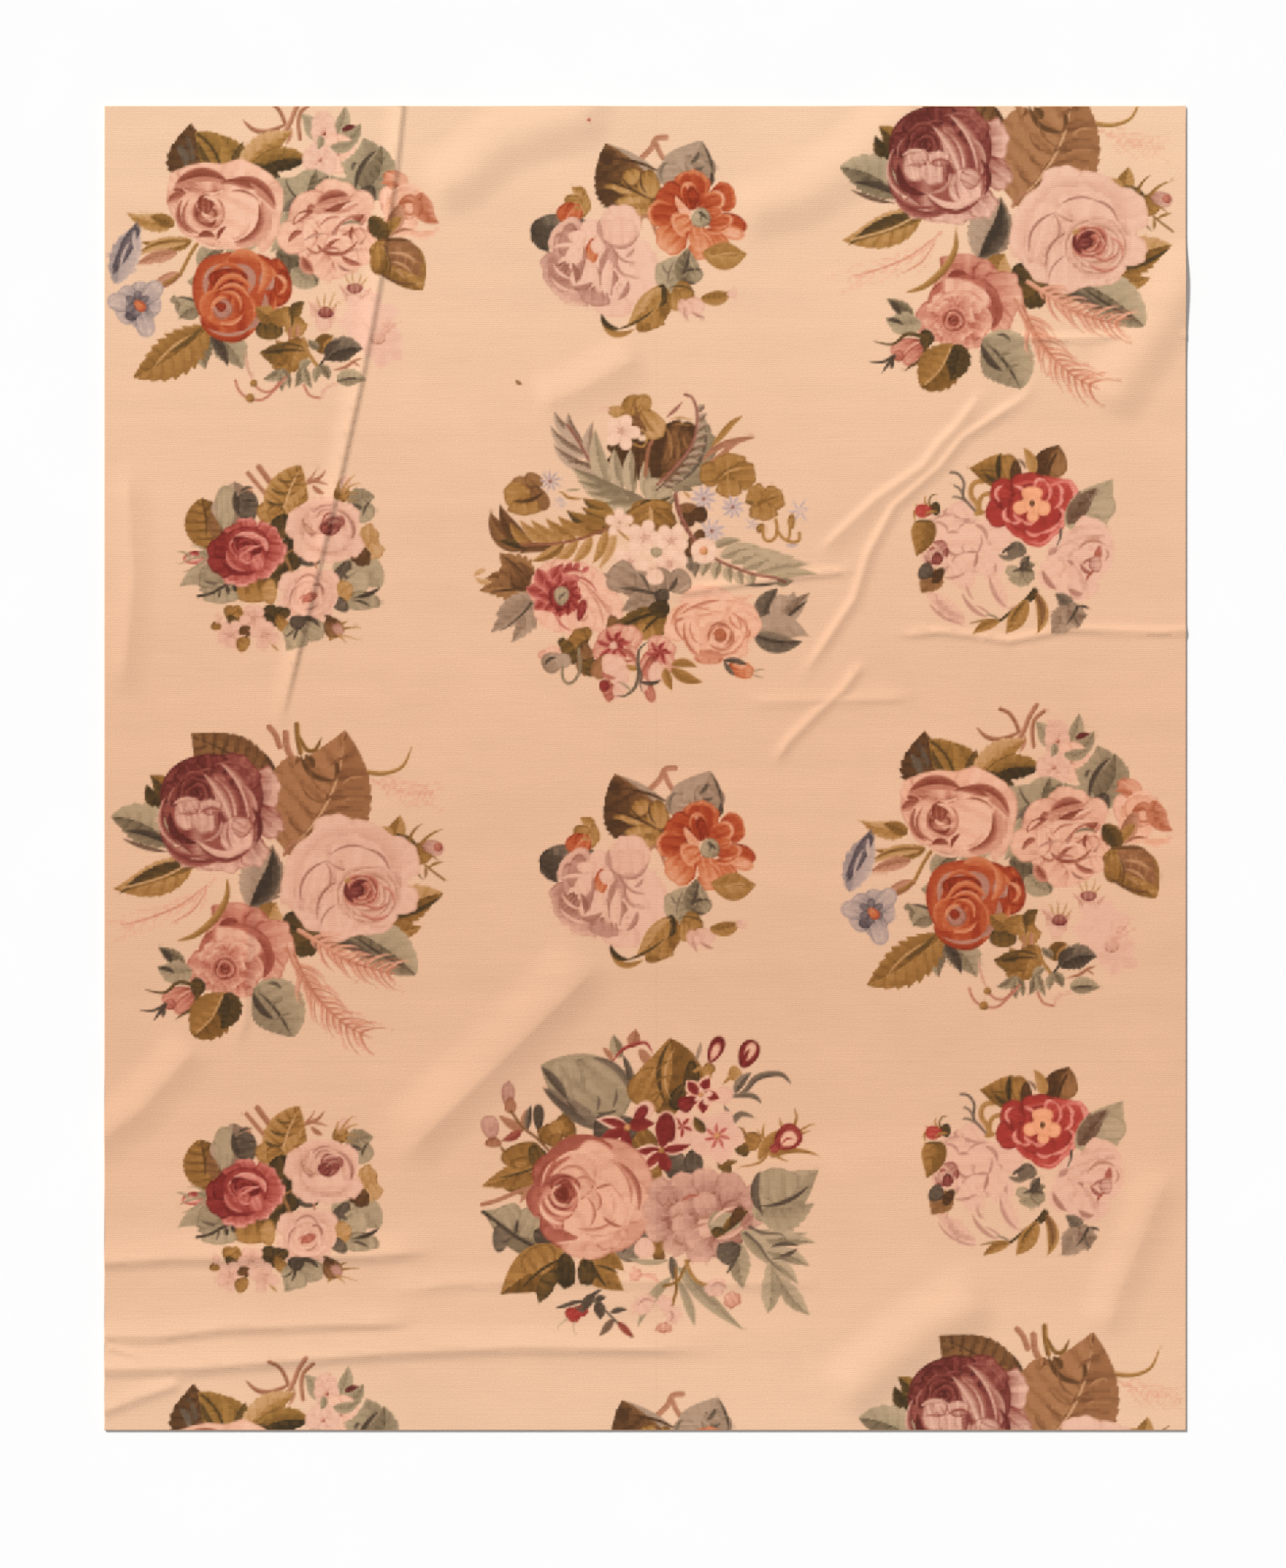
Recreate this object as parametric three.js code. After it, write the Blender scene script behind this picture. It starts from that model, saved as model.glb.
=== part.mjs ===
// A flat-woven tapestry rug, lying on a floor with the long pleat, creases and soft swells that it has
// taken from being folded. It is one thin sheet of wool, cut straight on all four sides.
//
// Units are millimetres and +Z is up. The origin is at the middle of the rug, on the floor.
// +Y runs along the length, towards the end where the bouquets' stems point.
import * as THREE from "three";

// The rug
const WIDTH = 1460;
const LENGTH = 1788;
const THICKNESS = 3;

// The grid of points that carries the cloth's shape
const COLUMNS = 44;
const ROWS = 54;
const SNAP_SHARE = 0.42; // of a cell, how far a point may slide to lie on a crest
const END_TAPER = 0.16; // share of a fold's length over which each end dies away

const WOOL = { color: 0xeab994, roughness: 0.95, metalness: 0 };

// Every fold is a crest line. Seen walking along its path, "left" and "right" are how far the cloth takes
// to come down to the floor on either side. A short one is the sharp side of a crease.
const FOLDS = [
  { name: "long pleat", height: 4.2, left: 5, right: 26, path: [
    [-327, 894], [-336, 806], [-359, 649], [-384, 517], [-410, 400], [-450, 230], [-487, 77], [-500, 27]] },
  { name: "pleat's faint end", height: 1.8, left: 12, right: 22, path: [
    [-500, 27], [-525, -66], [-532, -123], [-540, -346], [-560, -396]] },

  { name: "right-hand crease", height: 2.8, left: 12, right: 9, path: [
    [313, 185], [359, 180], [397, 184], [447, 178], [489, 171], [535, 180], [574, 187], [696, 183], [730, 185]] },
  { name: "corner crease", height: 2.2, left: 12, right: 9, path: [[420, 582], [560, 579], [640, 582], [730, 584]] },
  { name: "middle crease", height: 2.6, left: 14, right: 9, path: [[20, 232], [130, 249], [221, 260], [293, 267]] },
  { name: "low middle crease", height: 1.5, left: 16, right: 10, path: [[130, 89], [240, 90], [370, 94]] },

  { name: "slanting crease", height: 3.2, left: 30, right: 12, path: [
    [466, 521], [420, 461], [397, 438], [374, 407], [313, 365], [256, 312], [225, 280]] },
  { name: "second slanting crease", height: 3.6, left: 16, right: 12, path: [
    [535, 538], [512, 500], [428, 446], [397, 407], [336, 354], [301, 289], [282, 228], [213, 124], [198, 105]] },
  { name: "third slanting crease", height: 3.0, left: 14, right: 14, path: [
    [301, 151], [267, 105], [232, 74], [194, 36], [171, 1]] },

  { name: "first low pleat", height: 3.4, left: 40, right: 16, path: [
    [-730, -668], [-640, -662], [-540, -661], [-373, -659], [-266, -650]] },
  { name: "second low pleat", height: 3.0, left: 34, right: 14, path: [
    [-730, -768], [-658, -768], [-569, -757], [-409, -751], [-300, -750]] },
  { name: "third low pleat", height: 3.6, left: 40, right: 16, path: [
    [-730, -812], [-605, -810], [-462, -798], [-338, -789], [-171, -782], [120, -786]] },
  { name: "low cross crease", height: 2.2, left: 18, right: 12, path: [[-722, -783], [-670, -800], [-612, -826]] },
  { name: "corner fan", height: 2.4, left: 26, right: 14, path: [[-729, -868], [-686, -851], [-622, -829]] },
  { name: "faint low pleat", height: 1.8, left: 26, right: 14, path: [
    [-373, -712], [-266, -697], [-90, -692], [130, -696], [270, -694]] },

  { name: "wide diagonal swell", height: 5.0, left: 44, right: 70, path: [
    [-50, -252], [-170, -372], [-262, -462], [-340, -540]] },
  { name: "left edge swell", height: 3.6, left: 40, right: 50, path: [[-600, -372], [-680, -462], [-730, -500]] },
  { name: "top swell", height: 4.4, left: 52, right: 60, path: [[-90, 878], [-190, 846], [-250, 796], [-300, 776]] },
  { name: "upper middle swell", height: 3.4, left: 44, right: 50, path: [[0, 560], [-90, 508], [-150, 486]] },
  { name: "top right swell", height: 4.0, left: 50, right: 60, path: [
    [350, 880], [270, 806], [210, 768], [110, 738]] },
  { name: "right edge swell", height: 4.4, left: 48, right: 60, path: [
    [729, 660], [700, 604], [660, 544], [620, 474]] },
  { name: "low right swell", height: 5.0, left: 50, right: 64, path: [
    [470, -706], [370, -766], [320, -806], [250, -866]] },
  { name: "low right edge swell", height: 3.4, left: 40, right: 50, path: [
    [710, -536], [670, -636], [640, -706], [620, -776]] },
  { name: "left edge ripple", height: 3.0, left: 36, right: 40, path: [[-700, 420], [-690, 260], [-706, 90]] },
];

// The nearest point of a path: how far it is, which side it is on and how far along the path it lies.
function nearestOnPath(path, x, y) {
  const lengths = [0];
  for (let k = 1; k < path.length; k += 1) {
    lengths.push(lengths[k - 1] + Math.hypot(path[k][0] - path[k - 1][0], path[k][1] - path[k - 1][1]));
  }
  let best = { distance: Infinity };
  for (let k = 1; k < path.length; k += 1) {
    const [ax, ay] = path[k - 1];
    const [bx, by] = path[k];
    const stretch = lengths[k] - lengths[k - 1];
    const [ux, uy] = [(bx - ax) / stretch, (by - ay) / stretch];
    const along = THREE.MathUtils.clamp((x - ax) * ux + (y - ay) * uy, 0, stretch);
    const [px, py] = [ax + ux * along, ay + uy * along];
    const distance = Math.hypot(x - px, y - py);
    if (distance < best.distance) {
      const isLeft = ux * (y - ay) - uy * (x - ax) > 0;
      best = { distance, isLeft, x: px, y: py, share: (lengths[k - 1] + along) / lengths.at(-1) };
    }
  }
  return best;
}

// A fold that starts or ends on the rug's edge runs out over it at full height.
function endShare(fold, share) {
  const onEdge = ([x, y]) => Math.abs(x) > WIDTH / 2 - 8 || Math.abs(y) > LENGTH / 2 - 18;
  const start = onEdge(fold.path[0]) ? 1 : THREE.MathUtils.smoothstep(share, 0, END_TAPER);
  const end = onEdge(fold.path.at(-1)) ? 1 : THREE.MathUtils.smoothstep(1 - share, 0, END_TAPER);
  return Math.min(start, end);
}

// How high the underside of the cloth stands over the floor at a point.
function rise(x, y) {
  let height = 0;
  for (const fold of FOLDS) {
    const near = nearestOnPath(fold.path, x, y);
    const reach = near.isLeft ? fold.left : fold.right;
    if (near.distance < reach) {
      const fall = 1 - THREE.MathUtils.smoothstep(near.distance, 0, reach);
      height = Math.max(height, fold.height * fall * endShare(fold, near.share));
    }
  }
  return height;
}

// A grid point slides on to a crest that passes close by, so that the crest isn't cut by the cells.
function snappedPoint(column, row) {
  const cellWidth = WIDTH / COLUMNS;
  const cellLength = LENGTH / ROWS;
  const x = -WIDTH / 2 + column * cellWidth;
  const y = -LENGTH / 2 + row * cellLength;
  const onRim = column === 0 || column === COLUMNS || row === 0 || row === ROWS;
  if (onRim) return [x, y];
  const limit = SNAP_SHARE * Math.min(cellWidth, cellLength);
  let best = { distance: limit, x, y };
  for (const fold of FOLDS) {
    const near = nearestOnPath(fold.path, x, y);
    if (near.distance < best.distance) best = near;
  }
  return [best.x, best.y];
}

// The closed sheet: an upper face, an underside the cloth's thickness below it, and the cut edge round them.
function clothGeometry() {
  const perLayer = (COLUMNS + 1) * (ROWS + 1);
  const positions = new Float32Array(perLayer * 2 * 3);
  const at = (column, row) => row * (COLUMNS + 1) + column;
  for (let row = 0; row <= ROWS; row += 1) {
    for (let column = 0; column <= COLUMNS; column += 1) {
      const [x, y] = snappedPoint(column, row);
      const height = rise(x, y);
      positions.set([x, y, height + THICKNESS], at(column, row) * 3);
      positions.set([x, y, height], (perLayer + at(column, row)) * 3);
    }
  }

  const triangles = [];
  const upperHeight = (index) => positions[index * 3 + 2];
  const addCell = (a, b, c, d) => {
    const alongCrest = upperHeight(a) + upperHeight(c) > upperHeight(b) + upperHeight(d);
    const halves = alongCrest ? [[a, b, c], [a, c, d]] : [[a, b, d], [b, c, d]];
    for (const [p, q, r] of halves) {
      triangles.push(p, q, r);
      triangles.push(perLayer + p, perLayer + r, perLayer + q);
    }
  };
  for (let row = 0; row < ROWS; row += 1) {
    for (let column = 0; column < COLUMNS; column += 1) {
      addCell(at(column, row), at(column + 1, row), at(column + 1, row + 1), at(column, row + 1));
    }
  }

  const rim = [];
  for (let column = 0; column < COLUMNS; column += 1) rim.push(at(column, 0));
  for (let row = 0; row < ROWS; row += 1) rim.push(at(COLUMNS, row));
  for (let column = COLUMNS; column > 0; column -= 1) rim.push(at(column, ROWS));
  for (let row = ROWS; row > 0; row -= 1) rim.push(at(0, row));
  rim.forEach((here, k) => {
    const next = rim[(k + 1) % rim.length];
    triangles.push(here, perLayer + here, perLayer + next);
    triangles.push(here, perLayer + next, next);
  });

  const geometry = new THREE.BufferGeometry();
  geometry.setAttribute("position", new THREE.BufferAttribute(positions, 3));
  geometry.setIndex(triangles);
  geometry.computeVertexNormals();
  return geometry;
}

function rugCloth() {
  const cloth = new THREE.Mesh(clothGeometry(), new THREE.MeshStandardMaterial(WOOL));
  cloth.name = "rug_cloth";
  return cloth;
}

const rug = new THREE.Group();
rug.add(rugCloth());

export default rug;
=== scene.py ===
# %% [markdown]
# This lesson dresses a flat-woven aubusson rug: a thin wool tapestry with bouquets of roses on
# a peach ground. It lies on the floor with the creases of storage still in it and a long pleat
# where it was pushed together. The part from the CAD step gives the frame, in metres, with +Z
# up and the middle of the rug's underside at the origin. Everything here is made in that frame.

# %% The frame
import math

import bpy
import numpy as np
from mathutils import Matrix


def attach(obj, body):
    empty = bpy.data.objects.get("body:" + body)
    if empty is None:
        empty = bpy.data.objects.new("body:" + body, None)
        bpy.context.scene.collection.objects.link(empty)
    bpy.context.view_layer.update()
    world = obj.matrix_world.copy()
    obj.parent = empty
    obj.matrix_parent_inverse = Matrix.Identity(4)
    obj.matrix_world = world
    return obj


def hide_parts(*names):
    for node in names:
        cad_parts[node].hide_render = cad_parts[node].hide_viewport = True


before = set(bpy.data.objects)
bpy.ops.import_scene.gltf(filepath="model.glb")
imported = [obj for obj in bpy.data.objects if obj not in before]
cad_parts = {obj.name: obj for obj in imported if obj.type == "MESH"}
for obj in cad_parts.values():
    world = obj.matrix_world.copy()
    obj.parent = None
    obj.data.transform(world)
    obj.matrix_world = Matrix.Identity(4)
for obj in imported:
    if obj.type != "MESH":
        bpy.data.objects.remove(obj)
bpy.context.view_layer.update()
bpy.ops.object.select_all(action="DESELECT")

# %% [markdown]
# The photograph looks straight down at the rug, with no perspective that shows. A camera far
# above with a long lens gives that, and it still works when the view moves to the sides. The
# lens follows from the height and from how much of the floor the picture takes in.

# %% The camera
PICTURE_HEIGHT = 2.117
CAMERA_HEIGHT = 6.0
VIEW_MIDDLE_X = -0.003
VIEW_MIDDLE_Y = -0.0215

bpy.ops.object.camera_add(location=(VIEW_MIDDLE_X, VIEW_MIDDLE_Y, CAMERA_HEIGHT), rotation=(0.0, 0.0, 0.0))
camera = bpy.context.object
camera.data.sensor_fit = "VERTICAL"
camera.data.sensor_height = 24.0
camera.data.lens = camera.data.sensor_height * CAMERA_HEIGHT / PICTURE_HEIGHT
bpy.context.scene.camera = camera
print("lens", round(camera.data.lens, 1), "mm")

# %% [markdown]
# An aubusson is a flat tapestry with no pile: the flowers aren't printed on it, each patch of
# colour is a patch of dyed yarn. The weaver works from a cartoon, a full-size drawing that lies
# under the warp. An image texture would be the quick way to get such a picture, but a picture
# can't be changed petal by petal. So the flowers are woven here as well: a sheet of stitches is
# an array of colours, and small functions lay leaves, petals and stems on it, the later ones
# over the earlier ones.

# %% The sheet of stitches

RUG_WIDE = 1460.0
RUG_LONG = 1788.0
PICTURE_ACROSS = 800
PICTURE_DOWN = 976
STITCH_WIDE = RUG_WIDE / PICTURE_ACROSS
STITCH_LONG = RUG_LONG / PICTURE_DOWN
GROUND_YARN = (231.0, 182.0, 147.0)
EDGE_SOFTNESS = 1.7

picture = np.empty((PICTURE_DOWN, PICTURE_ACROSS, 3))
picture[:] = GROUND_YARN
dice = np.random.default_rng(1870)
hatching = dice.random((PICTURE_DOWN, PICTURE_ACROSS + 4))
hatching = sum(hatching[:, shift:shift + PICTURE_ACROSS] for shift in range(5)) / 5.0
hatching = np.clip((hatching - 0.5) * 2.2 + 0.5, 0.0, 1.0)
print("stitches", PICTURE_ACROSS, "x", PICTURE_DOWN, "each", round(STITCH_WIDE, 2), "mm wide")

# %% [markdown]
# A dyer makes each colour in a run of shades from dark to light. A shape is then given by its
# run and by a tone from 0, the darkest skein, to 1, the lightest. Between two skeins the weaver
# interlocks the yarns in short dashes along the weft, which is called hatching, and a little
# noise that is stretched along the rows does the same.

# %% The skeins
YARNS = {
    "rose": [(124, 50, 32), (145, 72, 50), (168, 94, 72), (190, 118, 92), (208, 140, 112),
             (222, 158, 128), (231, 169, 137), (236, 178, 148)],
    "blush": [(140, 84, 60), (164, 104, 76), (182, 122, 94), (200, 140, 112), (212, 153, 126),
              (221, 162, 134), (226, 169, 141), (231, 176, 148)],
    "crimson": [(84, 32, 24), (104, 40, 32), (126, 56, 46), (150, 76, 62), (168, 102, 84),
                (190, 130, 108), (212, 154, 130), (227, 170, 143)],
    "dusky": [(112, 44, 28), (140, 60, 44), (160, 80, 60), (180, 98, 76), (198, 122, 98),
              (213, 144, 116), (228, 168, 138)],
    "madder": [(104, 30, 24), (126, 38, 32), (144, 50, 42), (164, 68, 56), (182, 88, 74),
               (204, 116, 100), (222, 148, 126)],
    "red": [(122, 36, 28), (146, 46, 36), (164, 52, 42), (176, 62, 50), (192, 82, 68),
            (212, 114, 98), (226, 142, 122)],
    "scarlet": [(128, 40, 18), (156, 54, 26), (172, 70, 36), (188, 90, 50), (202, 114, 72),
                (216, 138, 98), (228, 160, 126)],
    "mauve": [(128, 70, 52), (154, 94, 74), (176, 116, 94), (192, 134, 112), (207, 149, 124),
              (220, 162, 135)],
    "umber": [(76, 46, 24), (94, 58, 30), (114, 70, 38), (134, 86, 48), (152, 100, 58),
              (170, 116, 70)],
    "copper": [(116, 68, 38), (136, 84, 50), (152, 96, 58), (166, 108, 68), (180, 122, 80),
               (196, 140, 98), (208, 154, 114)],
    "olive": [(58, 42, 22), (80, 56, 28), (102, 70, 32), (126, 84, 36), (146, 98, 44),
              (166, 114, 56)],
    "ochre": [(102, 66, 28), (124, 80, 34), (146, 96, 44), (166, 112, 56), (182, 128, 74),
              (196, 142, 92), (208, 156, 110)],
    "sage": [(84, 64, 44), (106, 84, 60), (128, 102, 74), (148, 120, 90), (164, 135, 102),
             (177, 146, 112), (190, 156, 122)],
    "slate": [(62, 46, 34), (82, 62, 46), (102, 80, 62), (124, 98, 76), (146, 116, 92)],
    "taupe": [(96, 62, 42), (118, 84, 62), (140, 106, 82), (160, 124, 98), (176, 139, 112),
              (190, 152, 124)],
    "blue": [(80, 64, 64), (104, 84, 82), (130, 108, 102), (156, 130, 120), (182, 150, 136),
             (204, 168, 148)],
    "coral": [(164, 90, 62), (188, 112, 82), (206, 134, 102), (220, 152, 120), (230, 166, 134)],
    "terra": [(138, 78, 50), (156, 94, 64), (174, 112, 80), (194, 130, 98), (210, 148, 114)],
    "peach": [(166, 84, 50), (188, 108, 74), (206, 132, 100), (220, 152, 118), (230, 165, 132),
              (237, 177, 144)],
    "pearl": [(190, 134, 104), (208, 154, 124), (222, 168, 138), (232, 180, 150),
              (237, 187, 157), (242, 194, 165)],
    "lilac": [(140, 110, 110), (164, 132, 128), (188, 156, 146), (208, 172, 156),
              (224, 180, 154)],
    "gold": [(150, 100, 50), (180, 120, 66), (214, 140, 94), (232, 152, 110), (240, 162, 120)],
}
for run in YARNS:
    YARNS[run] = np.array(YARNS[run], dtype=float)
print("runs of yarn", len(YARNS), "skeins", sum(len(run) for run in YARNS.values()))

# %% The weaver
class Weaver:
    """Lays shapes on the picture, in millimetres right and down from a cartoon's corner."""

    def __init__(self, right, down):
        self.right = right
        self.down = down

    def stitches(self, left, top, right, bottom):
        """Return the stitches in a box and how far right and down each one lies."""
        first = max(0, int((left + self.right) / STITCH_WIDE) - 1)
        last = min(PICTURE_ACROSS, int((right + self.right) / STITCH_WIDE) + 2)
        upper = max(0, int((top + self.down) / STITCH_LONG) - 1)
        lower = min(PICTURE_DOWN, int((bottom + self.down) / STITCH_LONG) + 2)
        if first >= last or upper >= lower:
            return None
        area = (slice(upper, lower), slice(first, last))
        x = (np.arange(first, last) + 0.5) * STITCH_WIDE - self.right
        y = (np.arange(upper, lower) + 0.5) * STITCH_LONG - self.down
        return area, x[None, :], y[:, None]

    def weave(self, area, cover, run, tone):
        """Blend the yarns of a run into an area, by tone from dark to light."""
        skeins = YARNS[run]
        place = np.clip(tone, 0.0, 1.0) * (len(skeins) - 1) + (hatching[area] - 0.5) * 0.7
        place = np.clip(place, 0.0, len(skeins) - 1.001)
        low = place.astype(int)
        share = np.clip((place - low - 0.5) * 1.6 + 0.5, 0.0, 1.0)[..., None]
        yarn = skeins[low] * (1.0 - share) + skeins[low + 1] * share
        cover = np.clip(cover, 0.0, 1.0)[..., None]
        picture[area] = picture[area] * (1.0 - cover) + yarn * cover

# %% [markdown]
# Nearly all that grows in the bouquets is one of two shapes. A petal is an egg, given by its
# middle, its size and the way it points, as an hour on a clock face. A ribbon follows a bowed
# line, and by its width along that line it becomes a leaf, a stem, the dark gap between two
# petals or the light on a petal's turned edge.

# %% The two basic shapes
def heading(hour):
    """Turn an hour on the clock into a direction, right and down."""
    angle = math.radians((hour - 3.0) * 30.0)
    return math.cos(angle), math.sin(angle)


def petal(weaver, x, y, size, wide, hour, run, base, tip, frill=0.0, lean=0.0, point=0.0,
          rim=0.0, line=0.22):
    """Lay an egg from a tone at its base to a tone at its tip; frill scallops its edge."""
    reach = max(size, wide) * 0.62 + 3.0
    found = weaver.stitches(x - reach, y - reach, x + reach, y + reach)
    if found is None:
        return
    area, sx, sy = found
    ahead, aside = heading(hour)
    along = ((sx - x) * ahead + (sy - y) * aside) / (size * 0.5)
    across = ((sy - y) * ahead - (sx - x) * aside) / (wide * 0.5)
    girth = 1.0 + 0.22 * along - 0.3 * point * np.clip(along, 0.0, 1.0) ** 2
    turn = np.arctan2(across, along)
    wave = frill * (np.sin(turn * 6.0 + x) + 0.6 * np.sin(turn * 11.0 + y)) if frill else 0.0
    radius = np.sqrt(along ** 2 + (across / girth) ** 2) - wave
    inward = (1.0 - radius) * min(size, wide) * 0.5
    cover = inward / EDGE_SOFTNESS + 0.5
    forward = np.clip(along * 0.5 + 0.5, 0.0, 1.0)
    feather = np.sin(across * 9.0 + x) + 0.7 * np.sin(across * 17.0 + y + along * 2.0)
    feather = feather * (0.03 + 0.09 * (1.0 - forward))
    tone = base + (tip - base) * forward ** 0.8 + lean * across + feather
    tone = tone - line * np.exp(-((inward - 0.8) / 1.3) ** 2)
    tone = tone + rim * np.clip((radius - 0.7) / 0.2, 0.0, 1.0) * np.clip(forward, 0.0, 1.0)
    weaver.weave(area, cover, run, tone)


def bow(x0, y0, x1, y1, swing, steps=18):
    """Return points on a bow that swings to its left by a distance."""
    long = math.hypot(x1 - x0, y1 - y0) or 1.0
    middle_x = (x0 + x1) / 2 + (y1 - y0) / long * swing * 2
    middle_y = (y0 + y1) / 2 - (x1 - x0) / long * swing * 2
    share = np.linspace(0.0, 1.0, steps)
    points_x = (1 - share) ** 2 * x0 + 2 * share * (1 - share) * middle_x + share ** 2 * x1
    points_y = (1 - share) ** 2 * y0 + 2 * share * (1 - share) * middle_y + share ** 2 * y1
    return np.stack([points_x, points_y], axis=1)


def smooth_line(points, steps=8):
    """Return a smooth line through a few points."""
    ends = [points[0]] + list(points) + [points[-1]]
    line = []
    for before, start, end, after in zip(ends, ends[1:], ends[2:], ends[3:]):
        for step in range(steps):
            t = step / steps
            line.append([0.5 * (2 * b + (c - a) * t + (2 * a - 5 * b + 4 * c - d) * t * t
                                + (3 * b - a - 3 * c + d) * t ** 3)
                         for a, b, c, d in zip(before, start, end, after)])
    line.append(list(points[-1]))
    return np.array(line, dtype=float)


def follow(weaver, line, reach):
    """Return the stitches near a line, how far along it they are and how far to its left."""
    found = weaver.stitches(line[:, 0].min() - reach, line[:, 1].min() - reach,
                            line[:, 0].max() + reach, line[:, 1].max() + reach)
    if found is None:
        return None
    area, sx, sy = found
    steps = np.hypot(*np.diff(line, axis=0).T)
    total = steps.sum()
    nearest = np.full(np.broadcast(sx, sy).shape, 1e9)
    share = np.zeros_like(nearest)
    left = np.zeros_like(nearest)
    done = 0.0
    for (ax, ay), (bx, by), step in zip(line[:-1], line[1:], steps):
        if step < 1e-6:
            continue
        ux, uy = (bx - ax) / step, (by - ay) / step
        t = np.clip((sx - ax) * ux + (sy - ay) * uy, 0.0, step)
        off_x, off_y = sx - ax - ux * t, sy - ay - uy * t
        away = np.hypot(off_x, off_y)
        closer = away < nearest
        side = np.where(off_x * uy - off_y * ux > 0, 1.0, -1.0)
        nearest = np.where(closer, away, nearest)
        share = np.where(closer, (done + t) / total, share)
        left = np.where(closer, away * side, left)
        done += step
    return area, share, left, total

# %% Ribbons
def stroke(weaver, x0, y0, x1, y1, swing, thick, run, left=0.0, right=0.0, ends="both"):
    """Lay a bowed brush stroke that shades from its left side to its right."""
    found = follow(weaver, bow(x0, y0, x1, y1, swing), thick + 3.0)
    if found is None:
        return
    area, share, side, total = found
    if ends == "both":
        swell = np.sin(np.pi * np.clip(share, 0.001, 0.999)) ** 0.7
    elif ends == "tip":
        swell = np.clip(1.0 - share, 0.0, 1.0) ** 0.6
    else:
        swell = np.ones_like(share)
    half = thick * 0.5 * swell
    cover = np.minimum((half - np.abs(side)) / EDGE_SOFTNESS + 0.5, half / EDGE_SOFTNESS + 0.3)
    tone = (left + right) / 2 + (left - right) / 2 * side / np.maximum(half, 0.6)
    weaver.weave(area, cover, run, tone)


def stem(weaver, points, thick, run, left=0.5, right=0.2, ends="none"):
    """Lay a stem or tendril through a few points."""
    found = follow(weaver, smooth_line(points), thick + 3.0)
    if found is None:
        return
    area, share, side, total = found
    swell = np.ones_like(share)
    if ends == "tip":
        swell = np.clip(1.0 - share, 0.0, 1.0) ** 0.5
    if ends == "both":
        swell = np.sin(np.pi * np.clip(share, 0.001, 0.999)) ** 0.6
    half = thick * 0.5 * swell
    cover = (half - np.abs(side)) / EDGE_SOFTNESS + 0.5
    tone = (left + right) / 2 + (left - right) / 2 * side / max(thick * 0.5, 0.6)
    weaver.weave(area, cover, run, tone)


def leaf(weaver, x0, y0, x1, y1, swing, wide, run, left=(0.5, 0.7), right=(0.3, 0.5),
         teeth=0, depth=0.16, veins=5, shift=-0.18, rib=0.0, belly=0.4, foot=0.6, tip=1.1,
         lop=0.0):
    """Lay a leaf from its foot to its tip, its two halves toned from the rib to the edge."""
    line = bow(x0, y0, x1, y1, swing)
    found = follow(weaver, line, wide * (0.6 + abs(lop) * 0.5) + 3.0)
    if found is None:
        return
    area, share, side, total = found
    rising = np.sin(np.pi / 2 * np.clip(share / belly, 0.0, 1.0)) ** foot
    falling = np.sin(np.pi / 2 * np.clip((1.0 - share) / (1.0 - belly), 0.0, 1.0)) ** tip
    half = wide * 0.5 * np.where(share < belly, rising, falling)
    half = half * np.where(side > 0, 1.0 + lop, 1.0 - lop)
    if teeth:
        half = half * (1.0 + depth * ((share * teeth + (side > 0) * 0.4) % 1.0 - 0.5))
    cover = np.minimum((half - np.abs(side)) / EDGE_SOFTNESS + 0.5, half / EDGE_SOFTNESS)
    out = np.clip(np.abs(side) / np.maximum(half, 0.8), 0.0, 1.0)
    tone = np.where(side > 0, left[0] + (left[1] - left[0]) * out,
                    right[0] + (right[1] - right[0]) * out)
    if veins:
        wave = (share * (veins + 1) - out * 0.8 + (side > 0) * 0.3) % 1.0
        tone = tone + shift * np.exp(-((wave - 0.5) / 0.16) ** 2) * (0.4 + 0.6 * (1.0 - out))
    tone = tone + rib * np.exp(-(side / 2.0) ** 2) * (share < 0.93)
    weaver.weave(area, cover, run, tone)

# %% Shapes made of the basic ones
def ball(weaver, x, y, size, run, dark=0.1, light=0.9):
    """Lay a berry with its light at the upper left."""
    petal(weaver, x, y, size, size, 10.5, run, dark, light)


def blossom(weaver, x, y, size, count, hour, run, base, tip, eye=None, eye_size=0.2, slim=0.5,
            squash=1.0):
    """Lay a small open flower: equal petals round an eye."""
    for index in range(count):
        ahead, aside = heading(hour + 12.0 * index / count)
        petal(weaver, x + ahead * size * 0.27, y + aside * size * 0.27 * squash, size * 0.5,
              size * slim, hour + 12.0 * index / count, run, base, tip)
    if eye:
        ball(weaver, x, y, size * eye_size, eye)


def star(weaver, x, y, size, count, hour, run, base, tip, rim=None, wide=0.22):
    """Lay a star flower of pointed petals, each with a light rim if one is named."""
    for index in range(count):
        turn = hour + 12.0 * index / count
        ahead, aside = heading(turn)
        end = (x + ahead * size * 0.5, y + aside * size * 0.5)
        if rim:
            leaf(weaver, x, y, *end, size * 0.03, size * (wide + 0.12), rim, (0.95, 0.95),
                 (0.9, 0.9), veins=0, belly=0.55)
        leaf(weaver, x, y, x + (end[0] - x) * 0.93, y + (end[1] - y) * 0.93, size * 0.03,
             size * wide, run, (base, tip), (base, tip), veins=0, belly=0.55)


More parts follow.
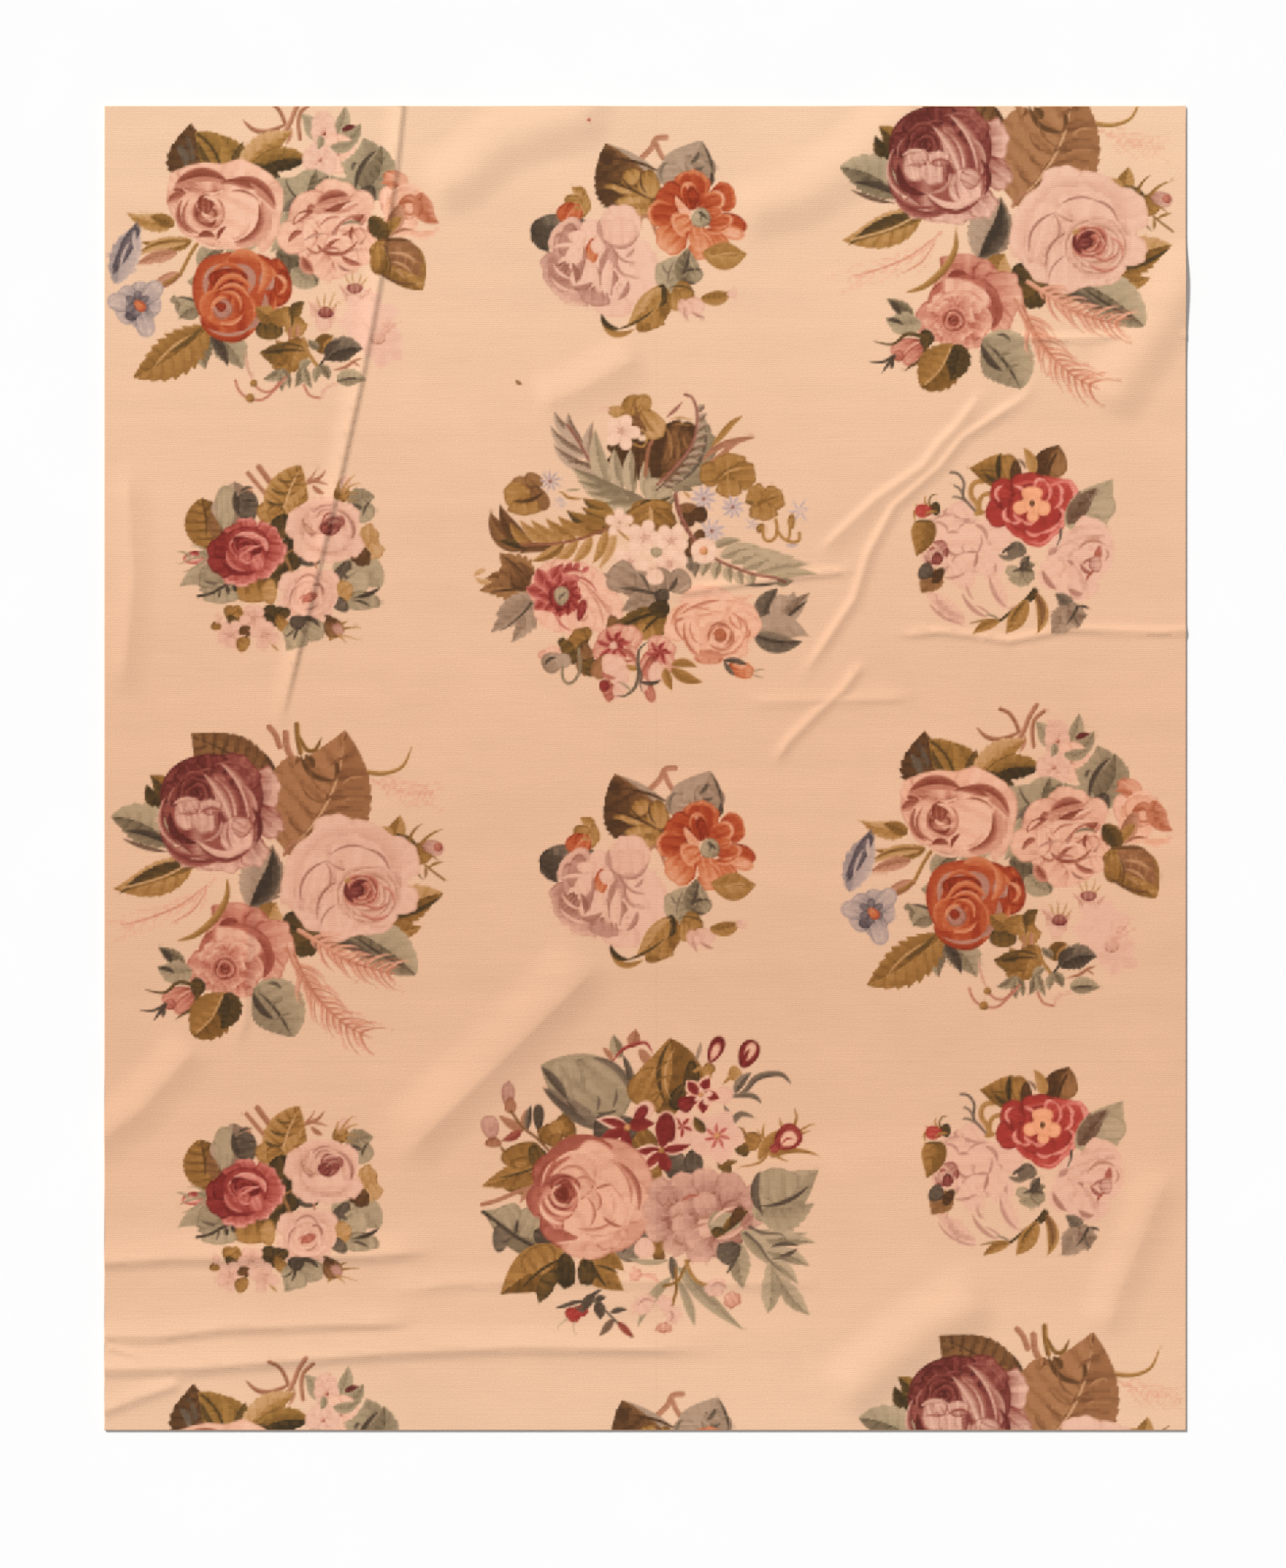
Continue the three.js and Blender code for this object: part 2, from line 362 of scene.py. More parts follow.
def frond(weaver, points, pairs, long, wide, run, left=(0.5, 0.7), right=(0.4, 0.6), lean=50.0,
          rib_run=None, rib=2.6, first=0.08, sides=(1, -1), taper=0.45):
    """Lay a feathered leaf: narrow leaflets in pairs along a rib, longest at its middle."""
    line = smooth_line(points)
    steps = np.hypot(*np.diff(line, axis=0).T)
    reached = np.concatenate([[0.0], np.cumsum(steps)]) / steps.sum()
    for index in range(pairs):
        share = first + (1.0 - first) * index / (pairs - 0.6)
        x = np.interp(share, reached, line[:, 0])
        y = np.interp(share, reached, line[:, 1])
        back = np.interp(share - 0.05, reached, line[:, 0]), np.interp(share - 0.05, reached, line[:, 1])
        facing = math.atan2(y - back[1], x - back[0])
        size = long * (1.0 - taper * abs(share - 0.45) / 0.55)
        for side in sides:
            angle = facing - side * math.radians(lean)
            leaf(weaver, x, y, x + math.cos(angle) * size, y + math.sin(angle) * size,
                 -side * size * 0.08, wide, run, left, right, veins=0, belly=0.45, foot=0.8)
    stem(weaver, points, rib, rib_run or run, 0.3, 0.1)


def sprig(weaver, points, barbs, long, run, tone=0.3, thick=2.0, lean=35.0, sides=(1, -1)):
    """Lay a feathery sprig: fine barbs along a fine stem."""
    line = smooth_line(points)
    steps = np.hypot(*np.diff(line, axis=0).T)
    reached = np.concatenate([[0.0], np.cumsum(steps)]) / steps.sum()
    stem(weaver, points, thick, run, tone, tone, ends="tip")
    for index in range(barbs):
        share = 0.12 + 0.85 * index / barbs
        x = np.interp(share, reached, line[:, 0])
        y = np.interp(share, reached, line[:, 1])
        x1 = np.interp(share + 0.04, reached, line[:, 0])
        y1 = np.interp(share + 0.04, reached, line[:, 1])
        facing = math.atan2(y1 - y, x1 - x)
        for side in sides:
            angle = facing - side * math.radians(lean)
            size = long * (0.65 + 0.35 * math.sin(index * 2.4 + side))
            stroke(weaver, x, y, x + math.cos(angle) * size, y + math.sin(angle) * size,
                   side * size * 0.12, thick, run, tone, tone + 0.2, ends="tip")


def whorl(weaver, x, y, size, rings, hour, run, light=0.95, dark=0.05, flat=1.0, petals=3):
    """Lay the heart of a rose: rings of turned petal edges, light outside and dark inside."""
    for ring in range(rings):
        radius = size * 0.5 * (1.0 - ring / (rings + 0.3))
        count = petals + (rings - ring) // 2
        half_turn = math.pi / count
        for index in range(count):
            start = hour + 12.0 * index / count + ring * 2.3
            from_x, from_y = heading(start)
            to_x, to_y = heading(start + 12.0 / count * 1.12)
            stroke(weaver, x + from_x * radius, y + from_y * radius * flat, x + to_x * radius,
                   y + to_y * radius * flat, radius * (1.0 - math.cos(half_turn)) * 1.25,
                   size * 0.5 / rings * (1.0 + 0.25 * (index % 2)), run, light - 0.1 * (index % 2), dark)
    ball(weaver, x, y, size * 0.16, run, dark, dark + 0.1)


def lay_cartoon(cartoon, right, down):
    """Lay each row of a cartoon, with its corner so far right and down on the rug."""
    weaver = Weaver(right, down)
    for shape, *sizes in cartoon:
        options = sizes.pop() if isinstance(sizes[-1], dict) else {}
        shape(weaver, *sizes, **options)

# %% [markdown]
# Three places on the rug have this bouquet: the right side, the far left
# corner and the near left corner. A rose is a stack of petals, from the outer ones to the heart,
# with strokes for the turned edges and for the gaps between them.

# %% The rose and poppy bouquet
# Columns: shape, its sizes in mm from the cartoon's corner, run of yarn, tones
ROSE_AND_POPPY = [
    # stems at the top
    (stem, [(218, 82), (232, 95), (252, 98), (279, 87)], 7, "terra", 0.6, 0.0, "both"),
    (stem, [(250, 57), (262, 63), (270, 74), (275, 86)], 5.5, "terra", 0.6, 0.0),
    (stem, [(299, 52), (289, 68), (282, 86), (274, 99), (262, 110), (251, 120)], 6.5, "terra", 0.2, 0.8),
    (stem, [(309, 60), (296, 72), (293, 88), (295, 108)], 5.5, "terra", 0.1, 0.7),
    (stroke, 283, 92, 276, 116, 3, 5, "terra", 0.9, 0.3),
    # toothed leaves at the upper left
    (leaf, 166, 160, 148, 86, 2, 62, "umber", (0.3, 0.15), (0.2, 0.3),
     {"teeth": 8, "depth": 0.1, "lop": 0.4, "belly": 0.36, "shift": -0.3}),
    (stroke, 128, 118, 142, 148, 4, 10, "slate", 0.45, 0.6),
    (stroke, 140, 104, 150, 140, 3, 7, "slate", 0.5, 0.3),
    (leaf, 190, 162, 152, 98, -10, 44, "olive", (0.8, 1.0), (0.75, 0.95),
     {"teeth": 7, "depth": 0.1, "rib": -0.6, "belly": 0.5}),
    (stroke, 158, 112, 178, 146, -4, 9, "olive", 0.25, 0.4),
    (leaf, 206, 164, 187, 102, -8, 34, "olive", (0.85, 1.0), (0.7, 0.9), {"teeth": 8, "belly": 0.5}),
    (leaf, 214, 156, 218, 111, 2, 22, "olive", (0.5, 0.3), (0.6, 0.5), {"teeth": 5}),
    (leaf, 212, 156, 286, 98, 8, 36, "ochre", (0.75, 0.95), (0.6, 0.4), {"teeth": 9, "belly": 0.5}),
    (stroke, 222, 152, 266, 118, 4, 4, "olive", 0.5, 0.7),
    (leaf, 226, 156, 309, 137, 10, 32, "olive", (0.6, 0.95), (0.15, 0.05), {"teeth": 7, "belly": 0.6}),
    (leaf, 208, 160, 262, 150, 4, 22, "olive", (0.1, 0.3), (0.1, 0.1)),
    (leaf, 235, 152, 268, 182, 4, 34, "olive", (0.2, 0.1), (0.1, 0.3), {"teeth": 5}),
    # pale flowers and their leaves at the upper right
    (leaf, 318, 112, 296, 74, -5, 24, "sage", (0.55, 0.8), (0.7, 0.9)),
    (leaf, 344, 104, 356, 62, -4, 20, "sage", (0.5, 0.7), (0.75, 0.9)),
    (leaf, 340, 112, 377, 86, -8, 24, "sage", (0.55, 0.75), (0.4, 0.7), {"teeth": 5}),
    (leaf, 352, 98, 372, 91, 2, 8, "crimson", (0.1, 0.1), (0.1, 0.1), {"veins": 0}),
    (blossom, 326, 86, 30, 4, 11.5, "blush", 0.75, 1.0, "sage", 0.22, 0.6),
    (blossom, 327, 100, 34, 5, 12, "blush", 0.7, 1.0, "rose", 0.2, 0.55),
    (blossom, 345, 128, 52, 5, 1, "rose", 0.9, 1.0, "blush", 0.12, 0.6),
    (blossom, 322, 136, 46, 5, 2, "blush", 0.8, 1.0, "rose", 0.14, 0.6),
    (leaf, 336, 118, 372, 108, -6, 16, "sage", (0.45, 0.75), (0.6, 0.8)),
    (leaf, 322, 104, 318, 122, 3, 11, "sage", (0.5, 0.6), (0.7, 0.8)),
    # grey green leaves between the roses
    (leaf, 366, 178, 380, 106, -14, 70, "sage", (0.6, 0.8), (0.55, 0.65), {"teeth": 9, "veins": 4}),
    (leaf, 372, 182, 404, 116, -16, 50, "sage", (0.25, 0.4), (0.5, 0.62), {"teeth": 8}),
    (leaf, 378, 176, 337, 156, 12, 46, "sage", (0.5, 0.7), (0.6, 0.8), {"veins": 3}),
    (stroke, 398, 124, 370, 180, -8, 7, "slate", 0.4, 0.1),
    (stroke, 367, 150, 372, 140, 3, 5, "slate", 0.4, 0.4),
    (petal, 385, 186, 34, 26, 7, "slate", 0.3, 0.4),
    (leaf, 300, 196, 262, 160, 4, 66, "sage", (0.6, 0.75), (0.7, 0.8), {"veins": 3}),
    (leaf, 298, 192, 336, 158, 8, 46, "sage", (0.6, 0.8), (0.25, 0.4), {"veins": 4}),
    (leaf, 304, 192, 318, 148, 4, 30, "sage", (0.7, 0.8), (0.2, 0.35), {"veins": 4}),
    (stroke, 276, 162, 300, 192, -5, 3, "slate", 0.3, 0.3),
    (leaf, 288, 186, 258, 240, 6, 24, "slate", (0.1, 0.3), (0.5, 0.9), {"teeth": 5, "veins": 3}),
    (leaf, 276, 205, 254, 262, 8, 26, "sage", (0.6, 0.8), (0.7, 1.0)),
    (leaf, 262, 262, 320, 306, 10, 46, "sage", (0.25, 0.5), (0.1, 0.3), {"teeth": 6}),
    (leaf, 286, 282, 320, 306, -4, 30, "sage", (0.5, 0.65), (0.7, 0.8)),
    (leaf, 178, 278, 142, 300, 10, 34, "sage", (0.5, 0.75), (0.7, 0.8)),
    (leaf, 160, 282, 200, 252, 8, 28, "sage", (0.6, 0.8), (0.2, 0.4)),
    (leaf, 196, 262, 248, 250, 6, 22, "sage", (0.85, 0.9), (0.7, 0.8)),
]
print("rose and poppy so far", len(ROSE_AND_POPPY), "rows")

# %% [markdown]
# The petals of the large rose go down first, from the outermost to the heart. The strokes
# after them turn their edges over or darken the gaps between them.

# %% The large pink rose
ROSE_AND_POPPY += [
    (petal, 190, 198, 112, 146, 12, "rose", 0.85, 0.9),
    (petal, 138, 170, 44, 40, 10, "rose", 0.3, 0.95, 0.03),
    (petal, 136, 188, 30, 38, 9, "rose", 0.2, 0.9, 0.03),
    (petal, 172, 160, 40, 84, 12, "rose", 0.5, 0.95, 0.02),
    (petal, 225, 172, 62, 84, 1, "rose", 0.7, 0.95, 0.02),
    (petal, 250, 212, 40, 96, 3.4, "rose", 0.7, 0.9, 0.02),
    (stroke, 126, 172, 198, 168, 14, 21, "rose", 0.55, 0.4),
    (stroke, 128, 168, 196, 164, 13, 12, "rose", 0.25, 0.0),
    (stroke, 124, 176, 140, 192, 4, 10, "rose", 0.0, 0.2),
    (stroke, 116, 196, 144, 190, 6, 16, "rose", 0.45, 0.5),
    (stroke, 118, 193, 142, 188, 6, 9, "rose", 0.1, 0.3),
    (stroke, 131, 176, 160, 172, 4, 4, "rose", 0.3, 0.5),
    (stroke, 198, 168, 262, 204, 16, 20, "rose", 0.55, 0.4),
    (stroke, 200, 164, 262, 198, 16, 10, "rose", 0.3, 0.05),
    (stroke, 188, 168, 236, 180, 8, 8, "rose", 0.05, 0.25),
    (petal, 222, 183, 13, 30, 11.6, "rose", 0.95, 1.0),
    (stroke, 204, 178, 240, 192, 5, 3, "rose", 0.05, 0.05),
    (stroke, 206, 184, 238, 196, -4, 3, "rose", 0.1, 0.1),
    (petal, 204, 215, 84, 78, 4, "rose", 0.8, 0.98),
    (stroke, 244, 192, 208, 252, 20, 21, "rose", 0.65, 0.4),
    (stroke, 240, 196, 206, 248, 18, 10, "rose", 0.45, 0.05),
    (stroke, 256, 200, 236, 240, 10, 5, "rose", 0.7, 0.5),
    (petal, 160, 210, 66, 62, 9, "rose", 0.55, 0.85),
    (stroke, 136, 190, 150, 236, -12, 7, "rose", 0.1, 0.4),
    (stroke, 146, 190, 162, 236, -14, 8, "rose", 0.9, 0.05),
    (stroke, 156, 192, 168, 226, -10, 7, "rose", 0.05, 0.6),
    (petal, 174, 208, 40, 40, 3, "rose", 0.15, 0.6),
    (petal, 168, 196, 26, 22, 12, "rose", 0.25, 0.05),
    (stroke, 164, 186, 188, 204, 6, 6, "rose", 0.85, 0.95),
    (stroke, 170, 216, 190, 208, -6, 6, "rose", 0.9, 0.6),
    (stroke, 166, 222, 182, 216, -5, 5, "rose", 0.0, 0.1),
    (stroke, 176, 202, 180, 214, 3, 5, "rose", 0.05, 0.2),
    (stroke, 162, 206, 176, 212, -3, 5, "rose", 0.9, 0.9),
    (stroke, 150, 224, 186, 236, -6, 6, "rose", 0.9, 0.7),
    (stroke, 158, 240, 180, 240, 4, 9, "rose", 0.05, 0.1),
    (stroke, 184, 244, 196, 226, 3, 6, "rose", 0.1, 0.05),
    (stroke, 148, 238, 206, 252, -10, 4, "rose", 0.9, 1.0),
    (stroke, 202, 244, 226, 222, -6, 5, "rose", 0.6, 0.7),
]
print("rose and poppy so far", len(ROSE_AND_POPPY), "rows")

# %% [markdown]
# The rose beside it is made the same way, with three strokes to a petal: most of what shows
# of a full rose is the edges of its petals.

# %% The second pink rose
ROSE_AND_POPPY += [
    (petal, 335, 232, 128, 110, 4.5, "rose", 0.8, 0.92),
    (petal, 344, 186, 46, 58, 12.5, "rose", 0.5, 0.95, 0.03),
    (petal, 312, 202, 36, 52, 10, "rose", 0.4, 0.92, 0.03),
    (petal, 292, 240, 56, 46, 9, "rose", 0.5, 0.95, 0.02),
    (petal, 376, 196, 40, 34, 2, "rose", 0.6, 0.95),
    (stroke, 316, 198, 364, 188, 7, 19, "rose", 0.5, 0.45),
    (stroke, 320, 194, 360, 184, 7, 11, "rose", 0.4, 0.0),
    (stroke, 306, 206, 316, 200, 3, 8, "rose", 0.2, 0.4),
    (stroke, 310, 226, 374, 195, 4, 16, "rose", 0.5, 0.5),
    (stroke, 314, 222, 370, 192, 4, 9, "rose", 0.05, 0.2),
    (stroke, 296, 232, 376, 206, 3, 7, "rose", 0.9, 0.95),
    (stroke, 334, 219, 386, 213, -6, 21, "rose", 0.55, 0.45),
    (stroke, 340, 216, 382, 210, -6, 13, "rose", 0.3, 0.0),
    (petal, 346, 226, 34, 64, 12.5, "rose", 0.75, 0.98),
    (stroke, 348, 226, 380, 224, 5, 4, "sage", 0.3, 0.5),
    (petal, 350, 252, 44, 52, 5, "rose", 0.7, 0.95),
    (stroke, 330, 246, 362, 232, -3, 5, "rose", 0.3, 0.3),
    (stroke, 328, 262, 346, 244, 3, 6, "rose", 0.3, 0.1),
    (stroke, 366, 226, 372, 250, -3, 10, "rose", 0.2, 0.05),
    (stroke, 386, 226, 388, 250, 3, 7, "rose", 0.05, 0.4),
    (stroke, 280, 248, 304, 232, 5, 8, "rose", 0.1, 0.35),
    (stroke, 278, 232, 304, 234, 5, 5, "rose", 0.95, 0.9),
    (petal, 306, 236, 44, 18, 6, "rose", 0.9, 0.95),
    (stroke, 318, 250, 350, 260, -7, 6, "rose", 0.2, 0.1),
    (petal, 380, 246, 40, 30, 5, "rose", 0.6, 0.95),
    (stroke, 350, 264, 380, 276, -5, 8, "rose", 0.1, 0.4),
    (stroke, 340, 244, 352, 222, 4, 4, "mauve", 0.3, 0.5),
    (stroke, 352, 262, 384, 240, -5, 4, "mauve", 0.3, 0.5),
    (stroke, 300, 246, 330, 236, 3, 4, "mauve", 0.4, 0.6),
    (stroke, 304, 262, 330, 270, -6, 4, "mauve", 0.2, 0.5),
    (stroke, 346, 276, 364, 286, -3, 4, "mauve", 0.2, 0.4),
    (stroke, 328, 250, 366, 246, 8, 5, "rose", 1.0, 0.95),
    (stroke, 300, 226, 348, 210, 4, 5, "rose", 1.0, 0.95),
    (stroke, 350, 204, 380, 192, 3, 5, "rose", 1.0, 0.9),
    (stroke, 356, 262, 388, 256, 6, 5, "rose", 0.9, 0.9),
    (petal, 382, 266, 24, 22, 5, "rose", 0.8, 0.95),
    (petal, 324, 278, 32, 46, 7.5, "rose", 0.6, 0.95, 0.03),
    (stroke, 298, 266, 314, 290, -3, 17, "rose", 0.45, 0.5),
    (stroke, 300, 268, 312, 286, -3, 9, "rose", 0.1, 0.3),
    (stroke, 318, 262, 350, 258, 5, 4, "rose", 0.3, 0.3),
    (stroke, 286, 224, 314, 206, 4, 11, "rose", 0.0, 0.3),
    (stroke, 288, 222, 304, 208, 3, 6, "rose", 0.9, 0.9),
    (stroke, 332, 264, 374, 244, -8, 5, "rose", 0.1, 0.4),
    (stroke, 344, 238, 366, 214, 6, 4, "rose", 0.2, 0.5),
    (stroke, 322, 226, 350, 214, 5, 4, "rose", 0.3, 0.5),
    (stroke, 304, 254, 322, 262, -3, 4, "rose", 0.2, 0.4),
]
print("rose and poppy so far", len(ROSE_AND_POPPY), "rows")

# %% [markdown]
# Smaller things fill in round the roses. A blossom is a whole small flower in one row, and a
# leaf can take its teeth, its rib and its belly from the options at the end of its row.

# %% Buds and leaves beside the roses
ROSE_AND_POPPY += [
    # the peach bud
    (petal, 414, 192, 40, 24, 12, "rose", 0.7, 0.98),
    (petal, 424, 164, 36, 26, 4, "peach", 0.3, 0.7),
    (stroke, 404, 168, 432, 178, 5, 8, "peach", 0.3, 0.1),
    (petal, 432, 206, 66, 44, 6, "peach", 0.7, 0.95),
    (petal, 440, 196, 42, 46, 12, "peach", 0.6, 0.8),
    (petal, 441, 197, 26, 28, 3, "peach", 0.0, 0.4),
    (petal, 444, 200, 16, 17, 5, "peach", 0.7, 0.8),
    (stroke, 434, 196, 448, 196, 4, 4, "peach", 0.0, 0.0),
    (stroke, 420, 180, 462, 184, 12, 4, "peach", 0.9, 1.0),
    (leaf, 460, 180, 484, 222, -10, 28, "peach", (0.25, 0.4), (0.1, 0.3), {"veins": 3}),
    (stroke, 434, 228, 484, 226, -12, 9, "peach", 0.6, 0.9),
    (leaf, 430, 196, 404, 244, 6, 22, "terra", (0.6, 0.8), (0.5, 0.2)),
    (leaf, 432, 214, 410, 244, -4, 14, "ochre", (0.4, 0.5), (0.5, 0.6)),
    (stroke, 418, 240, 448, 232, 5, 4, "terra", 0.2, 0.3),
    # the round copper leaf
    (leaf, 388, 214, 412, 254, 4, 26, "olive", (0.3, 0.5), (0.2, 0.3), {"teeth": 5}),
    (leaf, 390, 254, 461, 312, 0, 58, "ochre", (0.5, 0.3), (0.3, 0.15),
     {"veins": 5, "shift": 0.22, "foot": 0.45, "belly": 0.55, "lop": 0.4, "tip": 0.8}),
    (leaf, 408, 250, 458, 296, 8, 40, "copper", (0.3, 0.15), (0.2, 0.1), {"veins": 4, "shift": 0.3}),
    (petal, 402, 270, 44, 24, 6, "ochre", 0.5, 0.3),
    (stroke, 404, 252, 416, 288, 5, 4, "ochre", 0.85, 0.6),
    (stroke, 410, 258, 414, 294, 5, 3, "umber", 0.2, 0.2),
    (stroke, 398, 246, 446, 246, 2, 5, "umber", 0.4, 0.3),
    (stroke, 416, 262, 452, 274, 4, 5, "copper", 0.9, 0.6),
    (stroke, 418, 274, 446, 290, 4, 4, "copper", 0.9, 0.6),
    (stroke, 420, 284, 438, 298, 2, 3, "copper", 0.8, 0.6),
    (stroke, 398, 284, 452, 304, -6, 5, "umber", 0.5, 0.2),
    # ochre leaves and the long bud at the left
    (leaf, 126, 218, 60, 206, 8, 26, "ochre", (0.5, 0.7), (0.7, 1.0), {"teeth": 8, "belly": 0.3}),
    (leaf, 125, 226, 92, 212, -2, 18, "ochre", (0.15, 0.3), (0.3, 0.4), {"teeth": 6}),
    (leaf, 149, 245, 78, 246, 6, 20, "ochre", (0.2, 0.4), (0.35, 0.6), {"teeth": 9, "belly": 0.3}),
    (leaf, 142, 248, 74, 268, -8, 16, "ochre", (0.7, 0.9), (0.6, 0.8), {"teeth": 6, "veins": 0}),
    (stroke, 150, 248, 76, 262, -8, 4, "ochre", 0.2, 0.2),
    (leaf, 130, 262, 72, 278, -2, 18, "terra", (0.7, 0.9), (0.3, 0.7)),
    (stem, [(156, 250), (146, 266), (133, 292)], 5, "ochre", 0.3, 0.6),
    (leaf, 134, 290, 92, 314, -2, 17, "terra", (0.3, 0.2), (0.8, 0.5), {"veins": 0, "tip": 0.7}),
    (stroke, 132, 288, 108, 304, 3, 5, "ochre", 0.2, 0.6),
    (stroke, 94, 312, 96, 326, -2, 5, "ochre", 0.6, 0.8),
    # blue bell and blue flower
    (leaf, 47, 304, 77, 228, 3, 40, "blue", (0.55, 0.7), (0.7, 0.95), {"veins": 0, "teeth": 6, "belly": 0.5,
     "tip": 0.7}),
    (petal, 60, 256, 74, 17, 12.9, "blue", 0.05, 0.25, 0.05),
    (stroke, 52, 288, 66, 246, 3, 4, "blue", 0.8, 0.9),
    (stroke, 72, 232, 76, 262, -2, 6, "blue", 0.8, 1.0),
    (blossom, 76, 332, 62, 5, 0.6, "blue", 0.4, 0.95, None, 0.2, 0.5),
    (blossom, 78, 334, 84, 3, 5.4, "blue", 0.5, 1.0, None, 0.2, 0.3),
    (ball, 68, 346, 17, "blue", 0.0, 0.2),
    (blossom, 76, 330, 34, 6, 2, "blue", 0.1, 0.5, None, 0.2, 0.3),
    (petal, 79, 333, 19, 13, 4.5, "scarlet", 0.75, 0.5),
]
print("rose and poppy so far", len(ROSE_AND_POPPY), "rows")

# %% [markdown]
# Leaves come before the flower that lies on them. Each row covers what is there already, as
# a painter's brush would, so nothing has to be cut out.

# %% The poppy rose
ROSE_AND_POPPY += [
    # grey leaves left of the poppy rose
    (leaf, 124, 330, 126, 318, 0, 10, "sage", (0.5, 0.5), (0.5, 0.5)),
    (leaf, 162, 334, 127, 322, 8, 32, "sage", (0.3, 0.5), (0.6, 0.8), {"veins": 3}),
    (leaf, 160, 336, 132, 352, -6, 22, "sage", (0.3, 0.5), (0.6, 0.8), {"veins": 3}),
    (stroke, 128, 322, 160, 333, 4, 3, "slate", 0.0, 0.1),
    (leaf, 176, 372, 218, 420, 8, 46, "sage", (0.7, 0.85), (0.4, 0.6), {"teeth": 7}),
    (leaf, 172, 376, 168, 420, -6, 24, "sage", (0.4, 0.3), (0.6, 0.75), {"teeth": 5}),
    (leaf, 174, 372, 198, 416, 3, 16, "slate", (0.1, 0.3), (0.2, 0.5), {"teeth": 5}),
    # the pointed leaf at the lower left
    (leaf, 172, 362, 70, 430, 6, 58, "ochre", (0.55, 0.4), (0.25, 0.45), {"teeth": 9, "belly": 0.45,
     "depth": 0.22, "veins": 7, "tip": 0.9}),
    (stroke, 164, 360, 116, 396, 4, 7, "olive", 0.3, 0.5),
    (stroke, 150, 372, 96, 420, -5, 4, "ochre", 0.7, 0.8),
    # the poppy rose
    (petal, 262, 302, 66, 44, 6, "scarlet", 0.35, 0.25),
    (petal, 244, 288, 60, 44, 4.6, "scarlet", 0.2, 0.4),
    (petal, 204, 322, 122, 106, 12, "scarlet", 0.3, 0.35),
    (petal, 252, 300, 26, 26, 1, "mauve", 0.45, 0.6),
    (stroke, 244, 280, 262, 300, 5, 8, "scarlet", 0.7, 0.5),
    (petal, 272, 304, 40, 24, 6, "scarlet", 0.05, 0.3),
    (stroke, 262, 292, 276, 310, 5, 6, "scarlet", 0.8, 0.9),
    (stroke, 266, 318, 276, 300, -3, 5, "scarlet", 0.6, 0.8),
    (stroke, 160, 318, 200, 266, 18, 15, "scarlet", 0.25, 0.45),
    (stroke, 200, 266, 242, 274, 6, 16, "scarlet", 0.75, 0.45),
    (stroke, 240, 268, 238, 316, 12, 13, "scarlet", 0.4, 0.8),
    (stroke, 168, 318, 206, 280, 16, 11, "mauve", 0.5, 0.4),
    (stroke, 206, 278, 226, 316, 14, 12, "mauve", 0.4, 0.5),
    (stroke, 172, 306, 222, 288, 20, 6, "scarlet", 0.7, 0.3),
    (petal, 198, 298, 30, 52, 12, "scarlet", 0.0, 0.15),
    (stroke, 176, 318, 232, 312, 22, 8, "scarlet", 0.75, 0.5),
    (stroke, 184, 314, 226, 322, 12, 7, "scarlet", 0.9, 0.4),
    (petal, 188, 336, 50, 50, 7, "scarlet", 0.3, 0.55),
    (stroke, 166, 348, 186, 312, 12, 8, "scarlet", 0.7, 0.4),
    (stroke, 190, 316, 214, 340, 10, 8, "scarlet", 0.9, 0.2),
    (petal, 190, 336, 30, 26, 5, "mauve", 0.5, 0.35),
    (petal, 188, 334, 15, 13, 4, "scarlet", 0.0, 0.2),
    (stroke, 176, 340, 196, 322, 6, 6, "scarlet", 0.8, 0.7),
    (stroke, 186, 354, 218, 344, -6, 8, "scarlet", 0.3, 0.95),
    (stroke, 160, 350, 214, 372, -12, 10, "scarlet", 0.2, 0.1),
    (stroke, 226, 318, 232, 356, 8, 10, "scarlet", 0.2, 0.7),
    (stroke, 222, 366, 248, 316, -10, 12, "mauve", 0.3, 0.45),
    (stroke, 232, 366, 262, 322, -8, 8, "scarlet", 0.4, 0.7),
    (stroke, 170, 364, 226, 364, -10, 8, "mauve", 0.5, 0.4),
    (stroke, 164, 360, 228, 368, -14, 7, "scarlet", 0.3, 0.1),
]
print("rose and poppy so far", len(ROSE_AND_POPPY), "rows")

# %% [markdown]
# The brown leaves come first here, too. The pale bells are petals with strokes down them.

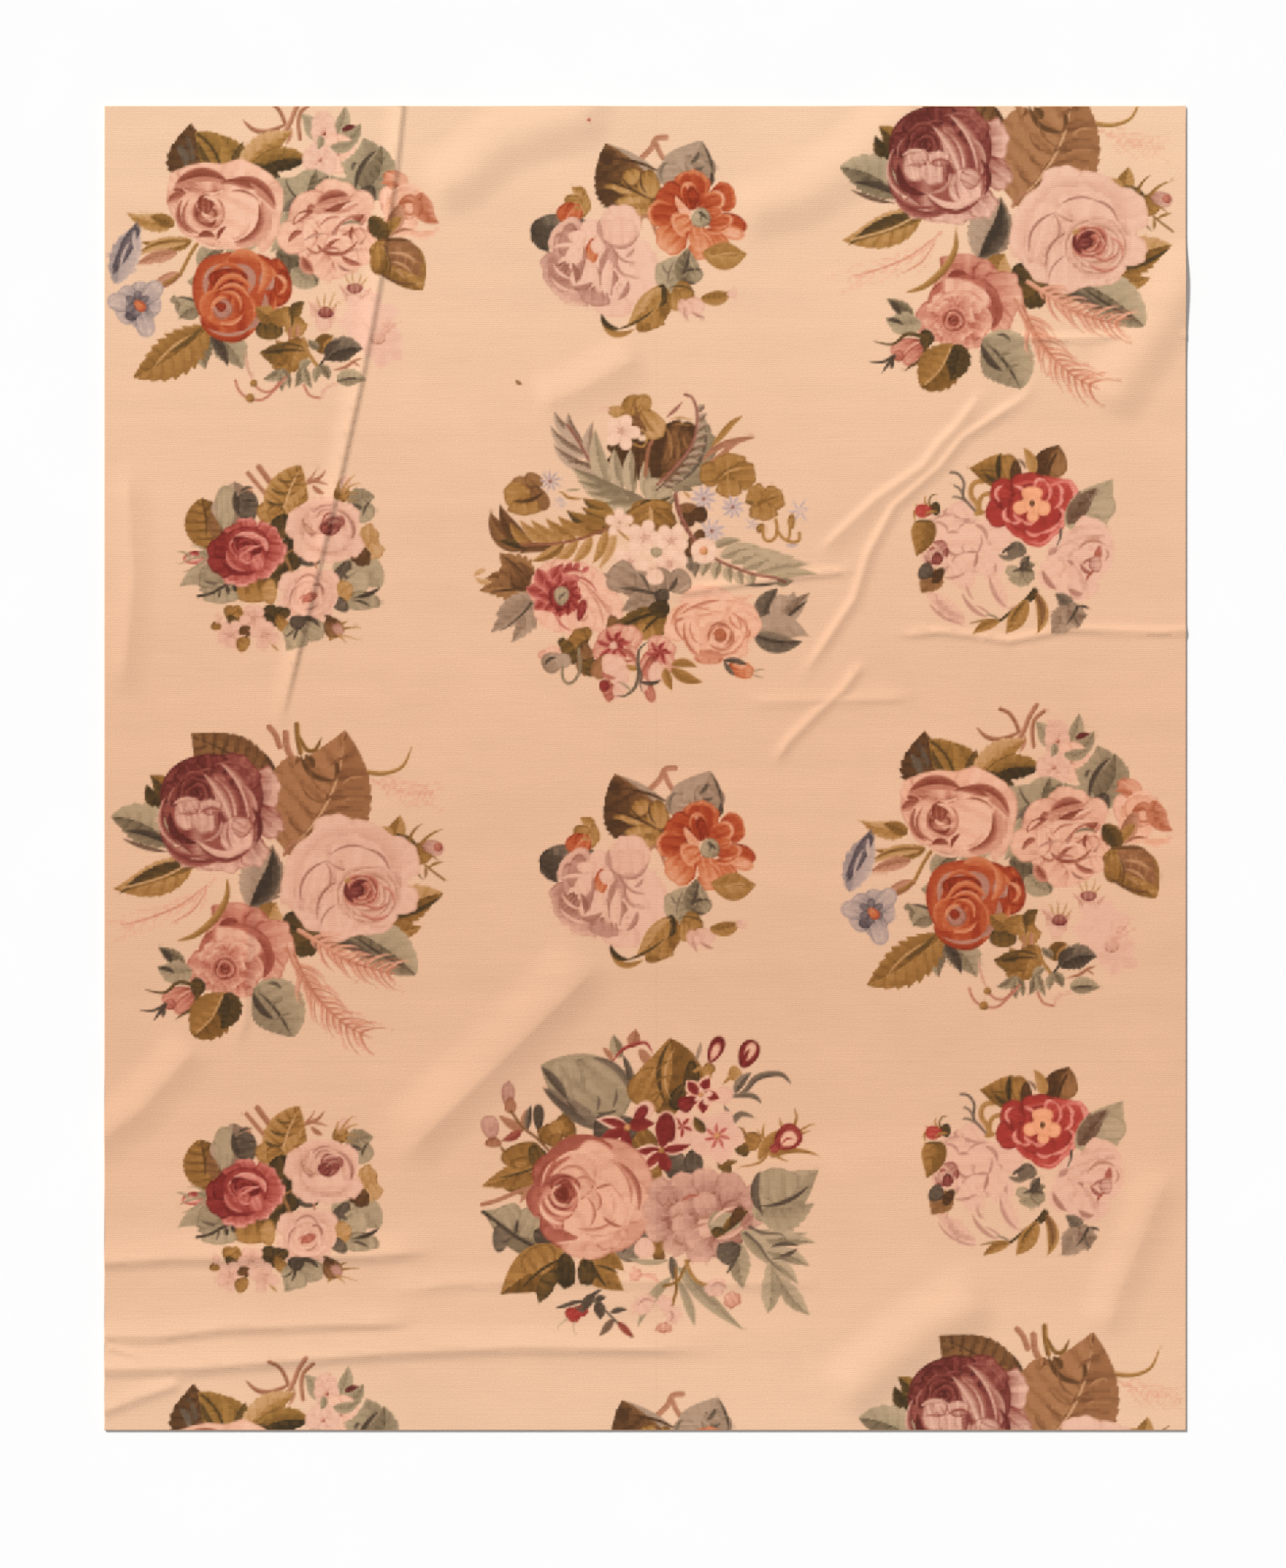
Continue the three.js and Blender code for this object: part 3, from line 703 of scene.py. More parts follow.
# %% Pale bells
ROSE_AND_POPPY += [
    # brown leaves and stems under the poppy rose
    (leaf, 246, 350, 252, 378, 2, 22, "olive", (0.2, 0.4), (0.1, 0.3)),
    (petal, 254, 364, 30, 36, 6, "olive", 0.1, 0.6),
    (leaf, 262, 348, 236, 334, 3, 26, "ochre", (0.2, 0.3), (0.5, 0.6), {"teeth": 5}),
    (leaf, 276, 362, 282, 334, 2, 46, "ochre", (0.5, 0.3), (0.6, 0.4), {"teeth": 6, "foot": 0.5}),
    (leaf, 280, 352, 306, 358, -5, 36, "ochre", (0.6, 0.3), (0.7, 0.5), {"teeth": 4}),
    (leaf, 286, 350, 302, 328, 4, 18, "olive", (0.4, 0.3), (0.5, 0.6), {"teeth": 4}),
    (stroke, 282, 340, 284, 362, 2, 4, "olive", 0.3, 0.3),
    (stem, [(281, 364), (282, 374), (280, 382)], 4, "terra", 0.6, 0.3),
    (stem, [(292, 362), (292, 374), (294, 384)], 5, "terra", 0.8, 0.4),
    (leaf, 306, 392, 262, 378, 10, 26, "ochre", (0.3, 0.2), (0.6, 0.4), {"teeth": 5}),
    (leaf, 306, 394, 240, 396, 4, 30, "olive", (0.7, 0.5), (0.3, 0.5), {"teeth": 6, "belly": 0.6}),
    (leaf, 306, 396, 256, 416, 4, 28, "ochre", (0.5, 0.3), (0.2, 0.3), {"teeth": 5, "belly": 0.6}),
    (leaf, 304, 380, 284, 420, -6, 34, "ochre", (0.6, 0.4), (0.4, 0.2), {"teeth": 5}),
    (stroke, 248, 398, 304, 394, 3, 3, "olive", 0.0, 0.1),
    (stroke, 262, 386, 304, 392, 4, 3, "olive", 0.2, 0.3),
    (stem, [(300, 378), (306, 396), (318, 414)], 5, "ochre", 0.4, 0.6),
    # pale bells with stamens
    (leaf, 332, 366, 304, 326, -4, 22, "blush", (0.5, 0.8), (0.7, 0.95), {"veins": 3}),
    (leaf, 330, 366, 346, 334, 5, 20, "blush", (0.7, 0.9), (0.5, 0.8), {"veins": 3}),
    (petal, 326, 352, 36, 20, 6, "blush", 0.8, 0.98),
    (petal, 330, 342, 16, 20, 6, "crimson", 0.6, 0.35),
    (stroke, 324, 338, 318, 320, 1, 2, "ochre", 0.6, 0.6),
    (stroke, 328, 338, 330, 316, 1, 2, "ochre", 0.6, 0.6),
    (stroke, 332, 338, 340, 318, -1, 2, "ochre", 0.6, 0.6),
    (stroke, 336, 340, 346, 328, -1, 2, "ochre", 0.6, 0.6),
    (leaf, 372, 342, 346, 304, -4, 16, "blush", (0.3, 0.8), (0.8, 1.0), {"veins": 0}),
    (leaf, 370, 342, 394, 308, 4, 16, "blush", (0.8, 1.0), (0.4, 0.9), {"veins": 0}),
    (petal, 370, 326, 34, 18, 6, "blush", 0.9, 0.7),
    (petal, 369, 310, 14, 22, 12, "crimson", 0.5, 0.65),
    (stroke, 364, 306, 356, 290, 1, 2, "ochre", 0.7, 0.7),
    (stroke, 368, 304, 366, 286, 1, 2, "ochre", 0.7, 0.7),
    (stroke, 373, 304, 378, 288, -1, 2, "ochre", 0.7, 0.7),
    (stroke, 376, 306, 386, 294, -1, 2, "ochre", 0.7, 0.7),
    (petal, 404, 384, 28, 34, 9, "blush", 0.8, 1.0),
    (star, 388, 356, 96, 7, 12.6, "blush", 0.95, 1.0, None, 0.3),
    (star, 408, 390, 66, 5, 11.4, "blush", 0.85, 1.0, None, 0.36),
    (stroke, 366, 350, 388, 366, 4, 2, "blush", 0.7, 0.8),
    (stroke, 398, 340, 394, 368, 3, 2, "blush", 0.7, 0.8),
    (petal, 400, 378, 16, 22, 12, "blush", 0.4, 0.9),
    (stroke, 404, 376, 424, 348, 2, 2, "rose", 0.6, 0.6),
    (stroke, 404, 378, 432, 354, 2, 2, "rose", 0.6, 0.6),
    (stroke, 404, 376, 414, 350, 2, 2, "rose", 0.6, 0.6),
]
print("rose and poppy so far", len(ROSE_AND_POPPY), "rows")

# %% [markdown]
# Leaves, buds and tendrils end the bouquet. A tendril is a thin stem: a ribbon through a
# few points.

# %% The foot of the rose and poppy bouquet
ROSE_AND_POPPY += [
    (leaf, 326, 398, 341, 374, 6, 26, "ochre", (0.05, 0.1), (0.4, 0.6), {"veins": 0}),
    (leaf, 330, 406, 381, 392, 8, 34, "slate", (0.55, 0.9), (0.05, 0.4), {"teeth": 6, "belly": 0.5}),
    (leaf, 330, 402, 352, 380, 4, 14, "slate", (0.3, 0.2), (0.3, 0.5)),
    (leaf, 322, 390, 306, 378, 2, 12, "sage", (0.2, 0.5), (0.4, 0.6)),
    (stem, [(322, 414), (332, 400), (338, 392)], 3.5, "slate", 0.1, 0.3),
    (stem, [(340, 420), (356, 416), (368, 408), (380, 404)], 4.5, "terra", 0.5, 0.2, "both"),
    (stroke, 366, 410, 376, 416, 1, 3, "terra", 0.3, 0.4),
    (leaf, 272, 418, 244, 432, 4, 14, "sage", (0.5, 0.8), (0.3, 0.5), {"teeth": 4}),
    (leaf, 274, 418, 272, 450, -3, 14, "sage", (0.4, 0.6), (0.3, 0.7), {"teeth": 4}),
    (leaf, 272, 420, 281, 446, 2, 12, "sage", (0.2, 0.5), (0.6, 0.7), {"teeth": 4}),
    (leaf, 298, 414, 288, 444, 3, 14, "sage", (0.4, 0.7), (0.2, 0.5), {"teeth": 4}),
    (leaf, 300, 414, 312, 446, -2, 12, "sage", (0.3, 0.6), (0.6, 0.8), {"teeth": 4}),
    (leaf, 296, 418, 312, 408, 3, 12, "sage", (0.6, 0.8), (0.4, 0.6)),
    (leaf, 322, 414, 334, 434, 3, 14, "sage", (0.3, 0.6), (0.2, 0.5), {"teeth": 4}),
    (leaf, 322, 414, 316, 438, -2, 12, "sage", (0.4, 0.6), (0.6, 0.7), {"teeth": 4}),
    (leaf, 344, 434, 386, 434, 4, 24, "sage", (0.7, 0.9), (0.3, 0.6), {"teeth": 6}),
    (stroke, 346, 434, 376, 432, 1, 3, "slate", 0.2, 0.3),
    (stem, [(220, 390), (222, 406), (226, 422), (234, 438)], 4, "blush", 0.4, 0.7, "both"),
    (stem, [(268, 436), (256, 448), (244, 448), (234, 440)], 3.5, "rose", 0.3, 0.5),
    (stem, [(208, 434), (212, 446), (222, 456), (244, 460), (262, 446), (276, 430)], 3.5, "rose",
     0.3, 0.5),
    (ball, 233, 438, 10, "ochre", 0.2, 0.7),
    (ball, 228, 458, 12, "ochre", 0.2, 0.7),
    (stem, [(300, 440), (308, 454), (322, 458)], 3.5, "rose", 0.3, 0.5),
    (stem, [(322, 458), (332, 444), (346, 440)], 6, "blush", 0.5, 0.9, "both"),
]
print("rose and poppy in all", len(ROSE_AND_POPPY), "rows")

# %% [markdown]
# This one lies at the left side and in both corners on the right. Two large leaves spread
# behind its flowers, so they're laid first.

# %% The peony bouquet
# Columns: shape, its sizes in mm from the cartoon's corner, run of yarn, tones
PEONY_AND_LEAVES = [
    # stems at the top
    (stem, [(264, 82), (272, 92), (278, 108)], 8, "terra", 0.6, 0.3),
    (stem, [(286, 90), (288, 110), (296, 126), (304, 140)], 9, "terra", 0.6, 0.3),
    (stem, [(282, 130), (288, 142)], 6, "terra", 0.4, 0.4),
    (stem, [(301, 78), (302, 96), (306, 116)], 7, "ochre", 0.5, 0.1),
    (stem, [(304, 92), (314, 112), (326, 112), (334, 96)], 6, "ochre", 0.3, 0.1, "both"),
    (stem, [(392, 142), (420, 144), (444, 134), (456, 108)], 7, "ochre", 0.8, 0.2, "tip"),
    (sprig, [(400, 152), (424, 162), (450, 172), (488, 176)], 11, 34, "coral", 0.75, 2.2, 34),
    # the two large leaves
    (leaf, 264, 172, 158, 90, 0, 92, "umber", (0.6, 0.5), (0.6, 0.45),
     {"teeth": 12, "depth": 0.05, "veins": 8, "shift": -0.45, "belly": 0.45, "foot": 0.4, "tip": 1.05,
      "lop": 0.1}),
    (stroke, 256, 116, 268, 180, 8, 9, "umber", 0.0, 0.2),
    (stroke, 170, 98, 256, 150, 4, 3, "umber", 0.0, 0.1),
    (leaf, 288, 250, 300, 120, 4, 70, "copper", (0.55, 0.48), (0.3, 0.3),
     {"teeth": 9, "depth": 0.06, "veins": 5, "shift": -0.35, "belly": 0.5, "tip": 0.55, "foot": 0.9}),
    (leaf, 286, 252, 366, 86, -16, 132, "copper", (0.55, 0.5), (0.3, 0.38),
     {"teeth": 16, "depth": 0.05, "veins": 6, "shift": -0.35, "belly": 0.4, "tip": 0.95,
      "foot": 0.75}),
    (leaf, 324, 136, 312, 118, 0, 14, "umber", (0.4, 0.5), (0.2, 0.3), {"veins": 0}),
    (stroke, 288, 248, 364, 102, -18, 4, "copper", 0.8, 0.9),
    (stroke, 306, 118, 352, 154, -12, 8, "umber", 0.2, 0.3),
    (stroke, 352, 126, 352, 154, 4, 7, "umber", 0.3, 0.2),
    (stroke, 300, 176, 330, 200, -6, 3, "copper", 0.1, 0.1),
    (stroke, 286, 196, 318, 226, -7, 3, "copper", 0.1, 0.1),
    (stroke, 318, 132, 350, 176, -10, 3, "copper", 0.15, 0.15),
    (stroke, 306, 156, 340, 184, -8, 3, "copper", 0.1, 0.1),
    (stroke, 346, 136, 372, 124, 5, 4, "copper", 0.05, 0.2),
    (stroke, 346, 158, 386, 138, 6, 5, "copper", 0.05, 0.2),
    (stroke, 338, 184, 392, 166, 8, 5, "copper", 0.05, 0.2),
    (stroke, 328, 206, 388, 196, 8, 5, "copper", 0.05, 0.2),
    (stroke, 316, 226, 352, 220, 5, 4, "copper", 0.05, 0.2),
    (stroke, 362, 160, 392, 150, 5, 4, "copper", 0.6, 0.6),
    (stroke, 350, 188, 396, 182, 6, 4, "copper", 0.5, 0.5),
    (stroke, 340, 212, 386, 208, 6, 4, "copper", 0.5, 0.5),
    (stem, [(284, 254), (292, 242), (300, 236)], 5, "terra", 0.5, 0.3),
]
print("peony and leaves so far", len(PEONY_AND_LEAVES), "rows")

# %% [markdown]
# More leaves and a rosebud stand round the flowers. They all go down before the flowers, so
# their inner ends may run on under the petals.

# %% Leaves and a rosebud
PEONY_AND_LEAVES += [
    # leaves at the left
    (leaf, 134, 190, 102, 146, -6, 34, "olive", (0.2, 0.4), (0.7, 0.9), {"teeth": 6}),
    (leaf, 122, 196, 98, 158, 4, 22, "olive", (0.1, 0.35), (0.1, 0.2), {"teeth": 7}),
    (leaf, 134, 242, 50, 202, -10, 54, "sage", (0.25, 0.45), (0.75, 0.95),
     {"teeth": 8, "belly": 0.5, "tip": 0.8}),
    (stroke, 132, 242, 70, 222, -6, 9, "slate", 0.05, 0.25),
    (stroke, 66, 232, 126, 250, -3, 6, "taupe", 0.1, 0.2),
    (leaf, 160, 262, 52, 300, 8, 46, "ochre", (0.75, 0.5), (0.55, 0.85),
     {"teeth": 9, "belly": 0.4, "shift": -0.3, "depth": 0.1}),
    (leaf, 166, 268, 60, 308, -8, 22, "olive", (0.3, 0.8), (0.3, 0.2), {"teeth": 8}),
    (stem, [(158, 264), (120, 284), (66, 299)], 3, "ochre", 0.9, 0.9),
    (sprig, [(190, 286), (160, 316), (116, 334), (58, 356)], 7, 56, "coral", 0.85, 2.6, 16, (1, -1)),
    (stem, [(186, 290), (150, 318), (112, 336), (62, 350)], 2.6, "coral", 0.6, 0.4, "both"),
    (stem, [(180, 300), (160, 330), (130, 346)], 2.6, "coral", 0.6, 0.5, "both"),
    # grey brown leaves in the middle
    (leaf, 236, 324, 268, 240, -4, 62, "taupe", (0.7, 0.85), (0.15, 0.5),
     {"teeth": 9, "belly": 0.45, "shift": -0.12}),
    (leaf, 240, 322, 268, 246, -12, 26, "slate", (0.0, 0.1), (0.1, 0.5), {"teeth": 8}),
    (leaf, 262, 350, 274, 318, 3, 38, "ochre", (0.4, 0.3), (0.7, 0.9), {"foot": 0.5}),
    (petal, 310, 352, 60, 46, 4, "olive", 0.1, 0.35),
    (leaf, 330, 356, 284, 384, 4, 42, "olive", (0.3, 0.2), (0.5, 0.3), {"teeth": 5}),
    (leaf, 326, 356, 384, 384, 6, 34, "olive", (0.25, 0.1), (0.5, 0.3), {"teeth": 6}),
    (petal, 352, 362, 60, 22, 3.6, "olive", 0.1, 0.5),
    # ochre and grey leaves at the right
    (leaf, 418, 350, 500, 306, 10, 50, "ochre", (0.75, 0.9), (0.1, 0.4),
     {"teeth": 8, "belly": 0.45, "shift": -0.2}),
    (stroke, 420, 340, 496, 310, -6, 7, "olive", 0.1, 0.2),
    (leaf, 424, 350, 470, 350, -6, 22, "ochre", (0.3, 0.4), (0.6, 0.4), {"teeth": 6}),
    (leaf, 362, 352, 462, 416, 8, 66, "sage", (0.8, 0.95), (0.25, 0.55),
     {"teeth": 10, "belly": 0.5, "depth": 0.08, "tip": 0.7, "veins": 6}),
    (stroke, 352, 362, 410, 394, -2, 13, "slate", 0.5, 0.2),
    (stroke, 376, 362, 454, 410, -2, 4, "slate", 0.2, 0.1),
    (leaf, 430, 236, 440, 200, -2, 24, "ochre", (0.4, 0.3), (0.7, 0.6), {"foot": 0.5}),
    (leaf, 432, 228, 414, 216, 0, 12, "ochre", (0.5, 0.3), (0.7, 0.6)),
    # the rosebud at the right
    (leaf, 462, 240, 434, 224, 2, 14, "olive", (0.2, 0.3), (0.3, 0.5)),
    (petal, 468, 252, 30, 28, 5, "ochre", 0.1, 0.5),
    (petal, 484, 244, 32, 20, 3.6, "mauve", 0.3, 0.95),
    (stroke, 470, 238, 498, 220, 3, 5, "ochre", 0.2, 0.5, "tip"),
    (stroke, 452, 236, 470, 212, 3, 5, "ochre", 0.1, 0.4, "tip"),
    (stroke, 470, 252, 492, 262, 2, 5, "ochre", 0.2, 0.5, "tip"),
    (ball, 492, 244, 12, "dusky", 0.3, 0.7),
    (stroke, 454, 252, 472, 288, -4, 6, "olive", 0.2, 0.5, "tip"),
    (stem, [(474, 268), (484, 276), (500, 288)], 3, "ochre", 0.2, 0.3),
    (stroke, 478, 272, 498, 264, 2, 4, "ochre", 0.3, 0.4),
    (stroke, 474, 270, 474, 286, 1, 4, "ochre", 0.2, 0.3),
]
print("peony and leaves so far", len(PEONY_AND_LEAVES), "rows")

# %% [markdown]
# The first flower is the dark one. A whorl lays the heart of a flower in one row, ring by
# ring, light outside and dark inside.

# %% The crimson peony
PEONY_AND_LEAVES += [
    (petal, 168, 254, 40, 66, 6.4, "crimson", 0.45, 1.0, 0.06),
    (petal, 204, 256, 44, 70, 6, "crimson", 0.4, 0.98, 0.07),
    (petal, 240, 246, 50, 40, 5, "crimson", 0.3, 0.98, 0.06),
    (petal, 254, 166, 48, 60, 3, "crimson", 0.1, 1.0, 0.05),
    (petal, 256, 206, 60, 40, 4.4, "crimson", 0.2, 0.9, 0.05),
    (petal, 186, 190, 144, 136, 12, "crimson", 0.55, 0.2),
    (stroke, 120, 212, 196, 262, -26, 12, "crimson", 0.15, 0.6),
    (stroke, 116, 200, 180, 254, -24, 8, "crimson", 0.6, 0.2),
    (petal, 224, 144, 44, 60, 1.5, "crimson", 0.2, 0.45, 0.04),
    (petal, 186, 136, 36, 48, 12, "crimson", 0.05, 0.25, 0.05),
    (petal, 158, 150, 38, 42, 11, "crimson", 0.05, 0.2, 0.05),
    (petal, 138, 172, 40, 34, 10, "crimson", 0.05, 0.25, 0.05),
    (stroke, 146, 168, 168, 144, 6, 4, "crimson", 0.5, 0.2),
    (stroke, 160, 152, 190, 140, 5, 4, "crimson", 0.5, 0.1),
    (stroke, 188, 134, 244, 160, 16, 5, "crimson", 0.55, 0.2),
    (stroke, 130, 190, 144, 160, 6, 5, "crimson", 0.7, 0.1),
    (whorl, 166, 172, 54, 3, 10, "crimson", 0.45, 0.0),
    (stroke, 124, 176, 148, 244, -18, 9, "crimson", 0.1, 0.95),
    (stroke, 130, 196, 166, 238, -14, 12, "crimson", 0.05, 0.1),
    (petal, 150, 198, 46, 28, 5.6, "crimson", 0.7, 0.98),
    (stroke, 134, 186, 176, 190, 8, 8, "crimson", 0.98, 0.6),
    (stroke, 138, 200, 166, 206, 4, 3, "crimson", 0.5, 0.6),
    (petal, 204, 178, 76, 26, 11.3, "crimson", 0.98, 0.6),
    (stroke, 176, 146, 214, 208, 8, 13, "crimson", 0.35, 0.98),
    (stroke, 198, 130, 236, 206, 14, 14, "crimson", 0.3, 0.95),
    (stroke, 192, 150, 220, 206, 12, 7, "crimson", 0.35, 0.6),
    (stroke, 226, 160, 240, 212, 8, 12, "crimson", 0.75, 0.45),
    (petal, 176, 204, 44, 36, 6, "crimson", 0.95, 0.8, 0.03),
    (petal, 184, 190, 22, 32, 12, "crimson", 0.6, 0.95, 0.03),
    (petal, 160, 190, 20, 22, 11, "crimson", 0.6, 0.95, 0.03),
    (stroke, 170, 198, 204, 200, 8, 4, "crimson", 0.35, 0.5),
    (stroke, 192, 192, 200, 232, -5, 4, "crimson", 0.35, 0.6),
    (petal, 220, 226, 50, 46, 5.6, "crimson", 0.75, 0.98, 0.02),
    (petal, 226, 216, 28, 28, 4, "crimson", 0.85, 0.7),
    (stroke, 208, 214, 214, 246, -4, 4, "crimson", 0.45, 0.7),
    (stroke, 236, 206, 240, 240, 6, 4, "crimson", 0.3, 0.6),
    (stroke, 200, 208, 206, 238, -4, 4, "crimson", 0.6, 0.9),
    (stroke, 172, 236, 202, 210, -8, 5, "crimson", 0.75, 0.6),
    (stroke, 168, 236, 238, 238, -16, 9, "crimson", 0.98, 0.9),
    (stroke, 168, 240, 240, 244, -20, 6, "crimson", 0.2, 0.4),
    (stroke, 240, 190, 246, 238, 8, 8, "crimson", 0.05, 0.25),
]
print("peony and leaves so far", len(PEONY_AND_LEAVES), "rows")

# %% [markdown]
# The blush rose differs from the ground by a skein or two. Thin mauve strokes part its
# petals, and its heart turns dusky and crimson.

# %% The large blush rose
PEONY_AND_LEAVES += [
    (petal, 352, 226, 54, 60, 12, "blush", 0.85, 0.98, 0.03),
    (petal, 396, 238, 56, 70, 1, "blush", 0.8, 0.95, 0.03),
    (petal, 436, 262, 60, 62, 2.2, "blush", 0.8, 0.97, 0.03),
    (petal, 434, 308, 66, 44, 4, "blush", 0.8, 0.97, 0.03),
    (petal, 308, 282, 52, 96, 9.5, "blush", 0.85, 0.97, 0.03),
    (petal, 326, 322, 60, 70, 8, "blush", 0.85, 0.97, 0.03),
    (petal, 372, 336, 56, 76, 6.2, "blush", 0.85, 0.98, 0.03),
    (petal, 410, 338, 44, 50, 5, "blush", 0.8, 0.95, 0.03),
    (petal, 370, 280, 130, 130, 12, "blush", 0.88, 0.85),
    (whorl, 370, 286, 140, 3, 5, "blush", 1.0, 0.55, 0.95, 4),
    (petal, 320, 288, 90, 40, 12.6, "blush", 0.75, 0.95),
    (stroke, 306, 318, 342, 262, 14, 4, "mauve", 0.4, 0.27),
    (stroke, 308, 314, 322, 274, 8, 3, "mauve", 0.5, 0.32),
    (stroke, 340, 264, 338, 306, 8, 3, "mauve", 0.35, 0.42),
    (petal, 386, 260, 36, 92, 12.6, "blush", 0.8, 0.95),
    (stroke, 346, 254, 396, 246, 8, 3, "mauve", 0.3, 0.32),
    (stroke, 392, 246, 426, 276, 8, 4, "mauve", 0.3, 0.42),
    (stroke, 344, 264, 414, 270, -10, 4, "mauve", 0.5, 0.27),
    (stroke, 330, 346, 366, 286, 16, 4, "mauve", 0.4, 0.27),
    (stroke, 344, 330, 364, 296, 8, 3, "mauve", 0.5, 0.32),
    (petal, 354, 336, 74, 50, 6, "blush", 0.85, 0.95),
    (stroke, 332, 356, 362, 318, 8, 3, "mauve", 0.4, 0.62),
    (stroke, 366, 288, 432, 300, 20, 5, "blush", 0.9, 0.3),
    (stroke, 380, 292, 440, 310, 22, 6, "blush", 0.95, 0.35),
    (stroke, 416, 284, 430, 328, 10, 6, "blush", 0.95, 0.4),
    (stroke, 418, 276, 440, 296, 4, 12, "blush", 0.6, 0.35),
    (whorl, 396, 308, 84, 5, 2, "blush", 1.0, 0.2, 0.9),
    (whorl, 388, 302, 44, 3, 3, "dusky", 0.9, 0.1, 0.9),
    (stroke, 368, 292, 378, 318, -4, 9, "crimson", 0.3, 0.1),
    (petal, 382, 302, 20, 20, 9, "crimson", 0.1, 0.4),
    (stroke, 374, 300, 396, 290, 4, 8, "crimson", 0.3, 0.05),
    (stroke, 366, 292, 374, 290, 3, 6, "ochre", 0.6, 0.6),
    (stroke, 392, 318, 424, 318, -8, 6, "dusky", 0.9, 0.4),
    (stroke, 386, 330, 426, 334, -8, 6, "dusky", 0.9, 0.45),
    (stroke, 392, 344, 424, 348, -6, 5, "blush", 0.95, 0.4),
    (stroke, 376, 322, 388, 352, -6, 5, "blush", 0.4, 0.9),
    (stroke, 414, 296, 432, 322, 8, 5, "dusky", 0.95, 0.5),
]
print("peony and leaves so far", len(PEONY_AND_LEAVES), "rows")

# %% [markdown]
# In the dusky rose most of the rows are petals. Each shades from its base to its tip, which
# is enough to part it from the next.

# %% The dusky rose
PEONY_AND_LEAVES += [
    (petal, 222, 340, 42, 74, 12.3, "dusky", 0.2, 0.8, 0.04),
    (petal, 204, 368, 54, 60, 10.6, "dusky", 0.2, 0.8, 0.06),
    (petal, 252, 354, 34, 56, 1.5, "dusky", 0.2, 0.85, 0.04),
    (petal, 264, 374, 66, 64, 2.8, "dusky", 0.3, 0.95, 0.05),
    (petal, 258, 400, 60, 34, 4.5, "dusky", 0.4, 0.9, 0.04),
    (petal, 182, 408, 60, 54, 8.4, "dusky", 0.4, 0.8, 0.03),
    (petal, 216, 424, 44, 70, 6.3, "dusky", 0.5, 0.9, 0.04),
    (petal, 218, 394, 92, 96, 12, "dusky", 0.4, 0.5),
    (stroke, 182, 386, 236, 362, 14, 12, "dusky", 0.7, 0.3),
    (stroke, 196, 352, 222, 346, 5, 10, "dusky", 0.1, 0.2),
    (petal, 222, 372, 34, 74, 12.7, "dusky", 0.9, 0.98, 0.03),
    (stroke, 206, 372, 244, 384, 6, 6, "dusky", 0.7, 0.9),
    (stroke, 246, 366, 256, 420, 14, 12, "dusky", 0.35, 0.2),
    (stroke, 238, 386, 248, 426, 8, 10, "dusky", 0.95, 0.5),
    (petal, 188, 390, 34, 40, 10.4, "dusky", 0.25, 0.95, 0.08, {"rim": 0.2}),
    (petal, 222, 390, 34, 40, 1.4, "dusky", 0.3, 0.98, 0.08, {"rim": 0.2}),
    (petal, 236, 414, 32, 34, 3.8, "dusky", 0.2, 0.95, 0.08, {"rim": 0.2}),
    (petal, 210, 434, 30, 48, 6.2, "dusky", 0.3, 0.98, 0.08, {"rim": 0.2}),
    (petal, 180, 416, 30, 38, 8.4, "dusky", 0.2, 0.95, 0.08, {"rim": 0.2}),
    (petal, 194, 396, 26, 30, 10.8, "dusky", 0.1, 0.9, 0.08, {"rim": 0.3}),
    (petal, 218, 402, 26, 28, 2.4, "dusky", 0.1, 0.95, 0.08, {"rim": 0.3}),
    (petal, 214, 420, 26, 30, 5.2, "dusky", 0.1, 0.9, 0.08, {"rim": 0.3}),
    (petal, 192, 416, 24, 28, 7.8, "dusky", 0.05, 0.9, 0.08, {"rim": 0.3}),
    (whorl, 204, 408, 30, 2, 11, "dusky", 0.95, 0.0),
    (stroke, 184, 384, 232, 380, 10, 4, "dusky", 0.98, 0.9),
    (stem, [(207, 286), (206, 312), (190, 340), (164, 362), (140, 370)], 10, "ochre", 0.2, 0.7, "both"),
]
print("peony and leaves so far", len(PEONY_AND_LEAVES), "rows")

# %% [markdown]
# Leaves, buds and coral feathers end this bouquet. A feather is a sprig: a rib and its barbs
# in one row.

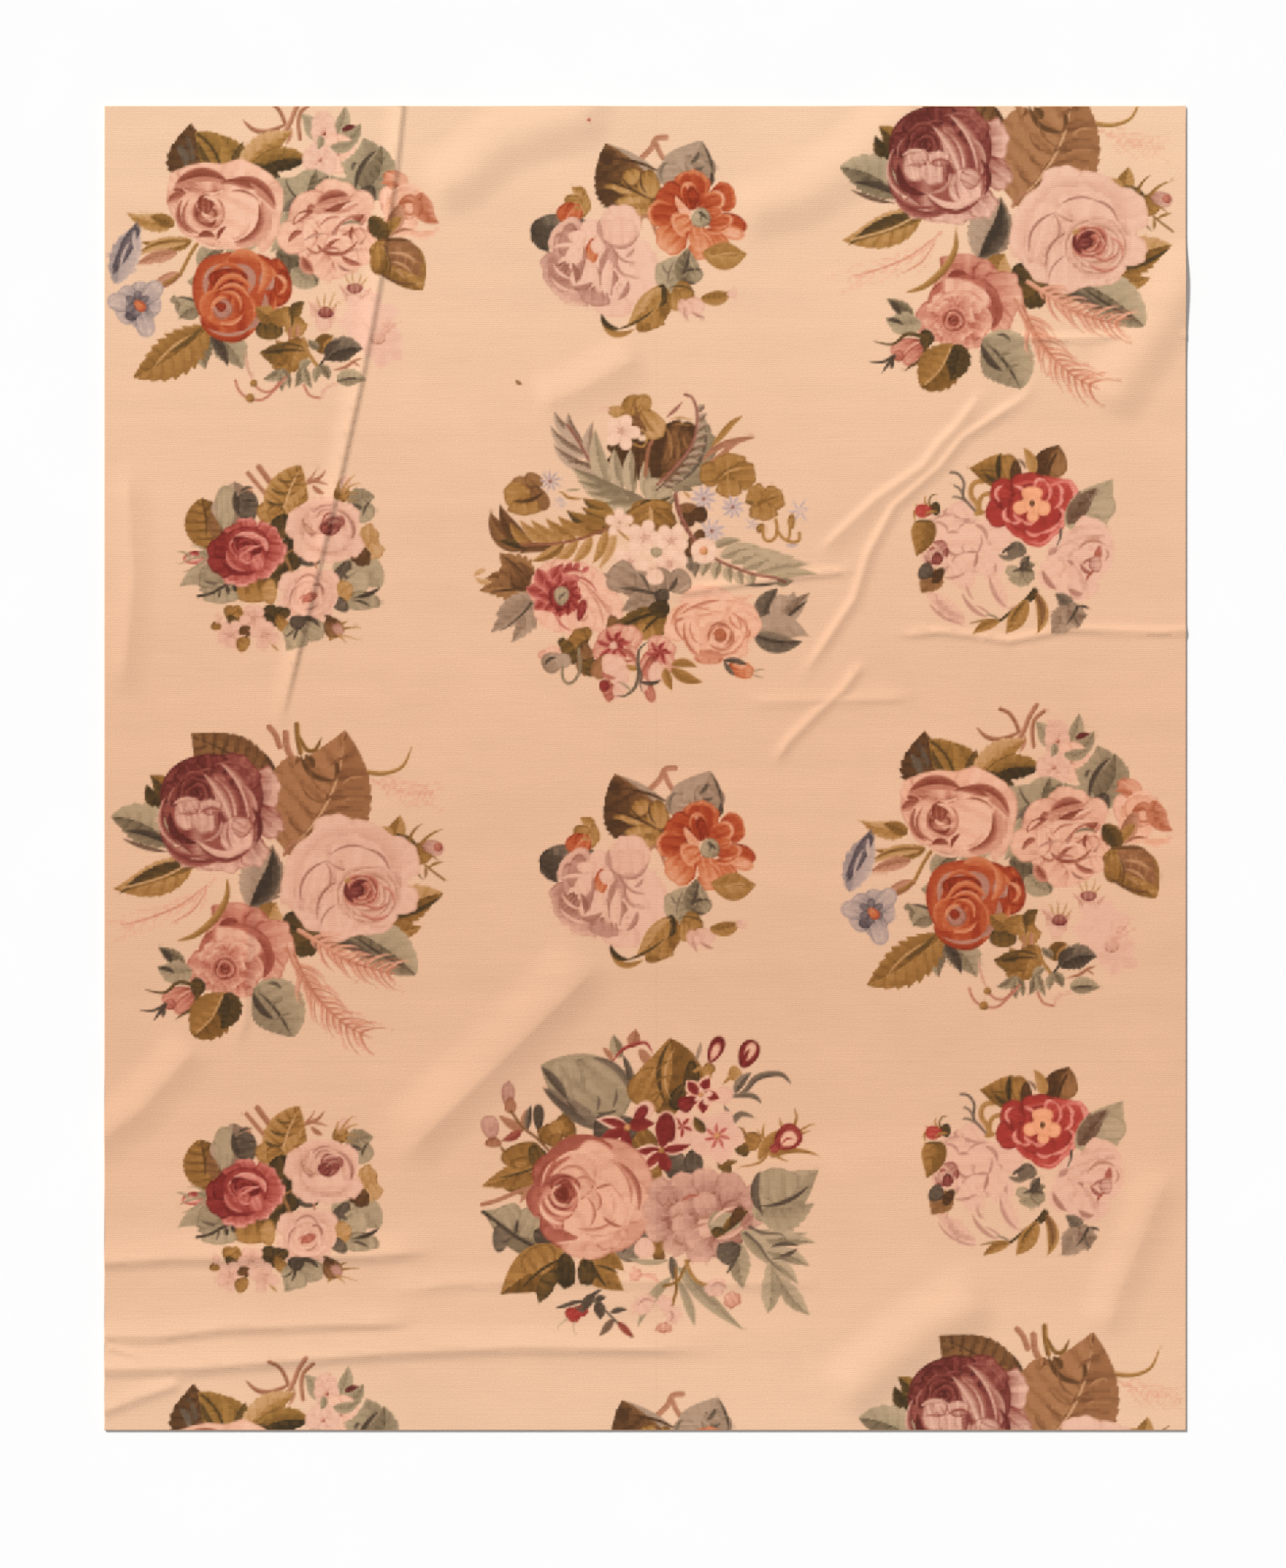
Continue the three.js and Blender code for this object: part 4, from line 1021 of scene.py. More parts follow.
# %% The foot of the peony bouquet
PEONY_AND_LEAVES += [
    # leaves and buds at the bottom left
    (leaf, 150, 402, 113, 378, 0, 20, "sage", (0.3, 0.5), (0.1, 0.5), {"teeth": 5}),
    (leaf, 160, 410, 112, 404, 6, 34, "sage", (0.7, 0.85), (0.5, 0.8), {"teeth": 5}),
    (stroke, 114, 408, 136, 414, 3, 6, "slate", 0.1, 0.2),
    (stroke, 118, 382, 132, 400, 2, 9, "slate", 0.2, 0.1),
    (petal, 140, 444, 44, 24, 8.4, "dusky", 0.3, 0.85),
    (petal, 154, 452, 46, 20, 7.6, "dusky", 0.2, 0.85),
    (stroke, 138, 452, 164, 436, 3, 4, "dusky", 0.95, 0.7),
    (ball, 130, 456, 16, "dusky", 0.3, 0.7),
    (petal, 168, 432, 20, 24, 9, "olive", 0.1, 0.3),
    (stem, [(168, 432), (142, 426), (122, 440), (96, 436)], 6, "olive", 0.2, 0.4, "tip"),
    (stem, [(166, 438), (164, 458), (146, 470), (138, 476)], 7, "olive", 0.4, 0.2, "tip"),
    (stem, [(124, 456), (108, 464), (90, 464)], 5, "slate", 0.1, 0.3, "tip"),
    (stem, [(122, 458), (108, 478)], 6, "slate", 0.1, 0.3, "tip"),
    (stroke, 120, 456, 120, 474, 1, 6, "slate", 0.1, 0.2),
    (leaf, 204, 440, 160, 498, 4, 60, "ochre", (0.1, 0.25), (0.5, 0.3),
     {"teeth": 8, "belly": 0.5, "tip": 0.6}),
    (leaf, 206, 440, 198, 490, 8, 34, "olive", (0.3, 0.2), (0.1, 0.2), {"teeth": 7}),
    (stem, [(200, 446), (186, 474), (166, 494)], 3, "ochre", 0.7, 0.8),
    (leaf, 244, 432, 296, 500, 8, 74, "sage", (0.7, 0.85), (0.6, 0.5),
     {"teeth": 10, "belly": 0.45, "depth": 0.07, "tip": 0.7}),
    (stroke, 242, 440, 270, 476, -5, 10, "slate", 0.3, 0.1),
    (stroke, 250, 440, 292, 496, 4, 4, "slate", 0.2, 0.1),
    (stroke, 262, 462, 282, 452, 3, 4, "sage", 0.3, 0.4),
    (stroke, 274, 478, 294, 468, 3, 4, "sage", 0.3, 0.4),
    (stroke, 262, 428, 280, 436, 4, 5, "slate", 0.3, 0.6),
    # coral feathers at the bottom right
    (sprig, [(296, 386), (310, 416), (334, 452), (366, 482), (400, 500)], 13, 44, "coral", 0.6, 6, 36),
    (sprig, [(297, 388), (311, 418), (335, 454), (367, 484), (401, 502)], 12, 48, "coral", 0.15, 2.6, 30),
    (sprig, [(308, 358), (336, 376), (376, 398), (436, 414)], 12, 40, "coral", 0.6, 6, 36),
    (sprig, [(309, 360), (337, 378), (377, 400), (437, 416)], 11, 44, "coral", 0.15, 2.6, 30),
    (stem, [(286, 380), (302, 412), (324, 444), (356, 476)], 5, "coral", 0.2, 0.6, "tip"),
    (stem, [(304, 356), (332, 374), (366, 394)], 6, "coral", 0.9, 0.4, "tip"),
]
print("peony and leaves in all", len(PEONY_AND_LEAVES), "rows")

# %% [markdown]
# The small bouquet in the middle also stands at both ends, cut off by the edge.
# Its stem and its two large leaves are laid first.

# %% The dahlia bouquet
# Columns: shape, its sizes in mm from the cartoon's corner, run of yarn, tones
DAHLIA_AND_LEAF = [
    # the forked stem
    (stem, [(211, 37), (198, 39), (191, 52), (176, 67)], 8, "terra", 0.7, 0.5),
    (stem, [(198, 46), (203, 58), (210, 68)], 7, "terra", 0.7, 0.4),
    (stem, [(186, 142), (178, 146), (172, 164)], 5, "terra", 0.6, 0.4),
    (stem, [(184, 141), (192, 150), (198, 166)], 5, "terra", 0.6, 0.3),
    # the large brown leaf with its turned edge
    (stroke, 132, 47, 198, 82, -5, 22, "taupe", 0.7, 0.85),
    (leaf, 207, 112, 130, 45, 0, 72, "umber", (0.4, 0.1), (0.5, 0.6),
     {"teeth": 14, "depth": 0.05, "veins": 4, "shift": -0.3, "belly": 0.5, "foot": 0.32, "tip": 0.64,
      "lop": 0.82}),
    (petal, 170, 126, 30, 50, 6, "ochre", 0.6, 0.3),
    (petal, 188, 100, 40, 30, 6, "ochre", 0.3, 0.75),
    (petal, 164, 90, 22, 30, 5, "ochre", 0.35, 0.75),
    (petal, 154, 106, 14, 50, 6.3, "ochre", 0.35, 0.85),
    (petal, 164, 121, 13, 42, 5.8, "ochre", 0.5, 0.85),
    (petal, 172, 137, 12, 28, 6, "ochre", 0.6, 0.8),
    (stroke, 114, 92, 192, 122, 4, 3.5, "umber", 0.05, 0.05),
    (stroke, 146, 82, 188, 118, -6, 3, "umber", 0.1, 0.1),
    (stroke, 178, 82, 186, 114, -5, 3, "umber", 0.1, 0.1),
    (stroke, 116, 112, 150, 116, 3, 10, "umber", 0.0, 0.1),
    (stroke, 122, 58, 132, 76, 3, 16, "umber", 0.05, 0.05),
    (stroke, 132, 66, 206, 86, 6, 4, "umber", 0.0, 0.0),
    # the grey heart leaf
    (leaf, 210, 106, 259, 41, -6, 64, "taupe", (0.85, 0.75), (0.7, 0.6),
     {"veins": 3, "shift": -0.12, "tip": 0.8, "belly": 0.4}),
    (petal, 256, 78, 44, 40, 4.5, "taupe", 0.65, 0.55),
    (petal, 216, 86, 36, 30, 9, "taupe", 0.8, 0.7),
    (stroke, 256, 56, 244, 72, 2, 6, "slate", 0.6, 0.3),
    (stroke, 260, 44, 274, 86, 3, 4, "slate", 0.2, 0.3),
    (stroke, 262, 76, 248, 78, 3, 5, "slate", 0.6, 0.4),
    (stroke, 272, 84, 266, 104, 4, 7, "slate", 0.2, 0.1),
    (stroke, 212, 70, 206, 96, -5, 4, "slate", 0.6, 0.8),
    (petal, 219, 105, 14, 12, 3, "slate", 0.1, 0.1),
]
print("dahlia and leaf so far", len(DAHLIA_AND_LEAF), "rows")

# %% [markdown]
# Each dahlia petal is a dark red egg under a lighter one, and the light edge is a rim. The
# bud and the dark leaf beside it follow.

# %% The dahlia
DAHLIA_AND_LEAF += [
    # the dahlia
    (petal, 287, 118, 36, 40, 2.5, "scarlet", 0.2, 0.4, 0.02, {"rim": 0.3}),
    (petal, 296, 152, 50, 26, 3.6, "scarlet", 0.2, 0.35, 0.0, {"point": 0.8}),
    (petal, 294, 164, 48, 18, 3.5, "scarlet", 0.7, 1.0),
    (petal, 246, 108, 54, 48, 12.1, "scarlet", 0.15, 0.3, 0.03, {"rim": 0.5}),
    (petal, 216, 120, 36, 48, 10, "scarlet", 0.15, 0.3, 0.03, {"rim": 0.1}),
    (petal, 208, 140, 44, 36, 9.2, "scarlet", 0.2, 0.3, 0.02, {"rim": 0.7}),
    (petal, 220, 172, 44, 44, 7.6, "scarlet", 0.2, 0.95, 0.03),
    (petal, 262, 184, 36, 40, 5.7, "scarlet", 0.2, 0.9, 0.03),
    (petal, 278, 176, 40, 26, 4.6, "scarlet", 0.25, 0.8, 0.03),
    (stroke, 234, 96, 242, 88, 3, 6, "scarlet", 0.3, 0.2),
    (petal, 272, 124, 38, 26, 2.2, "scarlet", 0.2, 0.45, 0.0, {"rim": 0.8}),
    (petal, 283, 150, 36, 17, 2.7, "scarlet", 0.25, 0.5, 0.0, {"rim": 0.7}),
    (stroke, 260, 160, 298, 154, -8, 6, "scarlet", 0.3, 0.98),
    (petal, 243, 116, 38, 22, 11.6, "scarlet", 0.15, 0.2, 0.0, {"rim": 0.9}),
    (stroke, 238, 100, 252, 132, 2, 8, "scarlet", 0.98, 0.9),
    (petal, 247, 118, 30, 14, 11.7, "scarlet", 0.1, 0.15),
    (stroke, 224, 116, 246, 140, -4, 10, "scarlet", 0.95, 0.9),
    (petal, 233, 154, 26, 36, 8, "scarlet", 0.65, 0.75, 0.0, {"rim": 0.3}),
    (stroke, 222, 148, 244, 144, 4, 5, "scarlet", 0.9, 0.4),
    (petal, 256, 172, 38, 28, 5.6, "scarlet", 0.6, 0.8, 0.02, {"rim": 0.25}),
    (stroke, 244, 164, 240, 174, -3, 4, "scarlet", 0.3, 0.3),
    (stroke, 258, 166, 274, 186, 3, 5, "scarlet", 0.95, 0.4),
    (petal, 277, 138, 20, 14, 2.5, "scarlet", 0.4, 0.6, 0.0, {"rim": 0.5}),
    (petal, 259, 146, 26, 27, 10, "sage", 0.45, 0.9),
    (stroke, 254, 138, 266, 148, 2, 4, "slate", 0.2, 0.3),
    (stroke, 258, 134, 258, 150, 1, 3, "slate", 0.3, 0.3),
    # the bud and dark leaf at the left
    (leaf, 104, 110, 83, 103, 3, 14, "ochre", (0.6, 0.8), (0.5, 0.4)),
    (leaf, 50, 148, 54, 192, -10, 28, "slate", (0.3, 0.2), (0.1, 0.3), {"teeth": 5, "foot": 0.3}),
    (petal, 46, 160, 36, 28, 8, "slate", 0.4, 0.15),
    (petal, 64, 150, 20, 44, 12, "slate", 0.5, 0.7),
    (leaf, 76, 152, 116, 164, 4, 16, "slate", (0.5, 0.4), (0.2, 0.1)),
    (petal, 94, 130, 32, 20, 5.4, "ochre", 0.6, 0.8, 0.0, {"rim": -0.3}),
    (petal, 103, 124, 28, 12, 5.6, "ochre", 0.5, 0.7),
    (petal, 86, 122, 24, 16, 9, "ochre", 0.6, 0.4),
    (petal, 78, 138, 30, 26, 7.2, "scarlet", 0.2, 0.5, 0.0, {"rim": 0.1}),
    (petal, 88, 138, 24, 22, 6.6, "scarlet", 0.7, 0.4),
    (stroke, 90, 128, 74, 150, -2, 5, "scarlet", 0.9, 0.2),
    (stroke, 86, 134, 96, 134, 2, 4, "ochre", 0.5, 0.6),
]
print("dahlia and leaf so far", len(DAHLIA_AND_LEAF), "rows")

# %% [markdown]
# Nearly half the rows of the mauve flower are strokes. They part its petals and turn their
# edges.

# %% The mauve flower
DAHLIA_AND_LEAF += [
    (petal, 164, 214, 110, 76, 5.3, "blush", 0.97, 1.0, 0.02, {"line": 0.06}),
    (petal, 138, 262, 36, 54, 6.4, "blush", 0.9, 1.0),
    (petal, 84, 240, 44, 58, 7, "mauve", 0.3, 0.95, 0.05, {"rim": 0.2}),
    (petal, 72, 214, 58, 56, 8.2, "mauve", 0.1, 0.5, 0.05, {"rim": 0.4}),
    (petal, 116, 252, 26, 40, 6.4, "mauve", 0.35, 0.7, 0.04),
    (petal, 78, 170, 40, 54, 10.5, "mauve", 0.35, 1.0, 0.02, {"rim": 0.3}),
    (petal, 72, 190, 26, 50, 8.8, "mauve", 0.3, 0.75),
    (petal, 80, 176, 26, 46, 9.5, "mauve", 0.35, 0.55),
    (stroke, 58, 186, 98, 184, 3, 6, "blush", 1.0, 0.9),
    (petal, 108, 164, 34, 26, 12.4, "blush", 0.9, 1.0),
    (petal, 92, 172, 18, 26, 12, "blush", 0.9, 1.0),
    (petal, 150, 158, 62, 52, 12.1, "blush", 0.88, 0.97, 0.03),
    (petal, 148, 166, 40, 46, 12, "blush", 0.8, 0.88),
    (stroke, 122, 146, 128, 180, -4, 8, "mauve", 0.5, 0.7),
    (stroke, 130, 178, 176, 162, -14, 6, "mauve", 0.85, 0.35),
    (stroke, 140, 184, 172, 206, -8, 4, "mauve", 0.6, 0.4),
    (stroke, 168, 186, 156, 198, 2, 5, "mauve", 0.5, 0.6),
    (stroke, 146, 190, 158, 226, -8, 5, "mauve", 0.4, 0.6),
    (stroke, 152, 218, 176, 224, -4, 4, "mauve", 0.6, 0.8),
    (petal, 90, 196, 40, 28, 6.6, "blush", 0.95, 1.0),
    (petal, 74, 206, 17, 16, 6, "blush", 0.98, 1.0),
    (petal, 126, 196, 46, 34, 5.5, "mauve", 0.45, 0.75),
    (petal, 112, 196, 56, 40, 6.2, "blush", 0.98, 0.9),
    (petal, 111, 190, 34, 18, 6.2, "scarlet", 0.35, 0.75, 0.0, {"rim": 0.0}),
    (petal, 118, 184, 20, 18, 12, "blush", 0.98, 1.0),
    (stroke, 100, 184, 96, 214, 3, 6, "mauve", 0.3, 0.5),
    (petal, 100, 222, 44, 34, 6.4, "blush", 0.95, 1.0),
    (stroke, 103, 200, 95, 230, -4, 10, "mauve", 0.25, 0.55),
    (stroke, 84, 206, 90, 234, 3, 8, "mauve", 0.15, 0.25),
    (stroke, 84, 238, 112, 232, -5, 9, "mauve", 0.5, 0.2),
    (petal, 128, 226, 44, 16, 6.8, "blush", 0.98, 0.95),
    (stroke, 118, 212, 122, 240, 3, 5, "mauve", 0.3, 0.4),
    (stroke, 139, 216, 136, 250, 5, 10, "mauve", 0.2, 0.6),
    (stroke, 134, 186, 127, 226, -5, 9, "mauve", 0.35, 0.5),
    (stroke, 136, 200, 130, 252, -6, 7, "blush", 1.0, 0.95),
    (stroke, 160, 230, 146, 256, 4, 8, "mauve", 0.3, 0.6),
    (stroke, 150, 228, 140, 256, -3, 5, "blush", 1.0, 1.0),
    (petal, 68, 216, 28, 18, 7.6, "mauve", 0.15, 0.5, 0.1),
    (stroke, 58, 206, 86, 228, -5, 4, "blush", 0.95, 0.9),
    (stroke, 56, 226, 92, 246, -5, 4, "blush", 0.95, 0.9),
]
print("dahlia and leaf so far", len(DAHLIA_AND_LEAF), "rows")

# %% [markdown]
# The lower leaves and the small buds end this bouquet, the one with the fewest rows.

# %% The foot of the dahlia bouquet
DAHLIA_AND_LEAF += [
    # grey green leaves at the lower right
    (leaf, 216, 246, 234, 196, 6, 40, "sage", (0.8, 0.9), (0.6, 0.7), {"veins": 4, "lop": 0.1}),
    (petal, 208, 216, 24, 18, 10, "sage", 0.8, 0.9),
    (leaf, 238, 238, 241, 185, 3, 34, "sage", (0.1, 0.35), (0.2, 0.6),
     {"veins": 4, "shift": 0.3, "foot": 0.5, "belly": 0.45, "lop": -0.2}),
    (petal, 250, 222, 22, 20, 4.6, "sage", 0.3, 0.7),
    (stroke, 232, 222, 260, 216, 4, 4, "slate", 0.2, 0.3),
    (stroke, 234, 226, 252, 234, -3, 4, "slate", 0.2, 0.4),
    (stroke, 242, 190, 232, 222, 3, 5, "slate", 0.2, 0.3),
    (stroke, 244, 196, 252, 216, -3, 3, "sage", 0.9, 0.8),
    (stroke, 206, 208, 216, 222, -2, 3, "slate", 0.6, 0.8),
    (stroke, 222, 204, 214, 236, -3, 3, "slate", 0.7, 0.9),
    (leaf, 260, 192, 321, 194, -4, 38, "ochre", (0.35, 0.45), (0.6, 0.4),
     {"veins": 3, "shift": 0.15, "belly": 0.5, "foot": 0.8}),
    (stroke, 270, 200, 312, 194, 3, 3, "ochre", 0.8, 0.7),
    # the lower leaf with the curled tip
    (leaf, 206, 236, 172, 298, 6, 42, "ochre", (0.35, 0.25), (0.3, 0.5),
     {"teeth": 6, "depth": 0.06, "belly": 0.4, "tip": 0.6}),
    (petal, 192, 280, 28, 34, 6.6, "ochre", 0.4, 0.55, 0.07),
    (petal, 205, 250, 30, 16, 6.2, "olive", 0.0, 0.4),
    (leaf, 202, 240, 158, 292, 3, 28, "ochre", (0.5, 0.6), (0.8, 0.7), {"veins": 4, "shift": -0.2}),
    (stroke, 180, 266, 206, 240, 3, 8, "ochre", 0.9, 0.6),
    (stroke, 124, 278, 168, 296, -16, 9, "ochre", 0.35, 0.6),
    (stroke, 124, 275, 148, 295, -7, 8, "olive", 0.0, 0.2),
    (stroke, 142, 297, 196, 268, -4, 4, "olive", 0.3, 0.3),
    # small buds
    (petal, 234, 250, 30, 38, 2.4, "ochre", 0.6, 0.4),
    (petal, 224, 256, 30, 18, 6, "ochre", 0.4, 0.7),
    (stroke, 216, 240, 250, 246, 5, 3, "olive", 0.3, 0.4),
    (petal, 250, 264, 28, 24, 4, "blush", 0.7, 0.98),
    (petal, 236, 266, 24, 20, 5, "blush", 0.6, 0.98),
    (stroke, 234, 264, 242, 286, -2, 5, "mauve", 0.6, 0.8),
    (stroke, 246, 272, 264, 280, -2, 4, "mauve", 0.4, 0.6),
    (leaf, 258, 253, 300, 245, -5, 20, "ochre", (0.3, 0.4), (0.5, 0.6), {"belly": 0.5}),
    (petal, 300, 248, 14, 12, 3, "blush", 0.8, 1.0),
]
print("dahlia and leaf in all", len(DAHLIA_AND_LEAF), "rows")

# %% [markdown]
# The upper bouquet of the middle line stands only once on the rug. It begins with a grey fern
# and a dark folded leaf under an arched rib.

# %% The ferns and the peach rose
# Columns: shape, its sizes in mm from the cartoon's corner, run of yarn, tones
FERNS_AND_PEACH_ROSE = [
    # the grey fern at the upper left
    (leaf, 180, 94, 148, 55, 6, 15, "taupe", (0.95, 1.0), (0.5, 0.2), {"veins": 0}),
    (leaf, 189, 104, 168, 56, 8, 16, "taupe", (0.95, 1.0), (0.5, 0.2), {"veins": 0}),
    (leaf, 194, 116, 142, 73, 9, 16, "taupe", (0.95, 1.0), (0.5, 0.2), {"veins": 0}),
    (leaf, 202, 134, 146, 99, 8, 16, "taupe", (0.95, 1.0), (0.5, 0.2), {"veins": 0}),
    (leaf, 216, 147, 164, 124, -5, 13, "taupe", (0.8, 0.9), (0.3, 0.1), {"veins": 0}),
    (leaf, 196, 126, 201, 68, 5, 15, "taupe", (0.9, 0.98), (0.6, 0.3), {"veins": 0}),
    (stroke, 178, 144, 232, 154, -2, 9, "sage", 0.9, 0.5),
    (stroke, 186, 158, 244, 164, -2, 10, "sage", 0.9, 0.6),
    (stem, [(166, 74), (180, 94), (190, 112), (201, 130)], 4, "mauve", 0.2, 0.0),
    (stroke, 172, 134, 214, 147, -2, 3, "mauve", 0.1, 0.1),
    # the dark folded leaf under its arched rib
    (leaf, 298, 158, 348, 60, -20, 52, "sage", (0.5, 0.6), (0.7, 0.4), {"teeth": 9, "depth": 0.3}),
    (stroke, 312, 154, 352, 76, -14, 6, "slate", 0.7, 0.3),
    (leaf, 276, 158, 312, 68, -14, 64, "umber", (0.1, 0.05), (0.5, 0.3),
     {"veins": 4, "shift": -0.3, "foot": 0.5, "tip": 0.5, "belly": 0.5, "lop": 0.35}),
    (petal, 326, 84, 30, 26, 2, "umber", 0.1, 0.0),
    (petal, 318, 100, 40, 36, 2, "umber", 0.2, 0.4),
    (petal, 306, 100, 70, 16, 12.6, "umber", 0.6, 0.4),
    (stroke, 300, 78, 306, 120, 2, 5, "umber", 0.9, 0.7),
    (stroke, 312, 84, 314, 128, 2, 5, "umber", 0.8, 0.6),
    (stroke, 322, 88, 330, 108, -2, 4, "umber", 0.8, 0.6),
    (petal, 250, 112, 58, 50, 9, "umber", 0.1, 0.0, 0.1),
    (petal, 262, 130, 36, 52, 6, "umber", 0.2, 0.1),
    (stroke, 236, 98, 242, 142, -2, 8, "umber", 0.1, 0.0),
    (leaf, 222, 160, 204, 78, 6, 24, "sage", (0.9, 0.98), (0.5, 0.8), {"veins": 0, "foot": 0.4}),
    (leaf, 240, 160, 230, 104, 4, 19, "sage", (0.95, 1.0), (0.5, 0.7), {"veins": 0, "foot": 0.4}),
    (leaf, 254, 166, 252, 104, 3, 20, "sage", (0.95, 0.98), (0.5, 0.7), {"veins": 0, "foot": 0.4}),
    (leaf, 272, 170, 270, 120, 0, 17, "sage", (0.9, 0.95), (0.4, 0.6), {"veins": 0, "foot": 0.4}),
    (stroke, 230, 116, 234, 150, -1, 3, "sage", 0.4, 0.5),
    (stroke, 258, 120, 256, 154, 1, 3, "umber", 0.0, 0.2),
    (leaf, 268, 172, 170, 130, 8, 19, "sage", (0.8, 0.98), (0.5, 0.3), {"veins": 0, "belly": 0.6}),
    (leaf, 276, 176, 178, 148, 7, 18, "sage", (0.85, 0.98), (0.55, 0.3), {"veins": 0, "belly": 0.6}),
    (leaf, 284, 180, 188, 164, 5, 17, "sage", (0.9, 1.0), (0.55, 0.3), {"veins": 0, "belly": 0.6}),
    (leaf, 292, 182, 208, 180, 3, 16, "sage", (0.9, 1.0), (0.6, 0.3), {"veins": 0, "belly": 0.6}),
    (leaf, 312, 170, 232, 188, 10, 20, "sage", (0.5, 0.3), (0.95, 1.0), {"veins": 0}),
    (petal, 282, 162, 34, 30, 12, "sage", 0.85, 0.95),
    (petal, 294, 164, 26, 26, 2, "sage", 0.8, 0.9),
    (stroke, 262, 178, 308, 170, -4, 5, "olive", 0.0, 0.3),
    (stroke, 238, 160, 250, 176, -2, 3, "sage", 0.6, 0.6),
    (stem, [(286, 84), (276, 104), (273, 122), (271, 142)], 5, "terra", 0.3, 0.1),
    (frond, [(286, 162), (310, 140), (331, 110), (340, 82), (341, 52)], 10, 27, 9, "taupe", (0.75, 0.9),
     (0.4, 0.2), {"sides": (-1,), "lean": 48}),
    (stem, [(325, 33), (335, 38), (341, 56), (340, 80), (332, 104), (312, 130), (288, 154)], 4,
     "mauve", 0.35, 0.0),
    (stroke, 321, 43, 299, 64, 1, 5, "mauve", 0.3, 0.2),
    (stroke, 305, 66, 334, 68, 3, 2, "ochre", 0.5, 0.6),
    (stroke, 306, 74, 334, 76, 2, 2, "ochre", 0.4, 0.6),
]
print("ferns and peach rose so far", len(FERNS_AND_PEACH_ROSE), "rows")

# %% [markdown]
# A round leaf is a wide petal, and a star lays all its rays in one row.

# %% Round leaves and stars
FERNS_AND_PEACH_ROSE += [
    # ochre leaf and white flowers above it
    (petal, 256, 56, 46, 36, 12.3, "ochre", 0.3, 0.5),
    (petal, 264, 52, 42, 24, 1, "ochre", 0.4, 0.65),
    (petal, 279, 72, 46, 32, 4.8, "ochre", 0.5, 0.85, 0.02),
    (petal, 262, 74, 30, 14, 5, "umber", 0.6, 0.3),
    (stroke, 256, 38, 274, 82, -4, 4, "umber", 0.6, 0.5),
    (stroke, 268, 60, 286, 86, -3, 3, "ochre", 0.2, 0.4),
    (petal, 232, 56, 16, 22, 12, "ochre", 0.6, 0.8, 0.05),
    (stroke, 206, 56, 224, 54, 2, 7, "blush", 0.9, 0.98),
    (stem, [(266, 80), (274, 90), (268, 103), (256, 100)], 3, "ochre", 0.6, 0.5),
    (blossom, 240, 84, 48, 5, 12.6, "pearl", 0.5, 1.0, None, 0.2, 0.36),
    (star, 238, 82, 14, 5, 1, "mauve", 0.4, 0.9, None, 0.2),
    # stems and round leaves at the right
    (stem, [(402, 62), (388, 72), (374, 88), (360, 104)], 9, "ochre", 0.6, 0.4, "both"),
    (stem, [(420, 90), (400, 94), (378, 100), (358, 112), (348, 124)], 9, "terra", 0.5, 0.3, "both"),
    (stem, [(394, 98), (376, 112), (352, 130)], 6, "terra", 0.7, 0.4),
    (stem, [(381, 104), (382, 124)], 6, "terra", 0.5, 0.4),
    (petal, 362, 140, 36, 34, 9, "ochre", 0.35, 0.5, 0.04),
    (petal, 386, 130, 36, 44, 12, "ochre", 0.4, 0.55, 0.04),
    (petal, 402, 142, 36, 38, 3, "ochre", 0.35, 0.5, 0.04),
    (petal, 384, 158, 28, 34, 6, "ochre", 0.4, 0.6, 0.04),
    (stroke, 362, 152, 398, 128, 3, 4, "ochre", 0.1, 0.2),
    (stroke, 374, 144, 404, 134, 4, 4, "ochre", 0.7, 0.7),
    (petal, 422, 170, 28, 32, 10, "ochre", 0.4, 0.6, 0.04),
    (petal, 442, 174, 32, 34, 2, "ochre", 0.4, 0.55, 0.04),
    (petal, 430, 190, 26, 38, 6, "ochre", 0.4, 0.6, 0.04),
    (stroke, 420, 186, 454, 170, 3, 3, "ochre", 0.1, 0.3),
    (stroke, 404, 178, 420, 180, 1, 3, "olive", 0.3, 0.5),
    (stroke, 322, 164, 332, 174, 1, 4, "ochre", 0.7, 0.7),
    # round leaf at the left
    (petal, 104, 160, 34, 30, 12, "umber", 0.5, 0.9, 0.02),
    (petal, 100, 168, 40, 34, 9, "ochre", 0.4, 0.6, 0.03),
    (petal, 120, 150, 22, 26, 1, "umber", 0.6, 0.8),
    (petal, 128, 172, 38, 22, 5, "umber", 0.5, 0.7),
    (petal, 108, 184, 24, 44, 6, "ochre", 0.4, 0.6, 0.04),
    (stroke, 92, 176, 134, 164, -6, 5, "umber", 0.1, 0.0),
    (stem, [(154, 164), (160, 166), (168, 172), (186, 174)], 4, "ochre", 0.6, 0.3, "both"),
    (stroke, 164, 162, 184, 160, -1, 4, "sage", 0.7, 0.9),
    # lilac stars
    (star, 143, 150, 36, 9, 12, "lilac", 0.3, 0.7, None, 0.1),
    (star, 156, 180, 24, 7, 12, "lilac", 0.5, 0.9, None, 0.12),
    (star, 350, 173, 42, 9, 1, "lilac", 0.4, 0.8, None, 0.14),
    (star, 389, 185, 38, 9, 1, "lilac", 0.4, 0.8, None, 0.14),
    (star, 361, 218, 44, 9, 1, "lilac", 0.5, 0.85, None, 0.14),
    (star, 479, 190, 36, 6, 1, "lilac", 0.5, 0.9, None, 0.12),
    (star, 416, 208, 22, 5, 3, "lilac", 0.4, 0.9, None, 0.16),
    (ball, 143, 150, 5, "mauve", 0.2, 0.4),
    (ball, 350, 174, 5, "mauve", 0.2, 0.4),
    (ball, 389, 185, 5, "mauve", 0.2, 0.4),
    (ball, 361, 217, 5, "mauve", 0.2, 0.4),
]
print("ferns and peach rose so far", len(FERNS_AND_PEACH_ROSE), "rows")

# %% [markdown]
# A fern is pairs of thin leaves on a rib. They're laid one by one, because they all differ
# in length and in shade.

